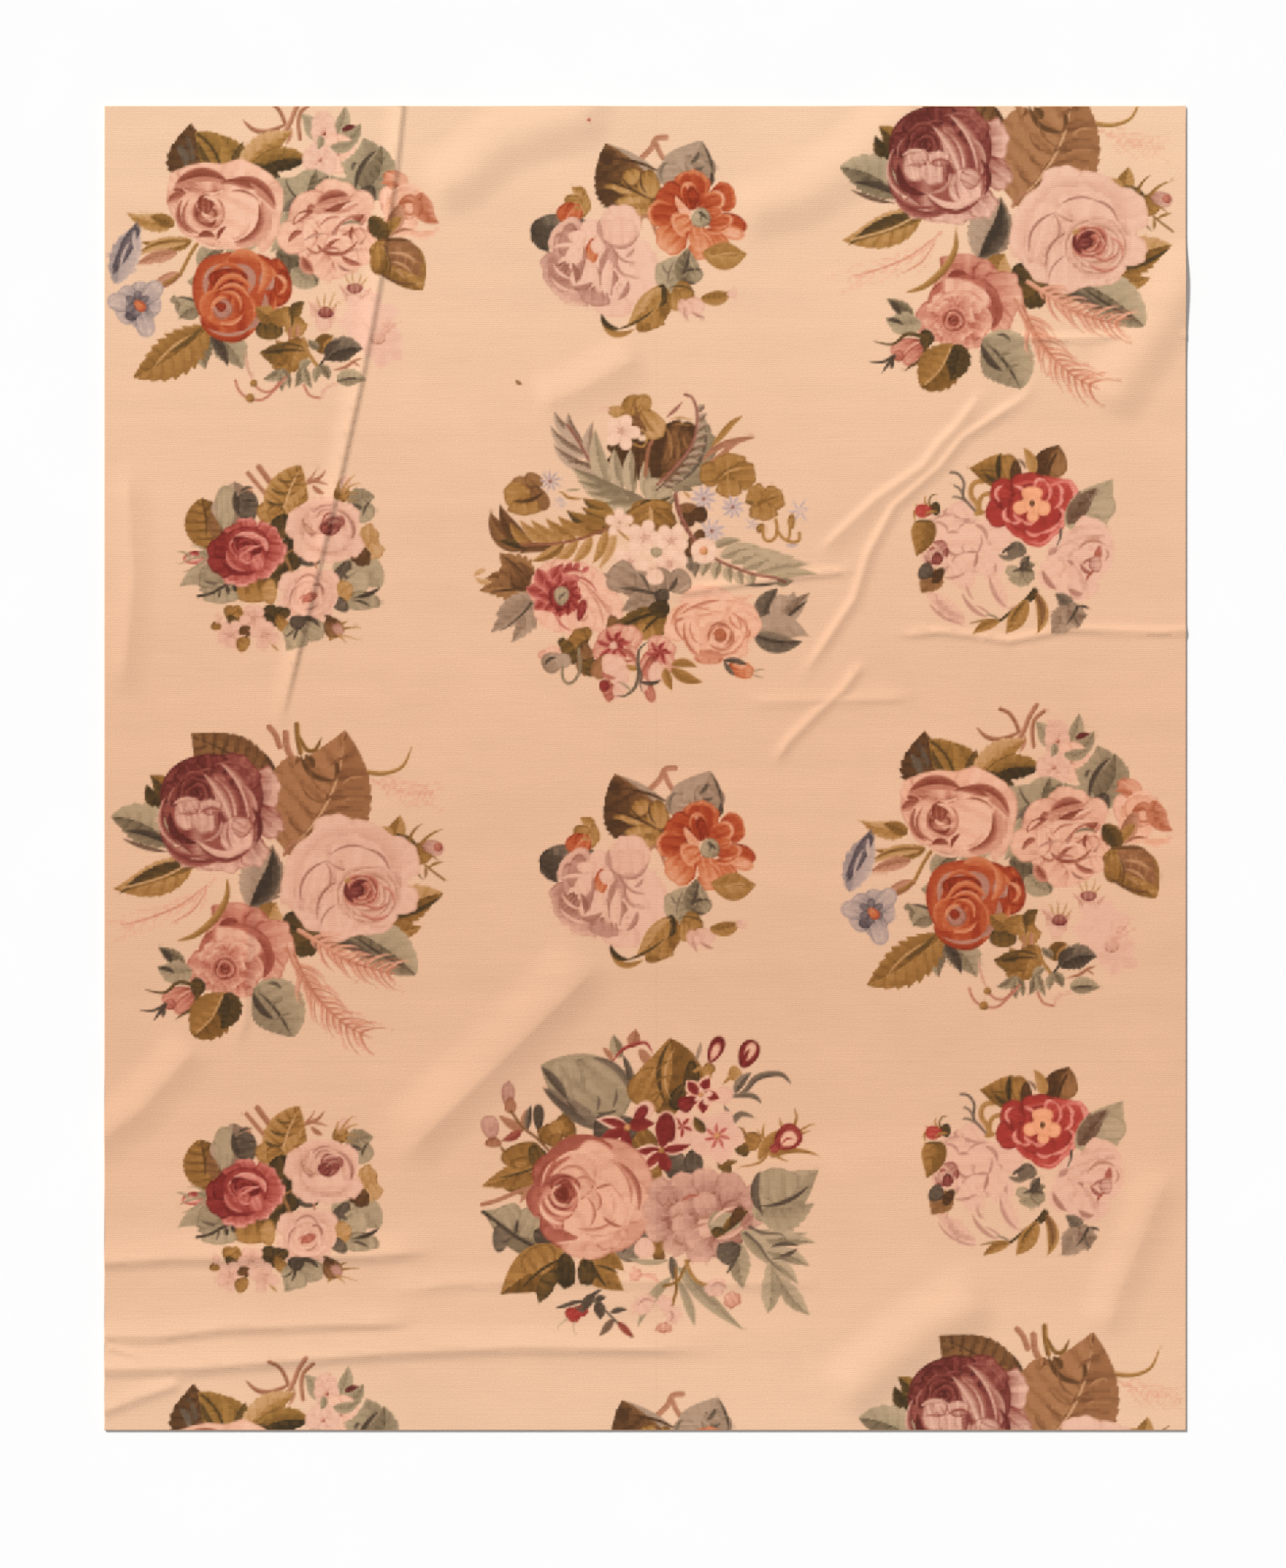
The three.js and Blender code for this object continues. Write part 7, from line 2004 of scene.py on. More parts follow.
# %% The crimson rose
# Columns: shape, its sizes in mm from the cartoon's corner, run of yarn, tones
CRIMSON_ROSE_AND_TWO = [
    # salmon stems at the top
    (stroke, 133, 104, 160, 136, 0, 6, "terra", 0.5, 0.4, "none"),
    (stroke, 148, 96, 170, 126, 0, 8, "terra", 0.5, 0.3, "none"),
    (stroke, 130, 122, 140, 130, 0, 6, "terra", 0.8, 0.6),
    (stem, [(212, 118), (220, 108), (226, 98)], 4, "terra", 0.6, 0.5, "tip"),
    (stem, [(216, 116), (230, 110), (238, 100)], 6, "terra", 0.5, 0.3, "tip"),
    (stroke, 216, 114, 242, 120, 1, 6, "terra", 0.5, 0.3, "tip"),
    (stroke, 220, 120, 236, 132, -2, 7, "terra", 0.3, 0.5),
    # leaves behind
    (leaf, 94, 204, 70, 138, 4, 62, "ochre", (0.45, 0.35), (0.25, 0.1),
     {"teeth": 12, "depth": 0.06, "veins": 5, "shift": -0.4, "belly": 0.5, "foot": 0.5, "tip": 0.7}),
    (leaf, 100, 196, 84, 146, -2, 34, "umber", (0.7, 0.6), (0.3, 0.5), {"veins": 4, "shift": -0.3}),
    (stroke, 71, 142, 76, 190, 3, 3, "umber", 0.1, 0.1),
    (leaf, 108, 180, 114, 116, -4, 62, "taupe", (0.75, 0.85), (0.4, 0.5),
     {"veins": 3, "shift": -0.1, "tip": 0.7}),
    (petal, 103, 152, 62, 28, 12, "sage", 0.7, 0.85),
    (petal, 130, 148, 34, 38, 3, "slate", 0.4, 0.55),
    (stroke, 116, 128, 122, 162, -3, 8, "slate", 0.1, 0.3),
    (stroke, 122, 130, 140, 124, 3, 4, "slate", 0.2, 0.3),
    (stroke, 122, 146, 144, 142, 3, 5, "slate", 0.1, 0.2),
    (stroke, 122, 158, 146, 150, 4, 6, "slate", 0.3, 0.2),
    (petal, 160, 156, 30, 28, 8, "ochre", 0.4, 0.6),
    (leaf, 172, 172, 204, 93, 3, 56, "ochre", (0.5, 0.7), (0.45, 0.6),
     {"veins": 6, "shift": -0.4, "belly": 0.45, "foot": 0.4, "tip": 0.8, "teeth": 10, "depth": 0.05}),
    (leaf, 180, 166, 212, 122, -4, 30, "ochre", (0.6, 0.75), (0.5, 0.35), {"veins": 4, "shift": -0.3}),
    (stroke, 202, 100, 180, 158, -2, 3, "ochre", 0.95, 0.9),
    (stroke, 190, 128, 210, 110, 2, 3, "ochre", 0.2, 0.3),
    (stroke, 158, 140, 182, 146, -4, 5, "olive", 0.2, 0.3),
    (stroke, 164, 124, 188, 130, -4, 4, "olive", 0.3, 0.4),
    (stroke, 172, 110, 194, 114, -4, 4, "olive", 0.4, 0.5),
    (petal, 172, 160, 24, 28, 8, "ochre", 0.3, 0.5),
    (petal, 182, 176, 34, 42, 6, "olive", 0.1, 0.3),
    (petal, 188, 214, 46, 36, 6, "olive", 0.05, 0.2),
    (petal, 160, 232, 50, 60, 8, "olive", 0.15, 0.4),
    (petal, 140, 262, 34, 50, 6, "ochre", 0.15, 0.6),
    (stem, [(200, 205), (184, 214), (190, 232), (184, 246)], 3, "umber", 0.8, 0.7),
    (stem, [(182, 218), (194, 240)], 3, "umber", 0.8, 0.7),
    (petal, 216, 220, 20, 28, 6, "slate", 0.4, 0.3),
    (stem, [(222, 214), (224, 226), (226, 238)], 3, "terra", 0.6, 0.4),
    (petal, 161, 264, 22, 34, 3, "ochre", 0.6, 0.75),
]
print("crimson rose and two so far", len(CRIMSON_ROSE_AND_TWO), "rows")

# %% [markdown]
# The grey green leaves lie over the ones behind. Each of the two buds is a pair of petals
# with a few strokes.

# %% Grey green leaves and two buds
CRIMSON_ROSE_AND_TWO += [
    # grey green leaves
    (leaf, 112, 256, 40, 258, -16, 34, "sage", (0.8, 0.7), (0.75, 0.9), {"veins": 4}),
    (leaf, 116, 244, 66, 262, 2, 38, "sage", (0.7, 0.8), (0.5, 0.7), {"veins": 3}),
    (petal, 84, 240, 30, 44, 10, "sage", 0.5, 0.65, 0.03),
    (petal, 96, 268, 24, 48, 6, "sage", 0.7, 0.85, 0.03),
    (stem, [(66, 270), (84, 266), (98, 258), (110, 252)], 4, "slate", 0.1, 0.1),
    (stroke, 104, 256, 106, 268, 1, 6, "slate", 0.1, 0.2),
    (stroke, 112, 254, 116, 264, 1, 6, "slate", 0.0, 0.1),
    (stroke, 96, 258, 92, 274, 1, 3, "slate", 0.3, 0.3),
    (stroke, 72, 248, 92, 252, -2, 3, "slate", 0.4, 0.4),
    (leaf, 248, 240, 312, 258, 17, 50, "sage", (0.8, 0.85), (0.7, 0.6), {"veins": 4, "tip": 0.6}),
    (petal, 258, 244, 50, 24, 7, "slate", 0.5, 0.25),
    (petal, 278, 250, 38, 36, 3, "sage", 0.75, 0.95),
    (stroke, 258, 256, 284, 236, 3, 3, "sage", 0.5, 0.5),
    (petal, 284, 276, 26, 56, 6, "sage", 0.5, 0.8, 0.03),
    (petal, 262, 262, 26, 30, 8, "ochre", 0.8, 0.6),
    (stroke, 276, 272, 312, 258, -3, 6, "slate", 0.1, 0.1),
    (stroke, 276, 276, 298, 284, 2, 4, "slate", 0.2, 0.2),
    (stroke, 262, 236, 270, 246, -3, 5, "slate", 0.3, 0.5),
    (petal, 256, 280, 18, 30, 7, "slate", 0.5, 0.6),
    (leaf, 270, 150, 305, 136, 4, 34, "sage", (0.4, 0.6), (0.6, 0.8), {"teeth": 5}),
    (petal, 288, 154, 34, 30, 5, "sage", 0.5, 0.85),
    (stroke, 268, 150, 288, 152, 2, 8, "slate", 0.4, 0.3),
    (stroke, 288, 162, 298, 142, 2, 4, "slate", 0.3, 0.4),
    (petal, 296, 190, 36, 28, 6, "ochre", 0.85, 0.6, 0.06),
    (petal, 304, 208, 24, 24, 5, "ochre", 0.8, 0.9, 0.05),
    (petal, 286, 216, 26, 28, 7, "umber", 0.3, 0.15, 0.05),
    # the bud at the upper right
    (petal, 260, 130, 28, 20, 6.5, "ochre", 0.4, 0.3),
    (petal, 262, 120, 24, 16, 1, "blush", 0.6, 1.0),
    (stroke, 256, 128, 258, 112, 2, 4, "ochre", 0.6, 0.7, "tip"),
    (stroke, 260, 128, 278, 106, 2, 4, "ochre", 0.6, 0.7, "tip"),
    (stroke, 262, 130, 284, 118, 3, 4, "ochre", 0.6, 0.7, "tip"),
    (stroke, 264, 134, 282, 134, 3, 4, "ochre", 0.5, 0.6, "tip"),
    (stroke, 262, 136, 276, 140, -2, 4, "ochre", 0.5, 0.6, "tip"),
    # the whiskered bud at the left
    (petal, 62, 218, 18, 32, 6, "madder", 0.4, 0.9),
    (petal, 58, 219, 8, 20, 6, "blush", 0.9, 0.9),
    (leaf, 82, 214, 66, 209, 2, 10, "sage", (0.5, 0.7), (0.4, 0.6)),
    (stroke, 78, 212, 54, 202, -4, 4, "sage", 0.6, 0.8, "tip"),
    (stroke, 54, 216, 38, 210, -2, 5, "sage", 0.6, 0.8, "tip"),
    (stroke, 72, 216, 40, 228, -2, 4, "sage", 0.5, 0.8, "tip"),
    (stroke, 76, 220, 44, 238, 2, 4, "sage", 0.5, 0.8, "tip"),
    (stroke, 80, 222, 68, 242, 2, 5, "sage", 0.4, 0.8, "tip"),
]
print("crimson rose and two so far", len(CRIMSON_ROSE_AND_TWO), "rows")

# %% [markdown]
# A dark rose and a pale one come next. The heart of the pale one is a whorl.

# %% The crimson rose and the upper blush rose
CRIMSON_ROSE_AND_TWO += [
    # the crimson rose
    (petal, 131, 180, 32, 32, 12, "madder", 0.35, 0.75, 0.05, {"rim": 0.25}),
    (petal, 158, 189, 32, 39, 1.4, "madder", 0.35, 0.7, 0.06, {"rim": 0.3}),
    (petal, 167, 209, 36, 37, 3.4, "madder", 0.25, 0.8, 0.06, {"rim": 0.3}),
    (petal, 156, 230, 28, 36, 4.4, "madder", 0.25, 0.85, 0.06, {"rim": 0.3}),
    (petal, 122, 239, 36, 46, 6.1, "madder", 0.25, 0.8, 0.06, {"rim": 0.35}),
    (petal, 104, 216, 52, 53, 8.6, "madder", 0.1, 0.3, 0.04),
    (petal, 115, 191, 34, 39, 10.6, "madder", 0.3, 0.6, 0.05),
    (petal, 101, 203, 27, 36, 9.4, "madder", 0.0, 0.25, 0.04),
    (petal, 131, 209, 66, 61, 12, "madder", 0.3, 0.4),
    (stroke, 97, 223, 133, 239, -7, 7, "madder", 0.0, 0.2),
    (petal, 131, 214, 50, 52, 6, "madder", 0.6, 0.4),
    (stroke, 104, 209, 129, 235, -7, 7, "madder", 0.5, 0.9),
    (petal, 143, 217, 46, 21, 5.2, "madder", 0.9, 0.75),
    (stroke, 108, 200, 156, 198, 12, 9, "madder", 0.98, 0.85),
    (stroke, 145, 189, 158, 210, 4, 8, "madder", 0.98, 0.8),
    (petal, 131, 203, 23, 41, 12.8, "madder", 0.1, 0.15),
    (stroke, 120, 200, 140, 200, 5, 4, "madder", 0.6, 0.1),
    (stroke, 120, 209, 147, 203, 2, 5, "madder", 0.85, 0.5),
    (petal, 126, 216, 18, 27, 6, "madder", 0.6, 0.75),
    (stroke, 122, 217, 154, 201, 3, 4, "madder", 0.95, 0.8),
    (stroke, 108, 196, 117, 216, -4, 5, "madder", 0.9, 0.2),
    (stroke, 115, 196, 122, 214, -4, 4, "madder", 0.7, 0.1),
    (stroke, 124, 221, 138, 223, -3, 4, "madder", 0.95, 0.8),
    # the upper blush rose
    (petal, 219, 153, 27, 33, 11, "blush", 0.55, 0.95, 0.04, {"rim": 0.2}),
    (petal, 246, 155, 33, 45, 12.6, "blush", 0.8, 0.98, 0.04),
    (petal, 266, 163, 36, 33, 2.4, "blush", 0.75, 0.98, 0.04),
    (petal, 200, 172, 31, 43, 9.5, "blush", 0.5, 1.0, 0.04),
    (petal, 206, 197, 24, 40, 9, "blush", 0.6, 1.0, 0.04),
    (petal, 221, 205, 40, 33, 7, "blush", 0.7, 1.0, 0.03),
    (petal, 246, 207, 36, 54, 6, "blush", 0.8, 1.0, 0.03),
    (petal, 269, 197, 45, 33, 4.4, "blush", 0.8, 1.0, 0.04),
    (petal, 237, 178, 69, 76, 12, "blush", 0.88, 0.9),
    (whorl, 240, 180, 76, 3, 1, "blush", 1.0, 0.4, 0.9, 4),
    (stroke, 207, 164, 222, 188, -5, 6, "blush", 0.1, 0.5),
    (stroke, 214, 161, 231, 192, -7, 5, "blush", 0.95, 0.3),
    (stroke, 211, 172, 232, 188, -4, 7, "blush", 0.25, 0.6),
    (stroke, 221, 159, 248, 149, 5, 4, "mauve", 0.35, 0.75),
    (stroke, 226, 166, 246, 155, 6, 4, "mauve", 0.25, 0.75),
    (stroke, 242, 151, 274, 168, 7, 5, "blush", 0.95, 0.4),
    (stroke, 253, 155, 273, 180, 6, 5, "mauve", 0.25, 0.75),
    (stroke, 273, 166, 264, 203, 7, 4, "mauve", 0.25, 0.35),
    (stroke, 209, 196, 242, 209, -3, 4, "blush", 0.9, 0.4),
    (stroke, 242, 209, 264, 203, -3, 5, "blush", 0.9, 0.35),
    (stroke, 214, 184, 231, 188, -2, 4, "mauve", 0.2, 0.25),
    (petal, 244, 194, 20, 63, 6, "blush", 0.95, 0.98, 0.03),
    (petal, 246, 173, 27, 31, 9, "crimson", 0.4, 0.6),
    (petal, 239, 178, 18, 18, 7.5, "crimson", 0.3, 0.35),
    (stroke, 236, 168, 259, 164, 5, 5, "crimson", 0.9, 0.6),
    (stroke, 241, 176, 259, 170, 5, 3, "mauve", 0.45, 0.45),
    (stroke, 244, 180, 261, 174, 3, 4, "crimson", 0.3, 0.4),
    (stroke, 256, 161, 261, 176, 3, 5, "crimson", 0.4, 0.5),
]
print("crimson rose and two so far", len(CRIMSON_ROSE_AND_TWO), "rows")

# %% [markdown]
# The third rose, the small flowers and the spiky bud end this bouquet.

# %% The lower rose and the foot
CRIMSON_ROSE_AND_TWO += [
    # the lower pale rose
    (petal, 215, 250, 34, 51, 12, "blush", 0.9, 1.0, 0.03),
    (petal, 194, 256, 41, 34, 10, "blush", 0.9, 1.0, 0.04),
    (petal, 232, 254, 51, 31, 2, "blush", 0.9, 0.98, 0.03),
    (petal, 197, 281, 48, 38, 8, "blush", 0.95, 1.0, 0.03),
    (petal, 221, 287, 43, 51, 6, "blush", 0.92, 1.0, 0.03),
    (petal, 216, 267, 68, 68, 12, "blush", 0.9, 0.9),
    (whorl, 216, 270, 66, 3, 4, "blush", 1.0, 0.5, 0.9, 4),
    (stroke, 197, 254, 232, 256, 14, 3, "mauve", 0.4, 0.4),
    (stroke, 191, 281, 201, 256, 5, 3, "mauve", 0.4, 0.4),
    (stroke, 226, 252, 234, 269, 3, 4, "mauve", 0.2, 0.4),
    (stroke, 204, 272, 227, 257, 9, 3, "blush", 0.95, 0.6),
    (petal, 216, 272, 12, 22, 5, "dusky", 0.45, 0.6),
    (stroke, 202, 274, 218, 269, 2, 3, "dusky", 0.5, 0.6),
    (stroke, 207, 278, 229, 274, -4, 3, "blush", 0.9, 0.5),
    (stroke, 212, 287, 229, 278, -3, 3, "mauve", 0.4, 0.4),
    (stroke, 221, 256, 229, 256, 2, 3, "mauve", 0.3, 0.3),
    # leaves and small flowers at the bottom
    (leaf, 128, 294, 104, 286, 3, 24, "ochre", (0.5, 0.6), (0.3, 0.5)),
    (petal, 112, 294, 20, 26, 8, "ochre", 0.5, 0.35),
    (petal, 166, 296, 28, 34, 12, "olive", 0.2, 0.2, 0.06),
    (petal, 160, 304, 18, 24, 6, "olive", 0.1, 0.2),
    (petal, 180, 294, 22, 14, 2, "olive", 0.1, 0.3),
    (petal, 178, 306, 26, 16, 5, "ochre", 0.2, 0.6),
    (petal, 112, 304, 20, 14, 5, "olive", 0.3, 0.4),
    (petal, 132, 314, 20, 20, 5, "umber", 0.3, 0.2),
    (blossom, 140, 300, 36, 5, 11, "blush", 0.6, 1.0, None, 0.2, 0.42),
    (blossom, 110, 322, 40, 5, 1, "blush", 0.6, 1.0, None, 0.2, 0.42),
    (blossom, 156, 324, 40, 4, 12.6, "blush", 0.6, 1.0, None, 0.2, 0.4),
    (leaf, 122, 322, 138, 312, 2, 12, "umber", (0.3, 0.2), (0.4, 0.3)),
    (petal, 126, 334, 18, 22, 4, "ochre", 0.3, 0.6),
    (stroke, 164, 336, 174, 344, 1, 3, "ochre", 0.5, 0.5),
    (petal, 90, 310, 12, 14, 6, "ochre", 0.2, 0.5),
    (petal, 92, 300, 14, 10, 12, "blush", 0.7, 1.0),
    (leaf, 196, 302, 184, 344, 6, 34, "sage", (0.6, 0.8), (0.5, 0.75), {"teeth": 5}),
    (petal, 200, 318, 44, 34, 6, "sage", 0.6, 0.9, 0.04),
    (petal, 220, 314, 36, 30, 4, "sage", 0.5, 0.85, 0.04),
    (petal, 200, 306, 20, 22, 12, "slate", 0.1, 0.4),
    (stroke, 198, 304, 230, 312, 8, 7, "slate", 0.2, 0.2),
    (stroke, 200, 308, 194, 330, 1, 4, "slate", 0.1, 0.2),
    (stroke, 196, 314, 182, 324, 2, 3, "slate", 0.2, 0.4),
    # the spiky bud at the lower right
    (petal, 248, 312, 30, 26, 5, "umber", 0.3, 0.7),
    (petal, 254, 314, 20, 14, 4.4, "mauve", 0.4, 0.7),
    (stroke, 236, 296, 250, 308, 2, 7, "umber", 0.1, 0.2),
    (stroke, 260, 308, 270, 304, 1, 3, "ochre", 0.3, 0.4, "tip"),
    (stroke, 262, 314, 286, 312, 1, 3, "ochre", 0.3, 0.4, "tip"),
    (stroke, 254, 322, 284, 330, 1, 2.5, "ochre", 0.6, 0.7, "tip"),
    (stroke, 256, 324, 266, 334, 1, 3, "ochre", 0.5, 0.7, "tip"),
    (stroke, 246, 324, 242, 330, 1, 4, "ochre", 0.4, 0.5),
]
print("crimson rose and two in all", len(CRIMSON_ROSE_AND_TWO), "rows")

# %% [markdown]
# The last bouquet lies at the far right, and again at the near right. Its peony is pale, so
# the strokes between the petals draw it.

# %% The red flower
# Columns: shape, its sizes in mm from the cartoon's corner, run of yarn, tones
RED_FLOWER_AND_PEONY = [
    # the pale peony
    (petal, 96, 195, 36, 44, 11, "blush", 0.9, 0.98, 0.02, {"line": 0.14}),
    (petal, 140, 222, 56, 46, 3, "blush", 0.93, 0.98, 0.02, {"line": 0.14}),
    (petal, 72, 214, 42, 46, 10, "blush", 0.92, 1.0, 0.02, {"line": 0.14}),
    (petal, 62, 244, 40, 44, 9, "blush", 0.88, 0.97, 0.02, {"line": 0.14}),
    (petal, 100, 240, 84, 80, 3, "blush", 0.94, 0.96, 0.0, {"line": 0.05}),
    (petal, 94, 272, 54, 30, 5, "blush", 0.93, 0.98, 0.0, {"line": 0.12}),
    (petal, 134, 262, 46, 34, 4.6, "blush", 0.97, 1.0, 0.0, {"line": 0.05}),
    (petal, 76, 320, 66, 20, 4.4, "blush", 0.86, 0.96, 0.0, {"line": 0.12}),
    (petal, 146, 296, 56, 16, 5.3, "blush", 0.92, 1.0, 0.0, {"line": 0.1}),
    (stroke, 78, 186, 82, 196, -5, 4, "mauve", 0.6, 0.6),
    (stroke, 84, 192, 114, 203, -4, 3.5, "mauve", 0.6, 0.6),
    (stroke, 58, 204, 84, 196, 3, 3.5, "mauve", 0.6, 0.7),
    (stroke, 60, 206, 80, 220, 6, 4, "mauve", 0.55, 0.6),
    (stroke, 79, 219, 94, 219, 1, 4, "mauve", 0.5, 0.5),
    (stroke, 92, 216, 120, 204, 5, 3.5, "mauve", 0.6, 0.6),
    (stroke, 114, 208, 132, 230, 6, 6, "mauve", 0.6, 0.5),
    (stroke, 124, 222, 118, 248, 3, 3.5, "mauve", 0.5, 0.6),
    (stroke, 100, 234, 106, 247, -4, 3, "mauve", 0.6, 0.7),
    (stroke, 104, 246, 122, 246, 1, 4, "mauve", 0.5, 0.5),
    (stroke, 119, 246, 114, 268, 1, 5, "mauve", 0.4, 0.5),
    (stroke, 78, 240, 94, 250, -3, 4, "mauve", 0.5, 0.5),
    (stroke, 84, 262, 104, 247, 5, 3, "mauve", 0.6, 0.7),
    (stroke, 82, 262, 78, 274, -2, 3, "mauve", 0.6, 0.7),
    (stroke, 72, 279, 104, 272, -4, 4, "mauve", 0.7, 0.5),
    (stroke, 132, 232, 138, 240, 2, 3, "mauve", 0.6, 0.8),
    (stroke, 112, 268, 118, 276, 1, 5, "mauve", 0.7, 0.9),
    (petal, 63, 246, 30, 34, 5, "crimson", 0.4, 0.55),
    (petal, 66, 240, 26, 18, 2, "crimson", 0.5, 0.7),
    (petal, 56, 244, 26, 24, 9, "blush", 0.75, 0.9),
    (petal, 62, 248, 22, 18, 9, "mauve", 0.8, 0.85),
    (petal, 65, 254, 18, 14, 6, "crimson", 0.25, 0.45),
    (stroke, 56, 244, 62, 242, 3, 4, "dusky", 0.2, 0.4),
    (stroke, 48, 248, 54, 254, -2, 4, "mauve", 0.4, 0.6),
    (stroke, 74, 250, 70, 262, 3, 4, "blush", 0.98, 0.98),
    # the feathery lower petals
    (stroke, 51, 309, 104, 342, -9, 4, "mauve", 0.6, 0.7),
    (stroke, 63, 303, 100, 334, -8, 9, "mauve", 0.9, 0.7),
    (stroke, 98, 300, 134, 334, -6, 6, "mauve", 0.6, 0.6),
    (stroke, 104, 288, 114, 310, -2, 4, "mauve", 0.7, 0.7),
    (stroke, 136, 278, 160, 321, -6, 6, "mauve", 0.7, 0.6),
    (stroke, 144, 260, 144, 274, -1, 5, "mauve", 0.6, 0.8),
    (stroke, 116, 318, 138, 332, 2, 3, "mauve", 0.5, 0.7),
    # curly twigs and an ochre fork
    (stem, [(83, 138), (93, 140), (101, 152), (100, 170), (108, 181), (118, 192)], 3.5, "slate", 0.6, 0.5),
    (stem, [(88, 156), (95, 160), (100, 170)], 3, "slate", 0.7, 0.6),
    (stem, [(87, 171), (95, 172), (103, 177)], 3, "slate", 0.7, 0.6),
    (stroke, 118, 194, 126, 192, 0, 6, "ochre", 0.6, 0.5, "none"),
    (stem, [(122, 192), (118, 180), (111, 170), (111, 158), (117, 151), (126, 150)], 7, "ochre", 0.65, 0.5),
    (stem, [(122, 192), (122, 178), (127, 169), (137, 166)], 6, "ochre", 0.6, 0.5),
]
print("red flower and peony so far", len(RED_FLOWER_AND_PEONY), "rows")

# %% [markdown]
# More leaves and a red bud go down before the red flower.

# %% Brown leaves and the red bud
RED_FLOWER_AND_PEONY += [
    # brown leaves above
    (leaf, 172, 152, 107, 132, 0, 46, "ochre", (0.25, 0.15), (0.3, 0.5),
     {"veins": 4, "tip": 1.2, "lop": -0.35, "foot": 0.5}),
    (stroke, 128, 138, 164, 156, -4, 8, "olive", 0.3, 0.1),
    (leaf, 158, 152, 152, 112, 4, 34, "ochre", (0.4, 0.5), (0.5, 0.4), {"lop": -0.5, "veins": 2}),
    (petal, 164, 134, 42, 24, 11.5, "ochre", 0.35, 0.5),
    (petal, 171, 138, 34, 16, 6, "umber", 0.3, 0.0),
    (stroke, 150, 112, 150, 152, -3, 8, "olive", 0.0, 0.2),
    (stroke, 122, 136, 146, 138, 2, 3, "olive", 0.4, 0.5),
    (leaf, 216, 147, 230, 101, 4, 46, "umber", (0.3, 0.1), (0.6, 0.7), {"veins": 2, "foot": 0.4}),
    (petal, 228, 124, 40, 24, 6, "umber", 0.55, 0.85),
    (petal, 203, 130, 26, 20, 7, "umber", 0.1, 0.0),
    (stroke, 214, 146, 228, 110, 3, 5, "umber", 0.0, 0.1),
    (leaf, 193, 142, 180, 104, -5, 16, "ochre", (0.6, 0.75), (0.5, 0.6), {"veins": 0}),
    (stroke, 174, 120, 184, 134, 2, 4, "taupe", 0.3, 0.3),
    # the red bud and leaves at the left
    (stem, [(35, 203), (34, 192), (41, 189), (49, 190)], 3.5, "ochre", 0.4, 0.5, "both"),
    (stem, [(52, 184), (48, 176), (50, 169)], 3.5, "ochre", 0.5, 0.6, "tip"),
    (stem, [(56, 184), (54, 176), (58, 169), (66, 167)], 3, "olive", 0.4, 0.5, "tip"),
    (stroke, 52, 184, 34, 180, 2, 3, "ochre", 0.7, 0.8),
    (petal, 62, 187, 14, 18, 3, "olive", 0.3, 0.2),
    (petal, 47, 190, 24, 18, 9, "red", 0.4, 0.6),
    (stroke, 48, 196, 66, 192, 3, 4, "ochre", 0.6, 0.4),
    (leaf, 48, 202, 36, 252, 3, 34, "ochre", (0.3, 0.15), (0.4, 0.5),
     {"veins": 3, "belly": 0.3, "foot": 0.25}),
    (stroke, 34, 205, 58, 204, 1, 4, "olive", 0.5, 0.3),
    (stroke, 56, 206, 46, 240, -2, 5, "olive", 0.6, 0.7),
    (leaf, 66, 270, 43, 301, 0, 34, "umber", (0.6, 0.8), (0.7, 0.9), {"teeth": 6, "veins": 2, "foot": 0.4}),
    (petal, 50, 272, 20, 24, 10, "slate", 0.3, 0.5),
    (petal, 66, 277, 14, 24, 4, "umber", 0.1, 0.05),
]
print("red flower and peony so far", len(RED_FLOWER_AND_PEONY), "rows")

# %% [markdown]
# The red flower's petals show only by their light edges, which are bowed strokes. The leaf
# at its right follows.

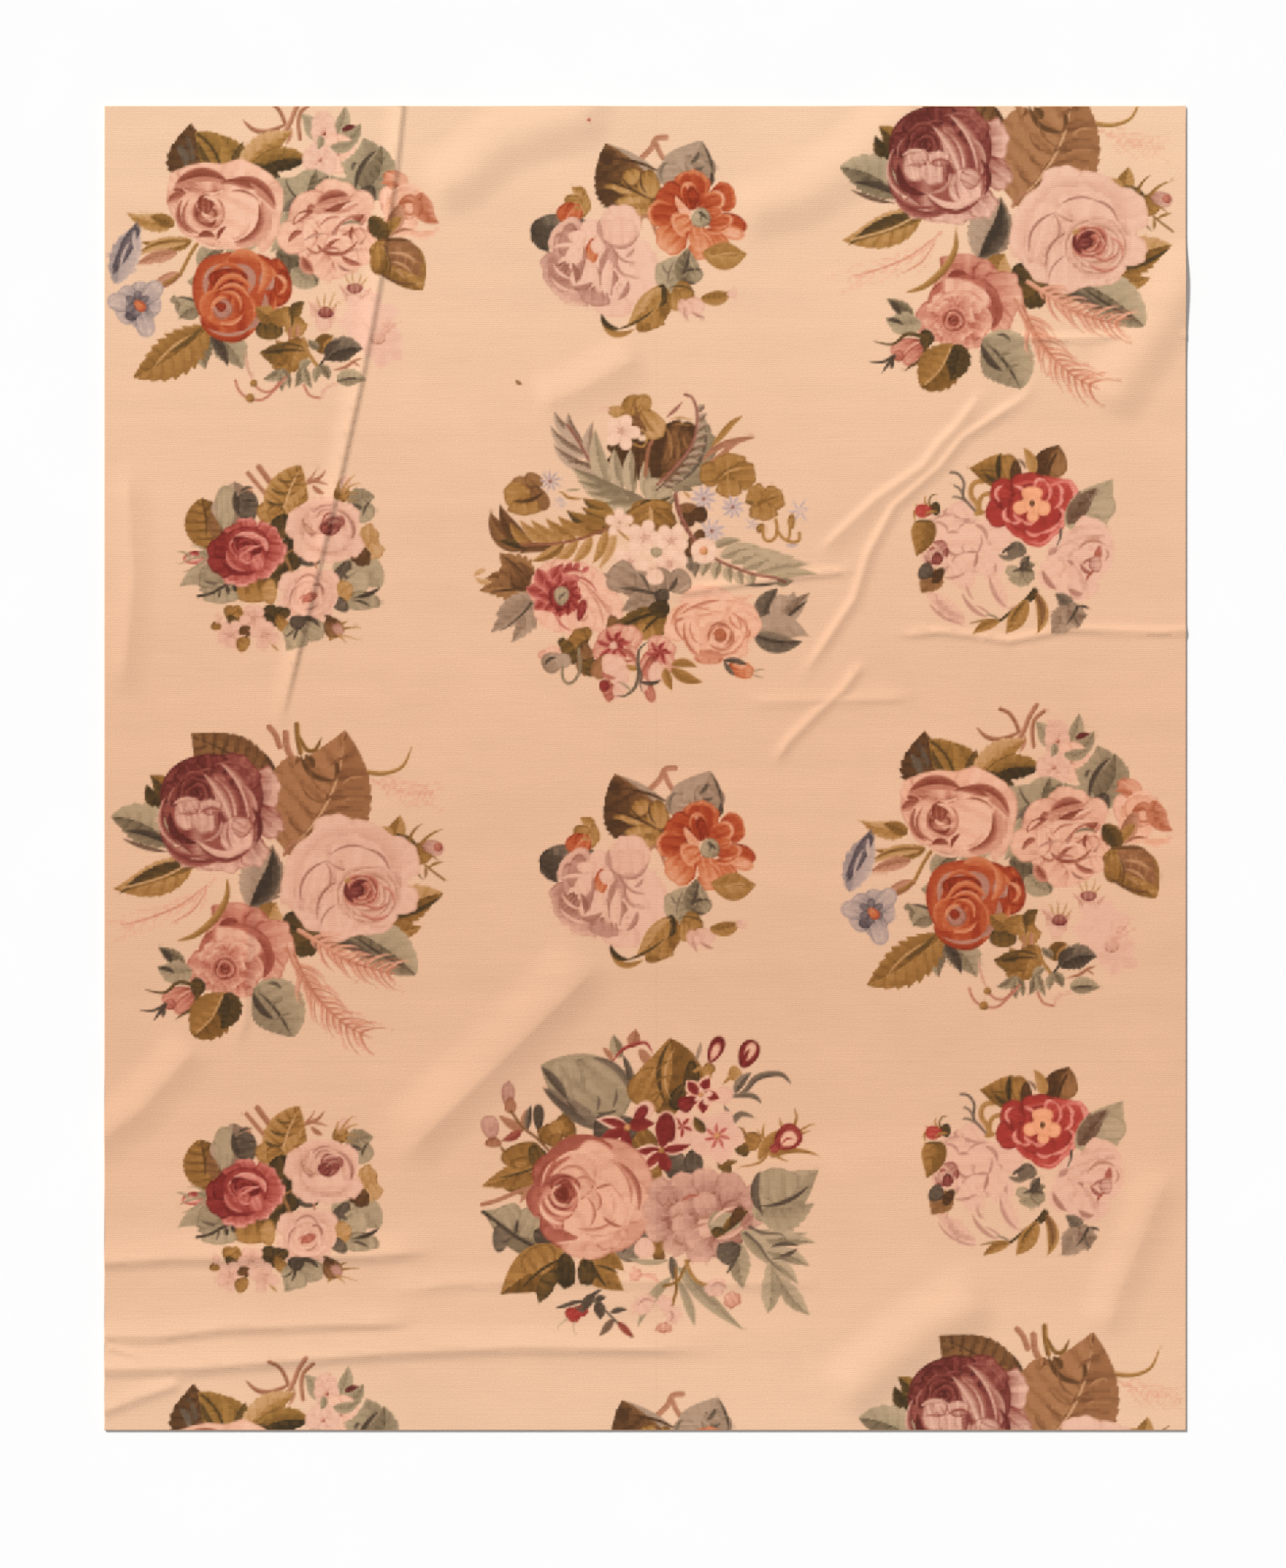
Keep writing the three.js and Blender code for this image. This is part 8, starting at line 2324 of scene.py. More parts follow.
# %% The red flower
RED_FLOWER_AND_PEONY += [
    # the red flower
    (petal, 203, 187, 82, 98, 4, "red", 0.3, 0.45, 0.02, {"rim": 0.5}),
    (petal, 229, 174, 60, 42, 1.4, "red", 0.3, 0.55, 0.02, {"rim": 0.5}),
    (petal, 156, 166, 40, 38, 9.5, "red", 0.2, 0.35, 0.02),
    (petal, 152, 192, 44, 38, 8.6, "red", 0.25, 0.35, 0.02),
    (petal, 188, 210, 40, 60, 6.6, "red", 0.25, 0.4, 0.02, {"rim": 0.3}),
    (petal, 188, 158, 40, 50, 12, "red", 0.2, 0.35, 0.02),
    (petal, 160, 178, 24, 34, 12, "red", 0.15, 0.2),
    (petal, 196, 186, 70, 70, 6, "red", 0.25, 0.3),
    (petal, 156, 166, 24, 18, 9.5, "red", 0.25, 0.45),
    (petal, 206, 162, 30, 22, 12.4, "red", 0.4, 0.6),
    (petal, 226, 172, 28, 18, 4.6, "red", 0.35, 0.55),
    (stroke, 150, 178, 154, 155, 8, 5, "red", 0.98, 0.9),
    (stroke, 168, 155, 184, 164, 1, 5, "red", 0.95, 0.95),
    (stroke, 170, 155, 198, 151, 2, 6, "red", 0.5, 0.7),
    (stroke, 197, 160, 212, 150, 8, 5, "red", 0.95, 0.9),
    (stroke, 211, 150, 212, 178, 6, 5, "red", 0.95, 0.85),
    (stroke, 226, 153, 230, 174, 5, 5, "red", 0.98, 0.9),
    (stroke, 232, 168, 222, 186, 5, 5, "red", 0.98, 0.9),
    (stroke, 228, 186, 230, 204, 7, 5, "red", 0.98, 0.9),
    (stroke, 230, 204, 204, 219, 4, 5, "red", 0.98, 0.85),
    (stroke, 206, 219, 184, 216, 5, 5, "red", 0.98, 0.85),
    (stroke, 158, 186, 166, 205, -7, 6, "red", 0.9, 0.98),
    (stroke, 164, 205, 178, 202, -3, 4, "red", 0.9, 0.98),
    (stroke, 168, 193, 182, 203, -3, 5, "red", 0.9, 0.95),
    (stroke, 180, 204, 198, 204, -3, 5, "red", 0.9, 0.95),
    (stroke, 242, 150, 250, 196, 6, 6, "red", 0.98, 0.9),
    (petal, 193, 168, 22, 28, 12, "gold", 0.75, 0.98),
    (petal, 179, 185, 24, 18, 8.6, "gold", 0.75, 0.98),
    (petal, 206, 186, 24, 20, 3.4, "gold", 0.75, 0.98),
    (petal, 194, 196, 18, 16, 6, "gold", 0.75, 0.95),
    (petal, 193, 181, 26, 26, 12, "gold", 0.85, 0.9),
    (petal, 193, 180, 9, 7, 12, "umber", 0.3, 0.5),
    # the grey green leaf at the right
    (leaf, 238, 210, 302, 146, -2, 58, "sage", (0.75, 0.9), (0.85, 0.95), {"veins": 4, "lop": -0.25}),
    (petal, 286, 184, 40, 34, 3, "sage", 0.85, 0.95),
    (leaf, 242, 208, 281, 158, 3, 26, "taupe", (0.15, 0.3), (0.1, 0.2), {"veins": 2}),
    (stroke, 252, 184, 258, 162, 1, 5, "taupe", 0.25, 0.3),
    (stroke, 262, 184, 284, 160, -1, 3, "taupe", 0.3, 0.5),
    (stroke, 266, 176, 271, 160, 1, 4, "taupe", 0.2, 0.3),
]
print("red flower and peony so far", len(RED_FLOWER_AND_PEONY), "rows")

# %% [markdown]
# The pale rose has three strokes to a petal. In a pale flower the edges are nearly all there
# is to see.

# %% The pale rose
RED_FLOWER_AND_PEONY += [
    (petal, 272, 226, 52, 56, 1.4, "blush", 0.94, 1.0, 0.03, {"line": 0.1}),
    (petal, 238, 246, 50, 54, 10, "blush", 0.94, 1.0, 0.02, {"line": 0.08}),
    (petal, 226, 272, 54, 40, 8, "blush", 0.93, 1.0, 0.03, {"line": 0.1}),
    (petal, 254, 288, 48, 54, 6, "blush", 0.93, 1.0, 0.03, {"line": 0.1}),
    (petal, 278, 258, 42, 56, 4, "blush", 0.93, 1.0, 0.03, {"line": 0.1}),
    (stroke, 246, 262, 262, 300, 5, 5, "mauve", 0.8, 0.9),
    (stroke, 284, 266, 262, 300, -6, 4, "mauve", 0.7, 0.9),
    (stroke, 232, 300, 262, 306, -4, 3, "mauve", 0.8, 0.7),
    (stroke, 262, 232, 292, 226, 4, 4, "mauve", 0.7, 0.8),
    (stem, [(232, 215), (231, 226), (226, 238)], 4, "slate", 0.6, 0.4, "tip"),
    (stroke, 220, 244, 274, 223, 2, 4, "blush", 0.6, 0.6),
    (stroke, 242, 226, 260, 210, 3, 4, "blush", 0.6, 0.7),
    (stroke, 246, 222, 288, 212, 4, 3, "blush", 0.6, 0.7),
    (stroke, 254, 244, 292, 236, 10, 5, "blush", 0.4, 0.3),
    (stroke, 243, 254, 256, 238, 2, 3, "blush", 0.4, 0.6),
    (petal, 282, 248, 22, 10, 6.4, "dusky", 0.5, 0.7),
    (stroke, 281, 240, 279, 254, 2, 5, "dusky", 0.4, 0.5),
    (stroke, 291, 240, 290, 258, 5, 3, "blush", 0.2, 0.4),
    (stroke, 260, 263, 282, 254, 3, 4, "crimson", 0.5, 0.6),
    (petal, 278, 262, 18, 22, 3, "crimson", 0.7, 0.9),
    (stroke, 258, 261, 275, 275, -3, 6, "crimson", 0.6, 0.4),
    (stroke, 267, 283, 277, 270, 2, 4, "dusky", 0.3, 0.4),
    (stroke, 207, 270, 226, 296, -3, 8, "mauve", 0.5, 0.3),
    (stroke, 242, 294, 262, 302, -3, 8, "mauve", 0.5, 0.4),
    (stroke, 215, 250, 228, 240, 1, 9, "mauve", 0.6, 0.5),
    (stroke, 226, 250, 240, 268, 2, 3, "blush", 0.6, 0.6),
    (stroke, 240, 258, 248, 264, 2, 5, "mauve", 0.4, 0.5),
    (stroke, 240, 268, 232, 284, -3, 3, "blush", 0.6, 0.7),
    (stroke, 258, 266, 262, 284, -2, 2.5, "blush", 0.5, 0.7),
]
print("red flower and peony so far", len(RED_FLOWER_AND_PEONY), "rows")

# %% [markdown]
# Grey leaves, and ochre ones on an olive stem, end the last bouquet.

# %% The last leaves
RED_FLOWER_AND_PEONY += [
    # grey leaf under the rose and between the flowers
    (leaf, 246, 326, 223, 301, -3, 20, "slate", (0.5, 0.8), (0.6, 0.9), {"teeth": 4}),
    (leaf, 242, 318, 218, 356, 4, 36, "taupe", (0.6, 0.8), (0.45, 0.7), {"teeth": 5, "foot": 0.4}),
    (leaf, 240, 318, 254, 350, 3, 32, "taupe", (0.35, 0.6), (0.55, 0.75), {"teeth": 4, "foot": 0.4}),
    (leaf, 242, 322, 268, 330, -4, 26, "taupe", (0.5, 0.75), (0.3, 0.5), {"teeth": 4, "foot": 0.4}),
    (stem, [(254, 320), (248, 332), (238, 344)], 4.5, "slate", 0.2, 0.1, "tip"),
    (stroke, 250, 328, 258, 346, -2, 3, "slate", 0.4, 0.5),
    (stroke, 256, 318, 270, 322, 1, 4, "slate", 0.2, 0.4),
    (petal, 172, 242, 22, 26, 6, "slate", 0.6, 0.75),
    (stroke, 147, 249, 178, 244, -7, 8, "slate", 0.6, 0.9),
    (stroke, 152, 248, 170, 238, 2, 5, "slate", 0.2, 0.3),
    (leaf, 190, 270, 160, 282, 4, 28, "sage", (0.6, 0.85), (0.65, 0.9), {"teeth": 4, "foot": 0.4}),
    (petal, 168, 272, 22, 16, 9.6, "sage", 0.7, 0.9, 0.06),
    (petal, 186, 276, 22, 18, 4.6, "sage", 0.35, 0.65, 0.06),
    (leaf, 178, 274, 198, 262, 3, 16, "sage", (0.4, 0.6), (0.3, 0.4)),
    (leaf, 184, 270, 191, 250, 4, 14, "slate", (0.6, 0.8), (0.3, 0.4)),
    (stroke, 166, 272, 196, 272, 3, 5, "slate", 0.3, 0.2),
    (stroke, 178, 272, 184, 258, 2, 4, "slate", 0.1, 0.1),
    # ochre leaves on an olive stem
    (stroke, 108, 342, 150, 338, 2, 3, "olive", 0.6, 0.7),
    (stroke, 130, 330, 150, 338, 2, 3, "sage", 0.3, 0.5),
    (stroke, 160, 321, 178, 316, -2, 4, "mauve", 0.8, 0.7),
    (stem, [(196, 295), (186, 308), (170, 322), (150, 338)], 4, "olive", 0.3, 0.1),
    (leaf, 149, 339, 112, 357, -3, 14, "ochre", (0.5, 0.6), (0.3, 0.4), {"veins": 3}),
    (leaf, 186, 310, 157, 356, 2, 24, "ochre", (0.6, 0.5), (0.4, 0.6), {"belly": 0.5}),
    (stroke, 184, 312, 164, 340, -2, 4, "olive", 0.5, 0.4),
    (leaf, 196, 300, 199, 357, 10, 16, "ochre", (0.6, 0.7), (0.3, 0.5), {"belly": 0.5}),
    (petal, 194, 304, 20, 10, 1, "olive", 0.2, 0.3),
    (leaf, 198, 300, 206, 346, 5, 10, "umber", (0.6, 0.8), (0.4, 0.6), {"veins": 0}),
]
print("red flower and peony in all", len(RED_FLOWER_AND_PEONY), "rows")

# %% [markdown]
# Each cartoon is laid where the rug has that bouquet, counted in millimetres right and down
# from the rug's far left corner. The bouquets at the ends run off the edge. Two small marks
# in the ground, a brown one and a red one, are laid last, counted from the corner itself.

# %% Weaving the bouquets
# Columns: cartoon, then its corner right and down for each place
PLACES = [
    (ROSE_AND_POPPY, [(959, 757), (-31, -63), (-27, 1638)]),
    (PEONY_AND_LEAVES, [(-41, 757), (942, -118), (968, 1569)]),
    (DAHLIA_AND_LEAF, [(559, 857), (547, 6), (569, 1702)]),
    (FERNS_AND_PEACH_ROSE, [(459, 357)]),
    (ROSE_AND_CARNATION, [(459, 1157)]),
    (CRIMSON_ROSE_AND_TWO, [(59, 1257), (61, 392)]),
    (RED_FLOWER_AND_PEONY, [(1059, 357), (1073, 1196)]),
]
MARKS = [
    (petal, 559, 374, 5, 9, 1, "umber", 0.75, 0.8),
    (petal, 654, 20, 5, 4, 12, "red", 0.6, 0.7),
]
for cartoon, corners in PLACES:
    for right, down in corners:
        lay_cartoon(cartoon, right, down)
lay_cartoon(MARKS, 0, 0)
picture = np.clip(picture, 0.0, 255.0)
print("bouquets", sum(len(corners) for cartoon, corners in PLACES))

# %% [markdown]
# The rug doesn't lie quite flat. A pleat runs down its left half, straight creases show how it
# was folded, and low swells cross it. A cloth simulation would make other creases than these,
# so each one is a row in a table: how high it rises, how far it reaches to the left and to the
# right of its line, and the line itself. A fold with a short reach is drawn up to a sharp crest
# and one with a long reach is a round swell. The height at a point is that of the tallest fold
# there. These are the same lines as in the CAD part, so the cloth lies on its solid.

# %% The folds
THICKNESS = 3.0
END_TAPER = 0.16
CREASE_REACH = 45.0
CREASE_POWER = 1.6
SEARCH_MARGIN = 80
SIDE_MARGIN = 8
END_MARGIN = 18
# Columns: height, reach to the left, reach to the right, line (all in mm from the middle)
FOLDS = [
    (4.2, 5, 26, [(-327, 894), (-336, 806), (-359, 649), (-384, 517), (-410, 400), (-450, 230),
                  (-487, 77), (-500, 27)]),
    (1.8, 12, 22, [(-500, 27), (-525, -66), (-532, -123), (-540, -346), (-560, -396)]),
    (2.4, 12, 9, [(313, 185), (359, 180), (397, 184), (447, 178), (489, 171), (535, 180),
                  (574, 187), (696, 183), (730, 185)]),
    (2.2, 12, 9, [(420, 582), (560, 579), (640, 582), (730, 584)]),
    (2.6, 14, 9, [(20, 232), (130, 249), (221, 260), (293, 267)]),
    (1.5, 16, 10, [(130, 89), (240, 90), (370, 94)]),
    (2.6, 30, 12, [(466, 521), (420, 461), (397, 438), (374, 407), (313, 365), (256, 312),
                   (225, 280)]),
    (2.7, 16, 12, [(535, 538), (512, 500), (428, 446), (397, 407), (336, 354), (301, 289),
                   (282, 228), (213, 124), (198, 105)]),
    (2.3, 14, 14, [(301, 151), (267, 105), (232, 74), (194, 36), (171, 1)]),
    (3.4, 40, 16, [(-730, -668), (-640, -662), (-540, -661), (-373, -659), (-266, -650)]),
    (3.0, 34, 14, [(-730, -768), (-658, -768), (-569, -757), (-409, -751), (-300, -750)]),
    (3.6, 40, 16, [(-730, -812), (-605, -810), (-462, -798), (-338, -789), (-171, -782),
                   (120, -786)]),
    (2.2, 18, 12, [(-722, -783), (-670, -800), (-612, -826)]),
    (2.4, 26, 14, [(-729, -868), (-686, -851), (-622, -829)]),
    (1.8, 26, 14, [(-373, -712), (-266, -697), (-90, -692), (130, -696), (270, -694)]),
    (5.0, 44, 70, [(-50, -252), (-170, -372), (-262, -462), (-340, -540)]),
    (3.6, 40, 50, [(-600, -372), (-680, -462), (-730, -500)]),
    (4.4, 52, 60, [(-90, 878), (-190, 846), (-250, 796), (-300, 776)]),
    (3.4, 44, 50, [(0, 560), (-90, 508), (-150, 486)]),
    (4.0, 50, 60, [(350, 880), (270, 806), (210, 768), (110, 738)]),
    (4.4, 48, 60, [(729, 660), (700, 604), (660, 544), (620, 474)]),
    (5.0, 50, 64, [(470, -706), (370, -766), (320, -806), (250, -866)]),
    (3.4, 40, 50, [(710, -536), (670, -636), (640, -706), (620, -776)]),
    (3.0, 36, 40, [(-700, 420), (-690, 260), (-706, 90)]),
]


def smooth_step(start, end, value):
    """Rise from 0 to 1 between two values, without a corner at either."""
    share = np.clip((value - start) / (end - start), 0.0, 1.0)
    return share * share * (3.0 - 2.0 * share)


def rise(x, y):
    """Return how far the cloth is lifted off the floor, all in mm."""
    lifted = np.zeros_like(x)
    for height, left_reach, right_reach, line in FOLDS:
        line = np.array(line, dtype=float)
        steps = np.hypot(*np.diff(line, axis=0).T)
        near = ((x > line[:, 0].min() - SEARCH_MARGIN) & (x < line[:, 0].max() + SEARCH_MARGIN)
                & (y > line[:, 1].min() - SEARCH_MARGIN) & (y < line[:, 1].max() + SEARCH_MARGIN))
        px, py = x[near], y[near]
        closest = np.full(px.shape, 1e9)
        share = np.zeros_like(px)
        reach = np.ones_like(px)
        done = 0.0
        for (ax, ay), (bx, by), step in zip(line[:-1], line[1:], steps):
            ux, uy = (bx - ax) / step, (by - ay) / step
            along = np.clip((px - ax) * ux + (py - ay) * uy, 0.0, step)
            off_x, off_y = px - ax - ux * along, py - ay - uy * along
            away = np.hypot(off_x, off_y)
            closer = away < closest
            side = np.where(ux * off_y - uy * off_x > 0, left_reach, right_reach)
            closest = np.where(closer, away, closest)
            share = np.where(closer, (done + along) / steps.sum(), share)
            reach = np.where(closer, side, reach)
            done += step
        taper = np.ones_like(px)
        for end, distance in ((line[0], share), (line[-1], 1.0 - share)):
            inside_sides = abs(end[0]) < RUG_WIDE / 2 - SIDE_MARGIN
            inside_ends = abs(end[1]) < RUG_LONG / 2 - END_MARGIN
            if inside_sides and inside_ends:
                taper *= smooth_step(0.0, END_TAPER, distance)
        swell = 1.0 - smooth_step(0.0, 1.0, closest / reach)
        crease = np.clip(1.0 - closest / reach, 0.0, 1.0) ** CREASE_POWER
        fold = height * np.where(reach < CREASE_REACH, crease, swell) * taper
        lifted[near] = np.maximum(lifted[near], fold)
    return lifted


grid_x, grid_y = np.meshgrid(np.arange(-728.0, 730.0, 7.3), np.arange(891.0, -893.0, -7.328))
lift_map = rise(grid_x, grid_y)
print("folds", len(FOLDS), "highest", round(float(lift_map.max()), 2), "mm")

# %% [markdown]
# The cloth starts as a coarse grid, as anyone would add one by hand. Only some of it needs more
# faces: plain ground can stay coarse, while folds and flowers want faces of 7 mm. Of these, the
# ones that lie on a crest or show the most contrast between their stitches are cut once more,
# down to two stitches by two. Cutting everything so fine would pass 400,000 triangles, so the
# number of fine faces is fixed, and they go where they show.

# %% The upper face
CELLS_ACROSS = 50
CELLS_DOWN = 61
FINE_CELLS = 15400
METRE = 1000.0


def cells_with(mask, size):
    """Say which square blocks of a mask have anything in them."""
    rows, columns = mask.shape
    return mask.reshape(rows // size, size, columns // size, size).any(axis=(1, 3))


def cut_cells(cloth, wanted, cuts, side):
    """Subdivide the square faces of one size that lie in wanted cells."""
    mesh = cloth.data
    bpy.ops.object.mode_set(mode="EDIT")
    bpy.ops.mesh.select_mode(type="FACE")
    bpy.ops.mesh.select_all(action="DESELECT")
    bpy.ops.object.mode_set(mode="OBJECT")
    middles = np.empty(len(mesh.polygons) * 3, dtype=np.float32)
    mesh.polygons.foreach_get("center", middles)
    middles = middles.reshape(-1, 3) * METRE
    corners = np.empty(len(mesh.polygons), dtype=np.int32)
    mesh.polygons.foreach_get("loop_total", corners)
    areas = np.empty(len(mesh.polygons), dtype=np.float32)
    mesh.polygons.foreach_get("area", areas)
    rows, columns = wanted.shape
    column = np.clip(((middles[:, 0] + RUG_WIDE / 2) / RUG_WIDE * columns).astype(int), 0, columns - 1)
    row = np.clip(((RUG_LONG / 2 - middles[:, 1]) / RUG_LONG * rows).astype(int), 0, rows - 1)
    square = (corners == 4) & (areas * METRE * METRE < side * side * 1.2)
    chosen = wanted[row, column] & square
    mesh.polygons.foreach_set("select", chosen)
    bpy.ops.object.mode_set(mode="EDIT")
    bpy.ops.mesh.subdivide(number_cuts=cuts)
    bpy.ops.object.mode_set(mode="OBJECT")
    print("faces cut", int(chosen.sum()), "faces now", len(mesh.polygons))


woven = cells_with(np.abs(picture - np.array(GROUND_YARN)).max(axis=2) > 3.0, 4)
blocks = picture.reshape(CELLS_DOWN * 4, 4, CELLS_ACROSS * 4, 4, 3)
contrast = (blocks.max(axis=(1, 3)) - blocks.min(axis=(1, 3))).max(axis=2)
slope = np.hypot(*np.gradient(lift_map, 7.3)) > 0.035
turning = np.zeros_like(lift_map)
turning[1:-1] += np.abs(lift_map[2:] + lift_map[:-2] - 2 * lift_map[1:-1])
turning[:, 1:-1] += np.abs(lift_map[:, 2:] + lift_map[:, :-2] - 2 * lift_map[:, 1:-1])
contrast[turning > 0.9] = 256.0
fine_cells = contrast >= np.sort(contrast.ravel())[-FINE_CELLS]
coarse_cells = cells_with(woven | fine_cells | slope, 4)
print("cells woven", int(woven.sum()), "cells on a crease", int((turning > 0.9).sum()))

bpy.ops.object.select_all(action="DESELECT")
bpy.ops.mesh.primitive_grid_add(x_subdivisions=CELLS_ACROSS, y_subdivisions=CELLS_DOWN, size=1.0,
                                location=(0.0, 0.0, THICKNESS / METRE))
rug = bpy.context.object
rug.name = "woven_rug"
bpy.ops.object.transform_apply(location=True)
bpy.ops.object.mode_set(mode="EDIT")
bpy.ops.transform.resize(value=(RUG_WIDE / METRE, RUG_LONG / METRE, 1.0))
bpy.ops.object.mode_set(mode="OBJECT")
cut_cells(rug, coarse_cells, 3, 30.0)
cut_cells(rug, fine_cells, 1, 7.6)

# %% [markdown]
# A tapestry has no hem: the weft turns back at the side, so the edge is a plain rounded one.
# The outline of the upper face is extruded down to half the cloth's thickness, a coarse grid
# is added for the underside, and the two outlines are bridged. That closes the cloth.

# %% The edge and the underside
EDGE_ROUND = 1.0

bpy.ops.object.mode_set(mode="EDIT")
bpy.ops.mesh.select_all(action="SELECT")
bpy.ops.mesh.region_to_loop()
bpy.ops.mesh.mark_sharp()
bpy.ops.mesh.extrude_edges_move(TRANSFORM_OT_translate={"value": (0.0, 0.0, -0.5 * THICKNESS / METRE)})
bpy.ops.mesh.select_all(action="DESELECT")
bpy.ops.mesh.primitive_grid_add(x_subdivisions=CELLS_ACROSS, y_subdivisions=CELLS_DOWN, size=1.0,
                                location=(0.0, 0.0, 0.0))
bpy.ops.transform.resize(value=(RUG_WIDE / METRE, RUG_LONG / METRE, 1.0))
bpy.ops.mesh.flip_normals()
bpy.ops.mesh.select_mode(type="EDGE")
bpy.ops.mesh.select_all(action="DESELECT")
bpy.ops.mesh.select_non_manifold(extend=False, use_wire=False, use_boundary=True,
                                 use_multi_face=False, use_non_contiguous=False, use_verts=False)
bpy.ops.mesh.bridge_edge_loops()
bpy.ops.object.mode_set(mode="OBJECT")

mesh = rug.data
flat = np.empty(len(mesh.vertices) * 3, dtype=np.float32)
mesh.vertices.foreach_get("co", flat)
flat = flat.reshape(-1, 3).astype(float) * METRE
upper = flat[:, 2] > 0.75 * THICKNESS
middle = (flat[:, 2] > 0.25 * THICKNESS) & ~upper
under = ~upper & ~middle
at_side = np.abs(flat[:, 0]) > RUG_WIDE / 2 - 0.01
at_end = np.abs(flat[:, 1]) > RUG_LONG / 2 - 0.01
print("vertices", len(flat), "of which in the edge", int(middle.sum()))

# %% [markdown]
# Now the vertices are lifted onto the folds. The underside is lifted less than the upper face,
# because its faces are coarse and must not come through it. At the edge the upper and lower
# outlines step in a little, which rounds it.

# %% The lie of the cloth
UNDERSIDE_SHARE = 0.5
placed = flat.copy()
lift = rise(flat[:, 0], flat[:, 1])
placed[:, 2] += lift * np.where(under, UNDERSIDE_SHARE, 1.0)
placed[:, 2] -= np.where(middle, lift * (1.0 - UNDERSIDE_SHARE) * 0.5, 0.0)
outer = (at_side | at_end) & ~middle
placed[outer & at_side, 0] -= np.sign(placed[outer & at_side, 0]) * EDGE_ROUND
placed[outer & at_end, 1] -= np.sign(placed[outer & at_end, 1]) * EDGE_ROUND
mesh.vertices.foreach_set("co", (placed / METRE).astype(np.float32).ravel())
mesh.update()
bpy.ops.object.shade_smooth()
print("highest point", round(float(placed[:, 2].max()), 2), "mm")

# %% [markdown]
# Each corner of a face takes the colour of the stitch half way between it and the middle of its
# face. The colours go into a colour attribute on the face corners, so neighbouring faces may
# differ sharply, as yarns do. The colours were named as they look, so
# they are changed to the linear values that Blender works with, and divided by the strength of
# the light that falls on the floor.

# %% Yarn colours on the mesh
LIGHT_ON_FLOOR = 1.12


def linear(values):
    """Change colours from 0 to 255 as seen on a screen to linear light."""
    share = np.clip(values / 255.0, 0.0, 1.0)
    return np.where(share <= 0.04045, share / 12.92, ((share + 0.055) / 1.055) ** 2.4)


faces = len(mesh.polygons)
loops = len(mesh.loops)
loop_start = np.empty(faces, dtype=np.int32)
loop_total = np.empty(faces, dtype=np.int32)
loop_vertex = np.empty(loops, dtype=np.int32)
mesh.polygons.foreach_get("loop_start", loop_start)
mesh.polygons.foreach_get("loop_total", loop_total)
mesh.loops.foreach_get("vertex_index", loop_vertex)
face_of_loop = np.repeat(np.arange(faces), loop_total)
corner = flat[loop_vertex]
middle_of_face = np.add.reduceat(corner, loop_start, axis=0) / loop_total[:, None]
width_of_face = np.abs(corner - middle_of_face[face_of_loop]).max(axis=1)
fine = (width_of_face < 6.0) & (middle_of_face[face_of_loop, 2] > 0.9 * THICKNESS)
point = (corner + middle_of_face[face_of_loop]) / 2
column = np.clip(((point[:, 0] + RUG_WIDE / 2) / STITCH_WIDE).astype(int), 0, PICTURE_ACROSS - 1)
row = np.clip(((RUG_LONG / 2 - point[:, 1]) / STITCH_LONG).astype(int), 0, PICTURE_DOWN - 1)
shown = np.where(fine[:, None], picture[row, column], np.array(GROUND_YARN))
colour = np.ones((loops, 4), dtype=np.float32)
colour[:, :3] = linear(shown) / LIGHT_ON_FLOOR
yarn = mesh.color_attributes.new(name="yarn", type="FLOAT_COLOR", domain="CORNER")
yarn.data.foreach_set("color", colour.ravel())
print("corners", loops, "of them coloured", int(fine.sum()), "triangles", loops - 2 * faces)

# %% [markdown]
# A map of the surface is needed where the finish is to be kept as an image. The upper face
# takes nearly the whole square, the narrow edge is unrolled just outside it, and the underside,
# which is plain, is squeezed into a strip below.

# %% The surface map
FRONT_LOW = 0.075
FRONT_SPAN = 0.915
SIDE_MARGIN = 0.006
unrolled = corner.copy()
edge_faces = (middle_of_face[:, 2] > 0.1 * THICKNESS) & (middle_of_face[:, 2] < 0.9 * THICKNESS)
drop = THICKNESS - flat[:, 2]
outward = np.zeros_like(flat)
outward[at_side, 0] = np.sign(flat[at_side, 0])
outward[at_end, 1] = np.sign(flat[at_end, 1])
in_edge = edge_faces[face_of_loop]
unrolled[in_edge] += outward[loop_vertex[in_edge]] * drop[loop_vertex[in_edge], None]
is_under = middle_of_face[face_of_loop, 2] <= 0.1 * THICKNESS
u = SIDE_MARGIN + (unrolled[:, 0] / RUG_WIDE + 0.5) * (1.0 - 2.0 * SIDE_MARGIN)
v = FRONT_LOW + (unrolled[:, 1] / RUG_LONG + 0.5) * FRONT_SPAN
v = np.where(is_under, 0.004 + (0.5 - unrolled[:, 1] / RUG_LONG) * (FRONT_LOW - 0.02), v)
surface_map = mesh.uv_layers.new(name="OFBake")
surface_map.data.foreach_set("uv", np.stack([u, v], axis=1).astype(np.float32).ravel())
print("map from", round(float(v.min()), 3), "to", round(float(v.max()), 3))

# %% [markdown]
# Shader maths is easier to read as expressions than as a tangle of nodes. The class below wraps
# one socket, so that adding or multiplying two of them adds a Math node. All other nodes come
# from one method, which takes the node's type, its settings and the values of its sockets.

# %% Expressions for shaders
class Finish:
    """A material and the nodes in it."""

    def __init__(self, name):
        self.material = bpy.data.materials.new(name)
        self.material.use_nodes = True
        self.tree = self.material.node_tree
        self.tree.nodes.clear()

    def node(self, kind, settings=None, sockets=None, output=0):
        """Add a node, set its settings, then its sockets, and return one of its outputs."""
        made = self.tree.nodes.new("ShaderNode" + kind)
        for name, value in (settings or {}).items():
            if name == "stops":
                ramp = made.color_ramp
                while len(ramp.elements) < len(value):
                    ramp.elements.new(0.5)
                for element, (place, level) in zip(ramp.elements, value):
                    element.position = place
                    element.color = (level, level, level, 1.0)
            else:
                setattr(made, name, value)
        for name, value in (sockets or {}).items():
            if isinstance(value, Signal):
                self.tree.links.new(value.socket, made.inputs[name])
            else:
                made.inputs[name].default_value = value
        return Signal(self, made.outputs[output]) if made.outputs else made


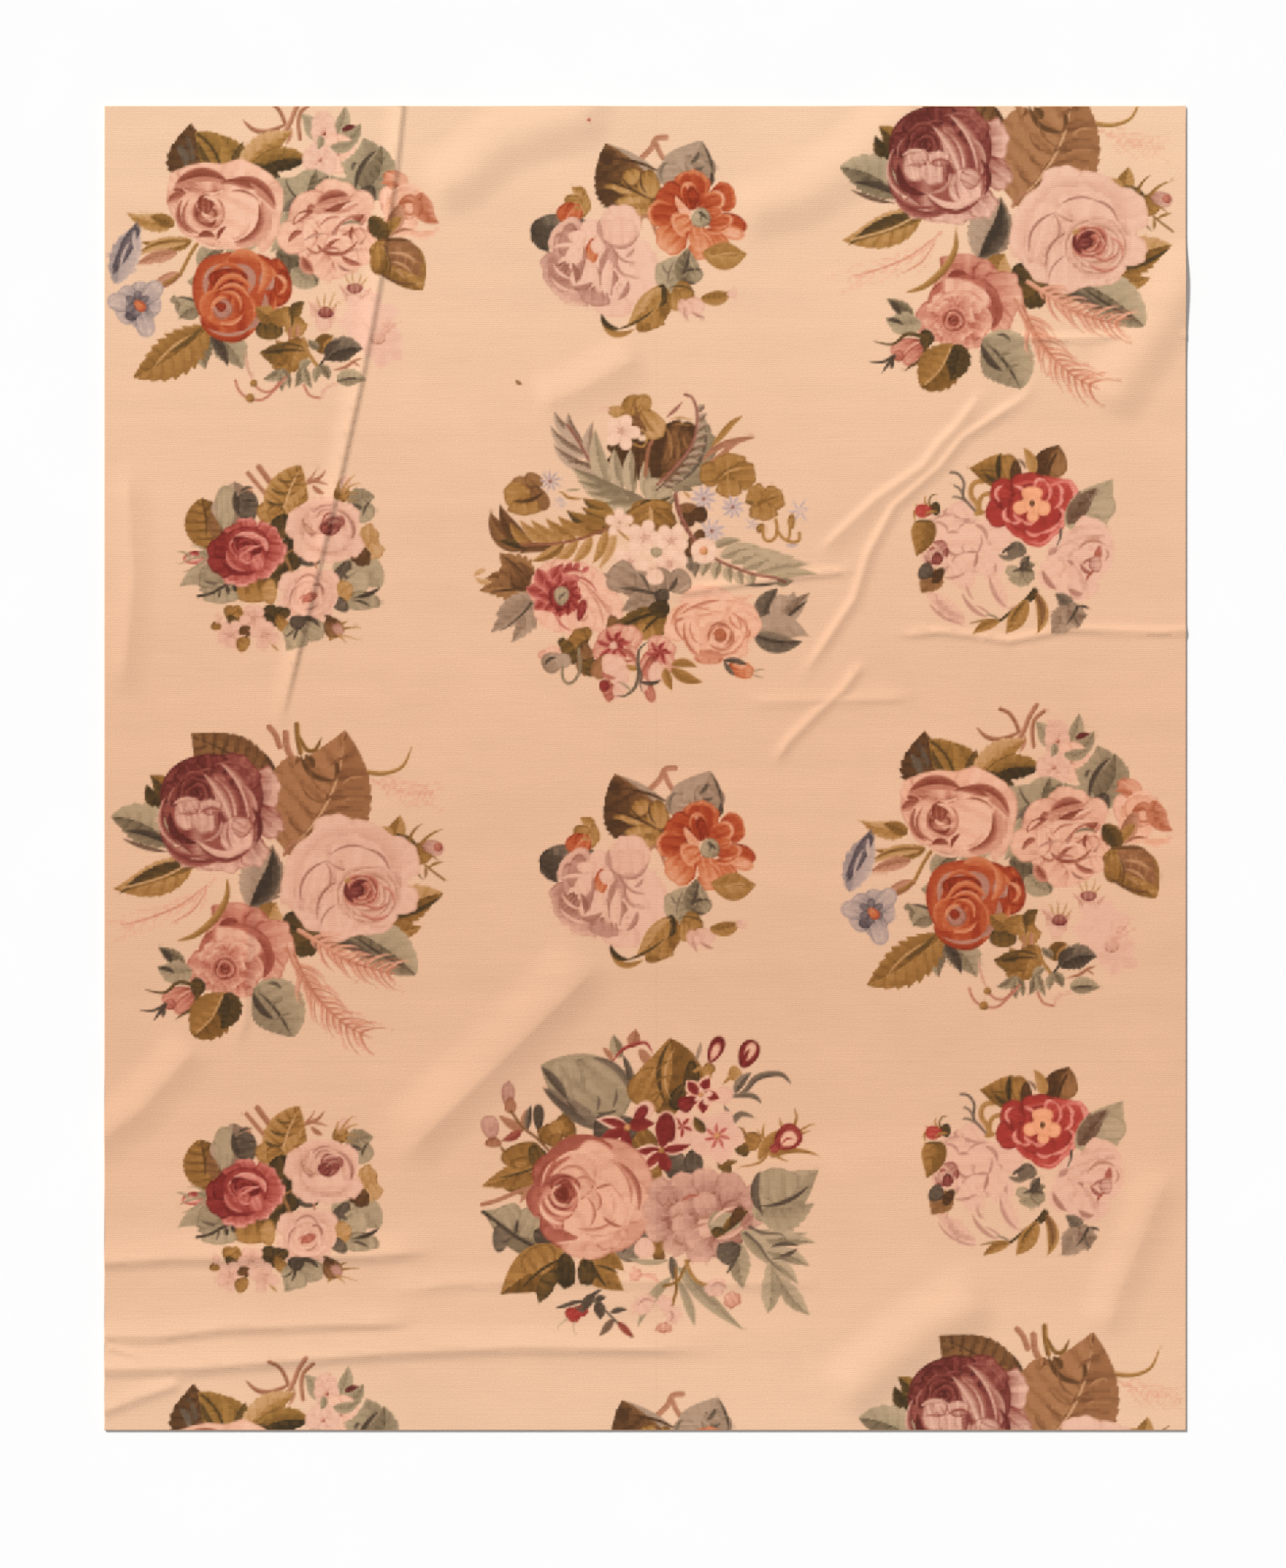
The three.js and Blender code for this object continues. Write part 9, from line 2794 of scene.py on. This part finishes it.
class Signal:
    """One socket of a finish; an expression on signals adds the Math nodes for it."""

    def __init__(self, finish, socket):
        self.finish = finish
        self.socket = socket

    def maths(self, operation, first, second):
        return self.finish.node("Math", {"operation": operation}, {0: first, 1: second})

    def __add__(self, other):
        return self.maths("ADD", self, other)

    def __sub__(self, other):
        return self.maths("SUBTRACT", self, other)

    def __rsub__(self, other):
        return self.maths("SUBTRACT", other, self)

    def __mul__(self, other):
        return self.maths("MULTIPLY", self, other)

    __radd__ = __add__
    __rmul__ = __mul__


print("operators ready: + - *")

# %% [markdown]
# The wool is matt, a little fuzzy, and never one flat colour. Hand-dyed weft changes from skein
# to skein, which shows as faint bands and fine streaks across the rug. Painted light makes it
# darker towards the middle and brightest at the far end. The rest is noise that is stretched
# along the weft, read from Object coordinates, and it only makes the woven colours lighter or darker.
# Both ends are also less orange, by a tint that is multiplied in. Two faint dark lines
# of painted shade lie along the creases where the rug was folded in half and then again.

# %% The wool
BAND_DEPTH = 0.05
STREAK_DEPTH = 0.06
FUZZ_DEPTH = 0.10
BLOTCH_DEPTH = 0.05
MOTTLE_DEPTH = 0.035
FOLD_LINE_DEPTH = 0.035
FOLD_LINE_HALF = 0.0012
LENGTHWAYS_FOLD_X = 0.015
CROSSWAYS_FOLD_Y = -0.396
END_TINT = (1.0, 1.12, 1.18, 1.0)

wool = Finish("tapestry_wool")
place = wool.node("TexCoord", output=3)
parts = {axis: wool.node("SeparateXYZ", sockets={0: place}, output=index)
         for index, axis in enumerate("xyz")}


def stretched_noise(scale_x, scale_y, detail=2.0):
    """Return noise about 0 that is stretched along the weft."""
    spot = wool.node("Mapping", sockets={"Vector": place, "Scale": (scale_x, scale_y, 1.0)})
    return wool.node("TexNoise", sockets={"Vector": spot, "Scale": 1.0, "Detail": detail}) - 0.5


bands = stretched_noise(1.6, 26.0)
streaks = stretched_noise(21.0, 420.0)
fuzz = stretched_noise(330.0, 620.0, 1.0)
blotches = stretched_noise(4.2, 5.0, 3.0)
# Soft patches several centimetres across, made lighter or darker at random.
mottle = stretched_noise(13.0, 17.0, 4.0)


def fold_line(axis, where):
    """Return 1 within a narrow line at one place on an axis, and 0 elsewhere."""
    return wool.node("Math", {"operation": "COMPARE"}, {0: parts[axis], 1: where, 2: FOLD_LINE_HALF})


# Painted shade along two creases: thin lines made darker where the rug was folded.
crease_shade_lines = fold_line("x", LENGTHWAYS_FOLD_X) + fold_line("y", CROSSWAYS_FOLD_Y)
share_down = 0.5 - parts["y"] * (METRE / RUG_LONG)
# Painted light: the ground is brighter at both ends and darkest a little past the middle.
painted_light_gradient = wool.node("ValToRGB", {"stops": [(0.0, 0.575), (0.19, 0.557), (0.43, 0.527), (0.66, 0.50),
                                       (0.84, 0.52), (1.0, 0.545)]}, {0: share_down})
level = painted_light_gradient * 2.0 + bands * (2 * BAND_DEPTH) + streaks * (2 * STREAK_DEPTH)
level = level + fuzz * (2 * FUZZ_DEPTH) + blotches * (2 * BLOTCH_DEPTH)
level = level + mottle * (2 * MOTTLE_DEPTH) - crease_shade_lines * FOLD_LINE_DEPTH
yarn_colour = wool.node("Attribute", {"attribute_name": "yarn"})
dyed = wool.node("VectorMath", {"operation": "SCALE"}, {0: yarn_colour, 3: level})
# Both ends are made less orange: a tint whose share is largest at the far end.
end_tint_share = wool.node("ValToRGB", {"stops": [(0.0, 1.0), (0.2, 0.55), (0.45, 0.1), (0.8, 0.05),
                                          (1.0, 0.7)]}, {0: share_down})
end_tinted = wool.node("Mix", {"data_type": "RGBA", "blend_type": "MULTIPLY"},
                  {0: end_tint_share, 6: dyed, 7: END_TINT}, output=2)

# %% [markdown]
# The weft covers the warp, so the surface is fine ribs along the rug's width, each one beaten
# down on the last, and the warps show as a faint second grain across them. A wave for the ribs
# and noise for the uneven spinning go to a bump node. The sheen is the same everywhere, so it
# is set on its own socket.

# %% The weave
RIB_PITCH = 0.0026
BUMP_DEPTH = 0.0005

rib_spot = wool.node("Mapping", sockets={"Vector": place, "Scale": (0.0, 1.0 / RIB_PITCH, 0.0)})
ribs = wool.node("TexWave", {"wave_type": "BANDS", "bands_direction": "Y"},
                 {"Vector": rib_spot, "Scale": 1.0 / math.pi, "Distortion": 1.2, "Detail": 1.0},
                 output=1)
relief = ribs * 0.4 + fuzz * 1.6 + streaks * 0.5
bumped = wool.node("Bump", sockets={"Strength": 0.34, "Distance": BUMP_DEPTH, "Height": relief})
surface = wool.node("BsdfPrincipled", sockets={
    "Base Color": end_tinted, "Roughness": 0.95, "Specular IOR Level": 0.12, "Sheen Weight": 0.08,
    "Sheen Roughness": 0.6, "Normal": bumped})
wool.node("OutputMaterial", sockets={"Surface": surface})
rug.data.materials.append(wool.material)
print("wool nodes", len(wool.tree.nodes))

# %% [markdown]
# The rug takes the place of its CAD solid. It's one laid sheet of cloth, cut to the size it
# has, and it rests on the floor.

# %% Joining the frame
floor_height = -0.0004
bpy.ops.object.select_all(action="DESELECT")
bpy.ops.mesh.primitive_plane_add(size=9.0, location=(0.0, 0.0, floor_height))
floor = bpy.context.object
floor.name = "studio_floor"
paper = Finish("pale_floor")
grain = paper.node("TexNoise", sockets={"Scale": 60.0, "Detail": 3.0})
tone = grain * 0.02 + 0.885
paper_colour = paper.node("CombineColor", sockets={0: tone, 1: tone, 2: tone})
paper_surface = paper.node("BsdfPrincipled", sockets={"Base Color": paper_colour, "Roughness": 0.9,
                                                      "Specular IOR Level": 0.1})
paper.node("OutputMaterial", sockets={"Surface": paper_surface})
floor.data.materials.append(paper.material)

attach(rug, "root")
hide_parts("rug_cloth")

# %% [markdown]
# The light is that of a plain studio: a broad key from the far left, low enough to show the
# creases, and an even fill from all round. The rug's colours count on the two together.

# %% The light
KEY_STRENGTH = 4.14
FILL_STRENGTH = 0.36

bpy.ops.object.light_add(type="SUN", location=(-2.0, 2.4, 3.0),
                         rotation=(math.radians(-41.3), math.radians(-41.7), 0.0))
key = bpy.context.object
key.data.energy = KEY_STRENGTH
key.data.angle = math.radians(8.0)
world = bpy.data.worlds.new("even_fill")
bpy.context.scene.world = world
world.use_nodes = True
background = world.node_tree.nodes["Background"]
background.inputs["Color"].default_value = (1.0, 1.0, 1.0, 1.0)
background.inputs["Strength"].default_value = FILL_STRENGTH
bpy.context.scene.view_settings.view_transform = "Standard"
print("key", KEY_STRENGTH, "fill", FILL_STRENGTH)
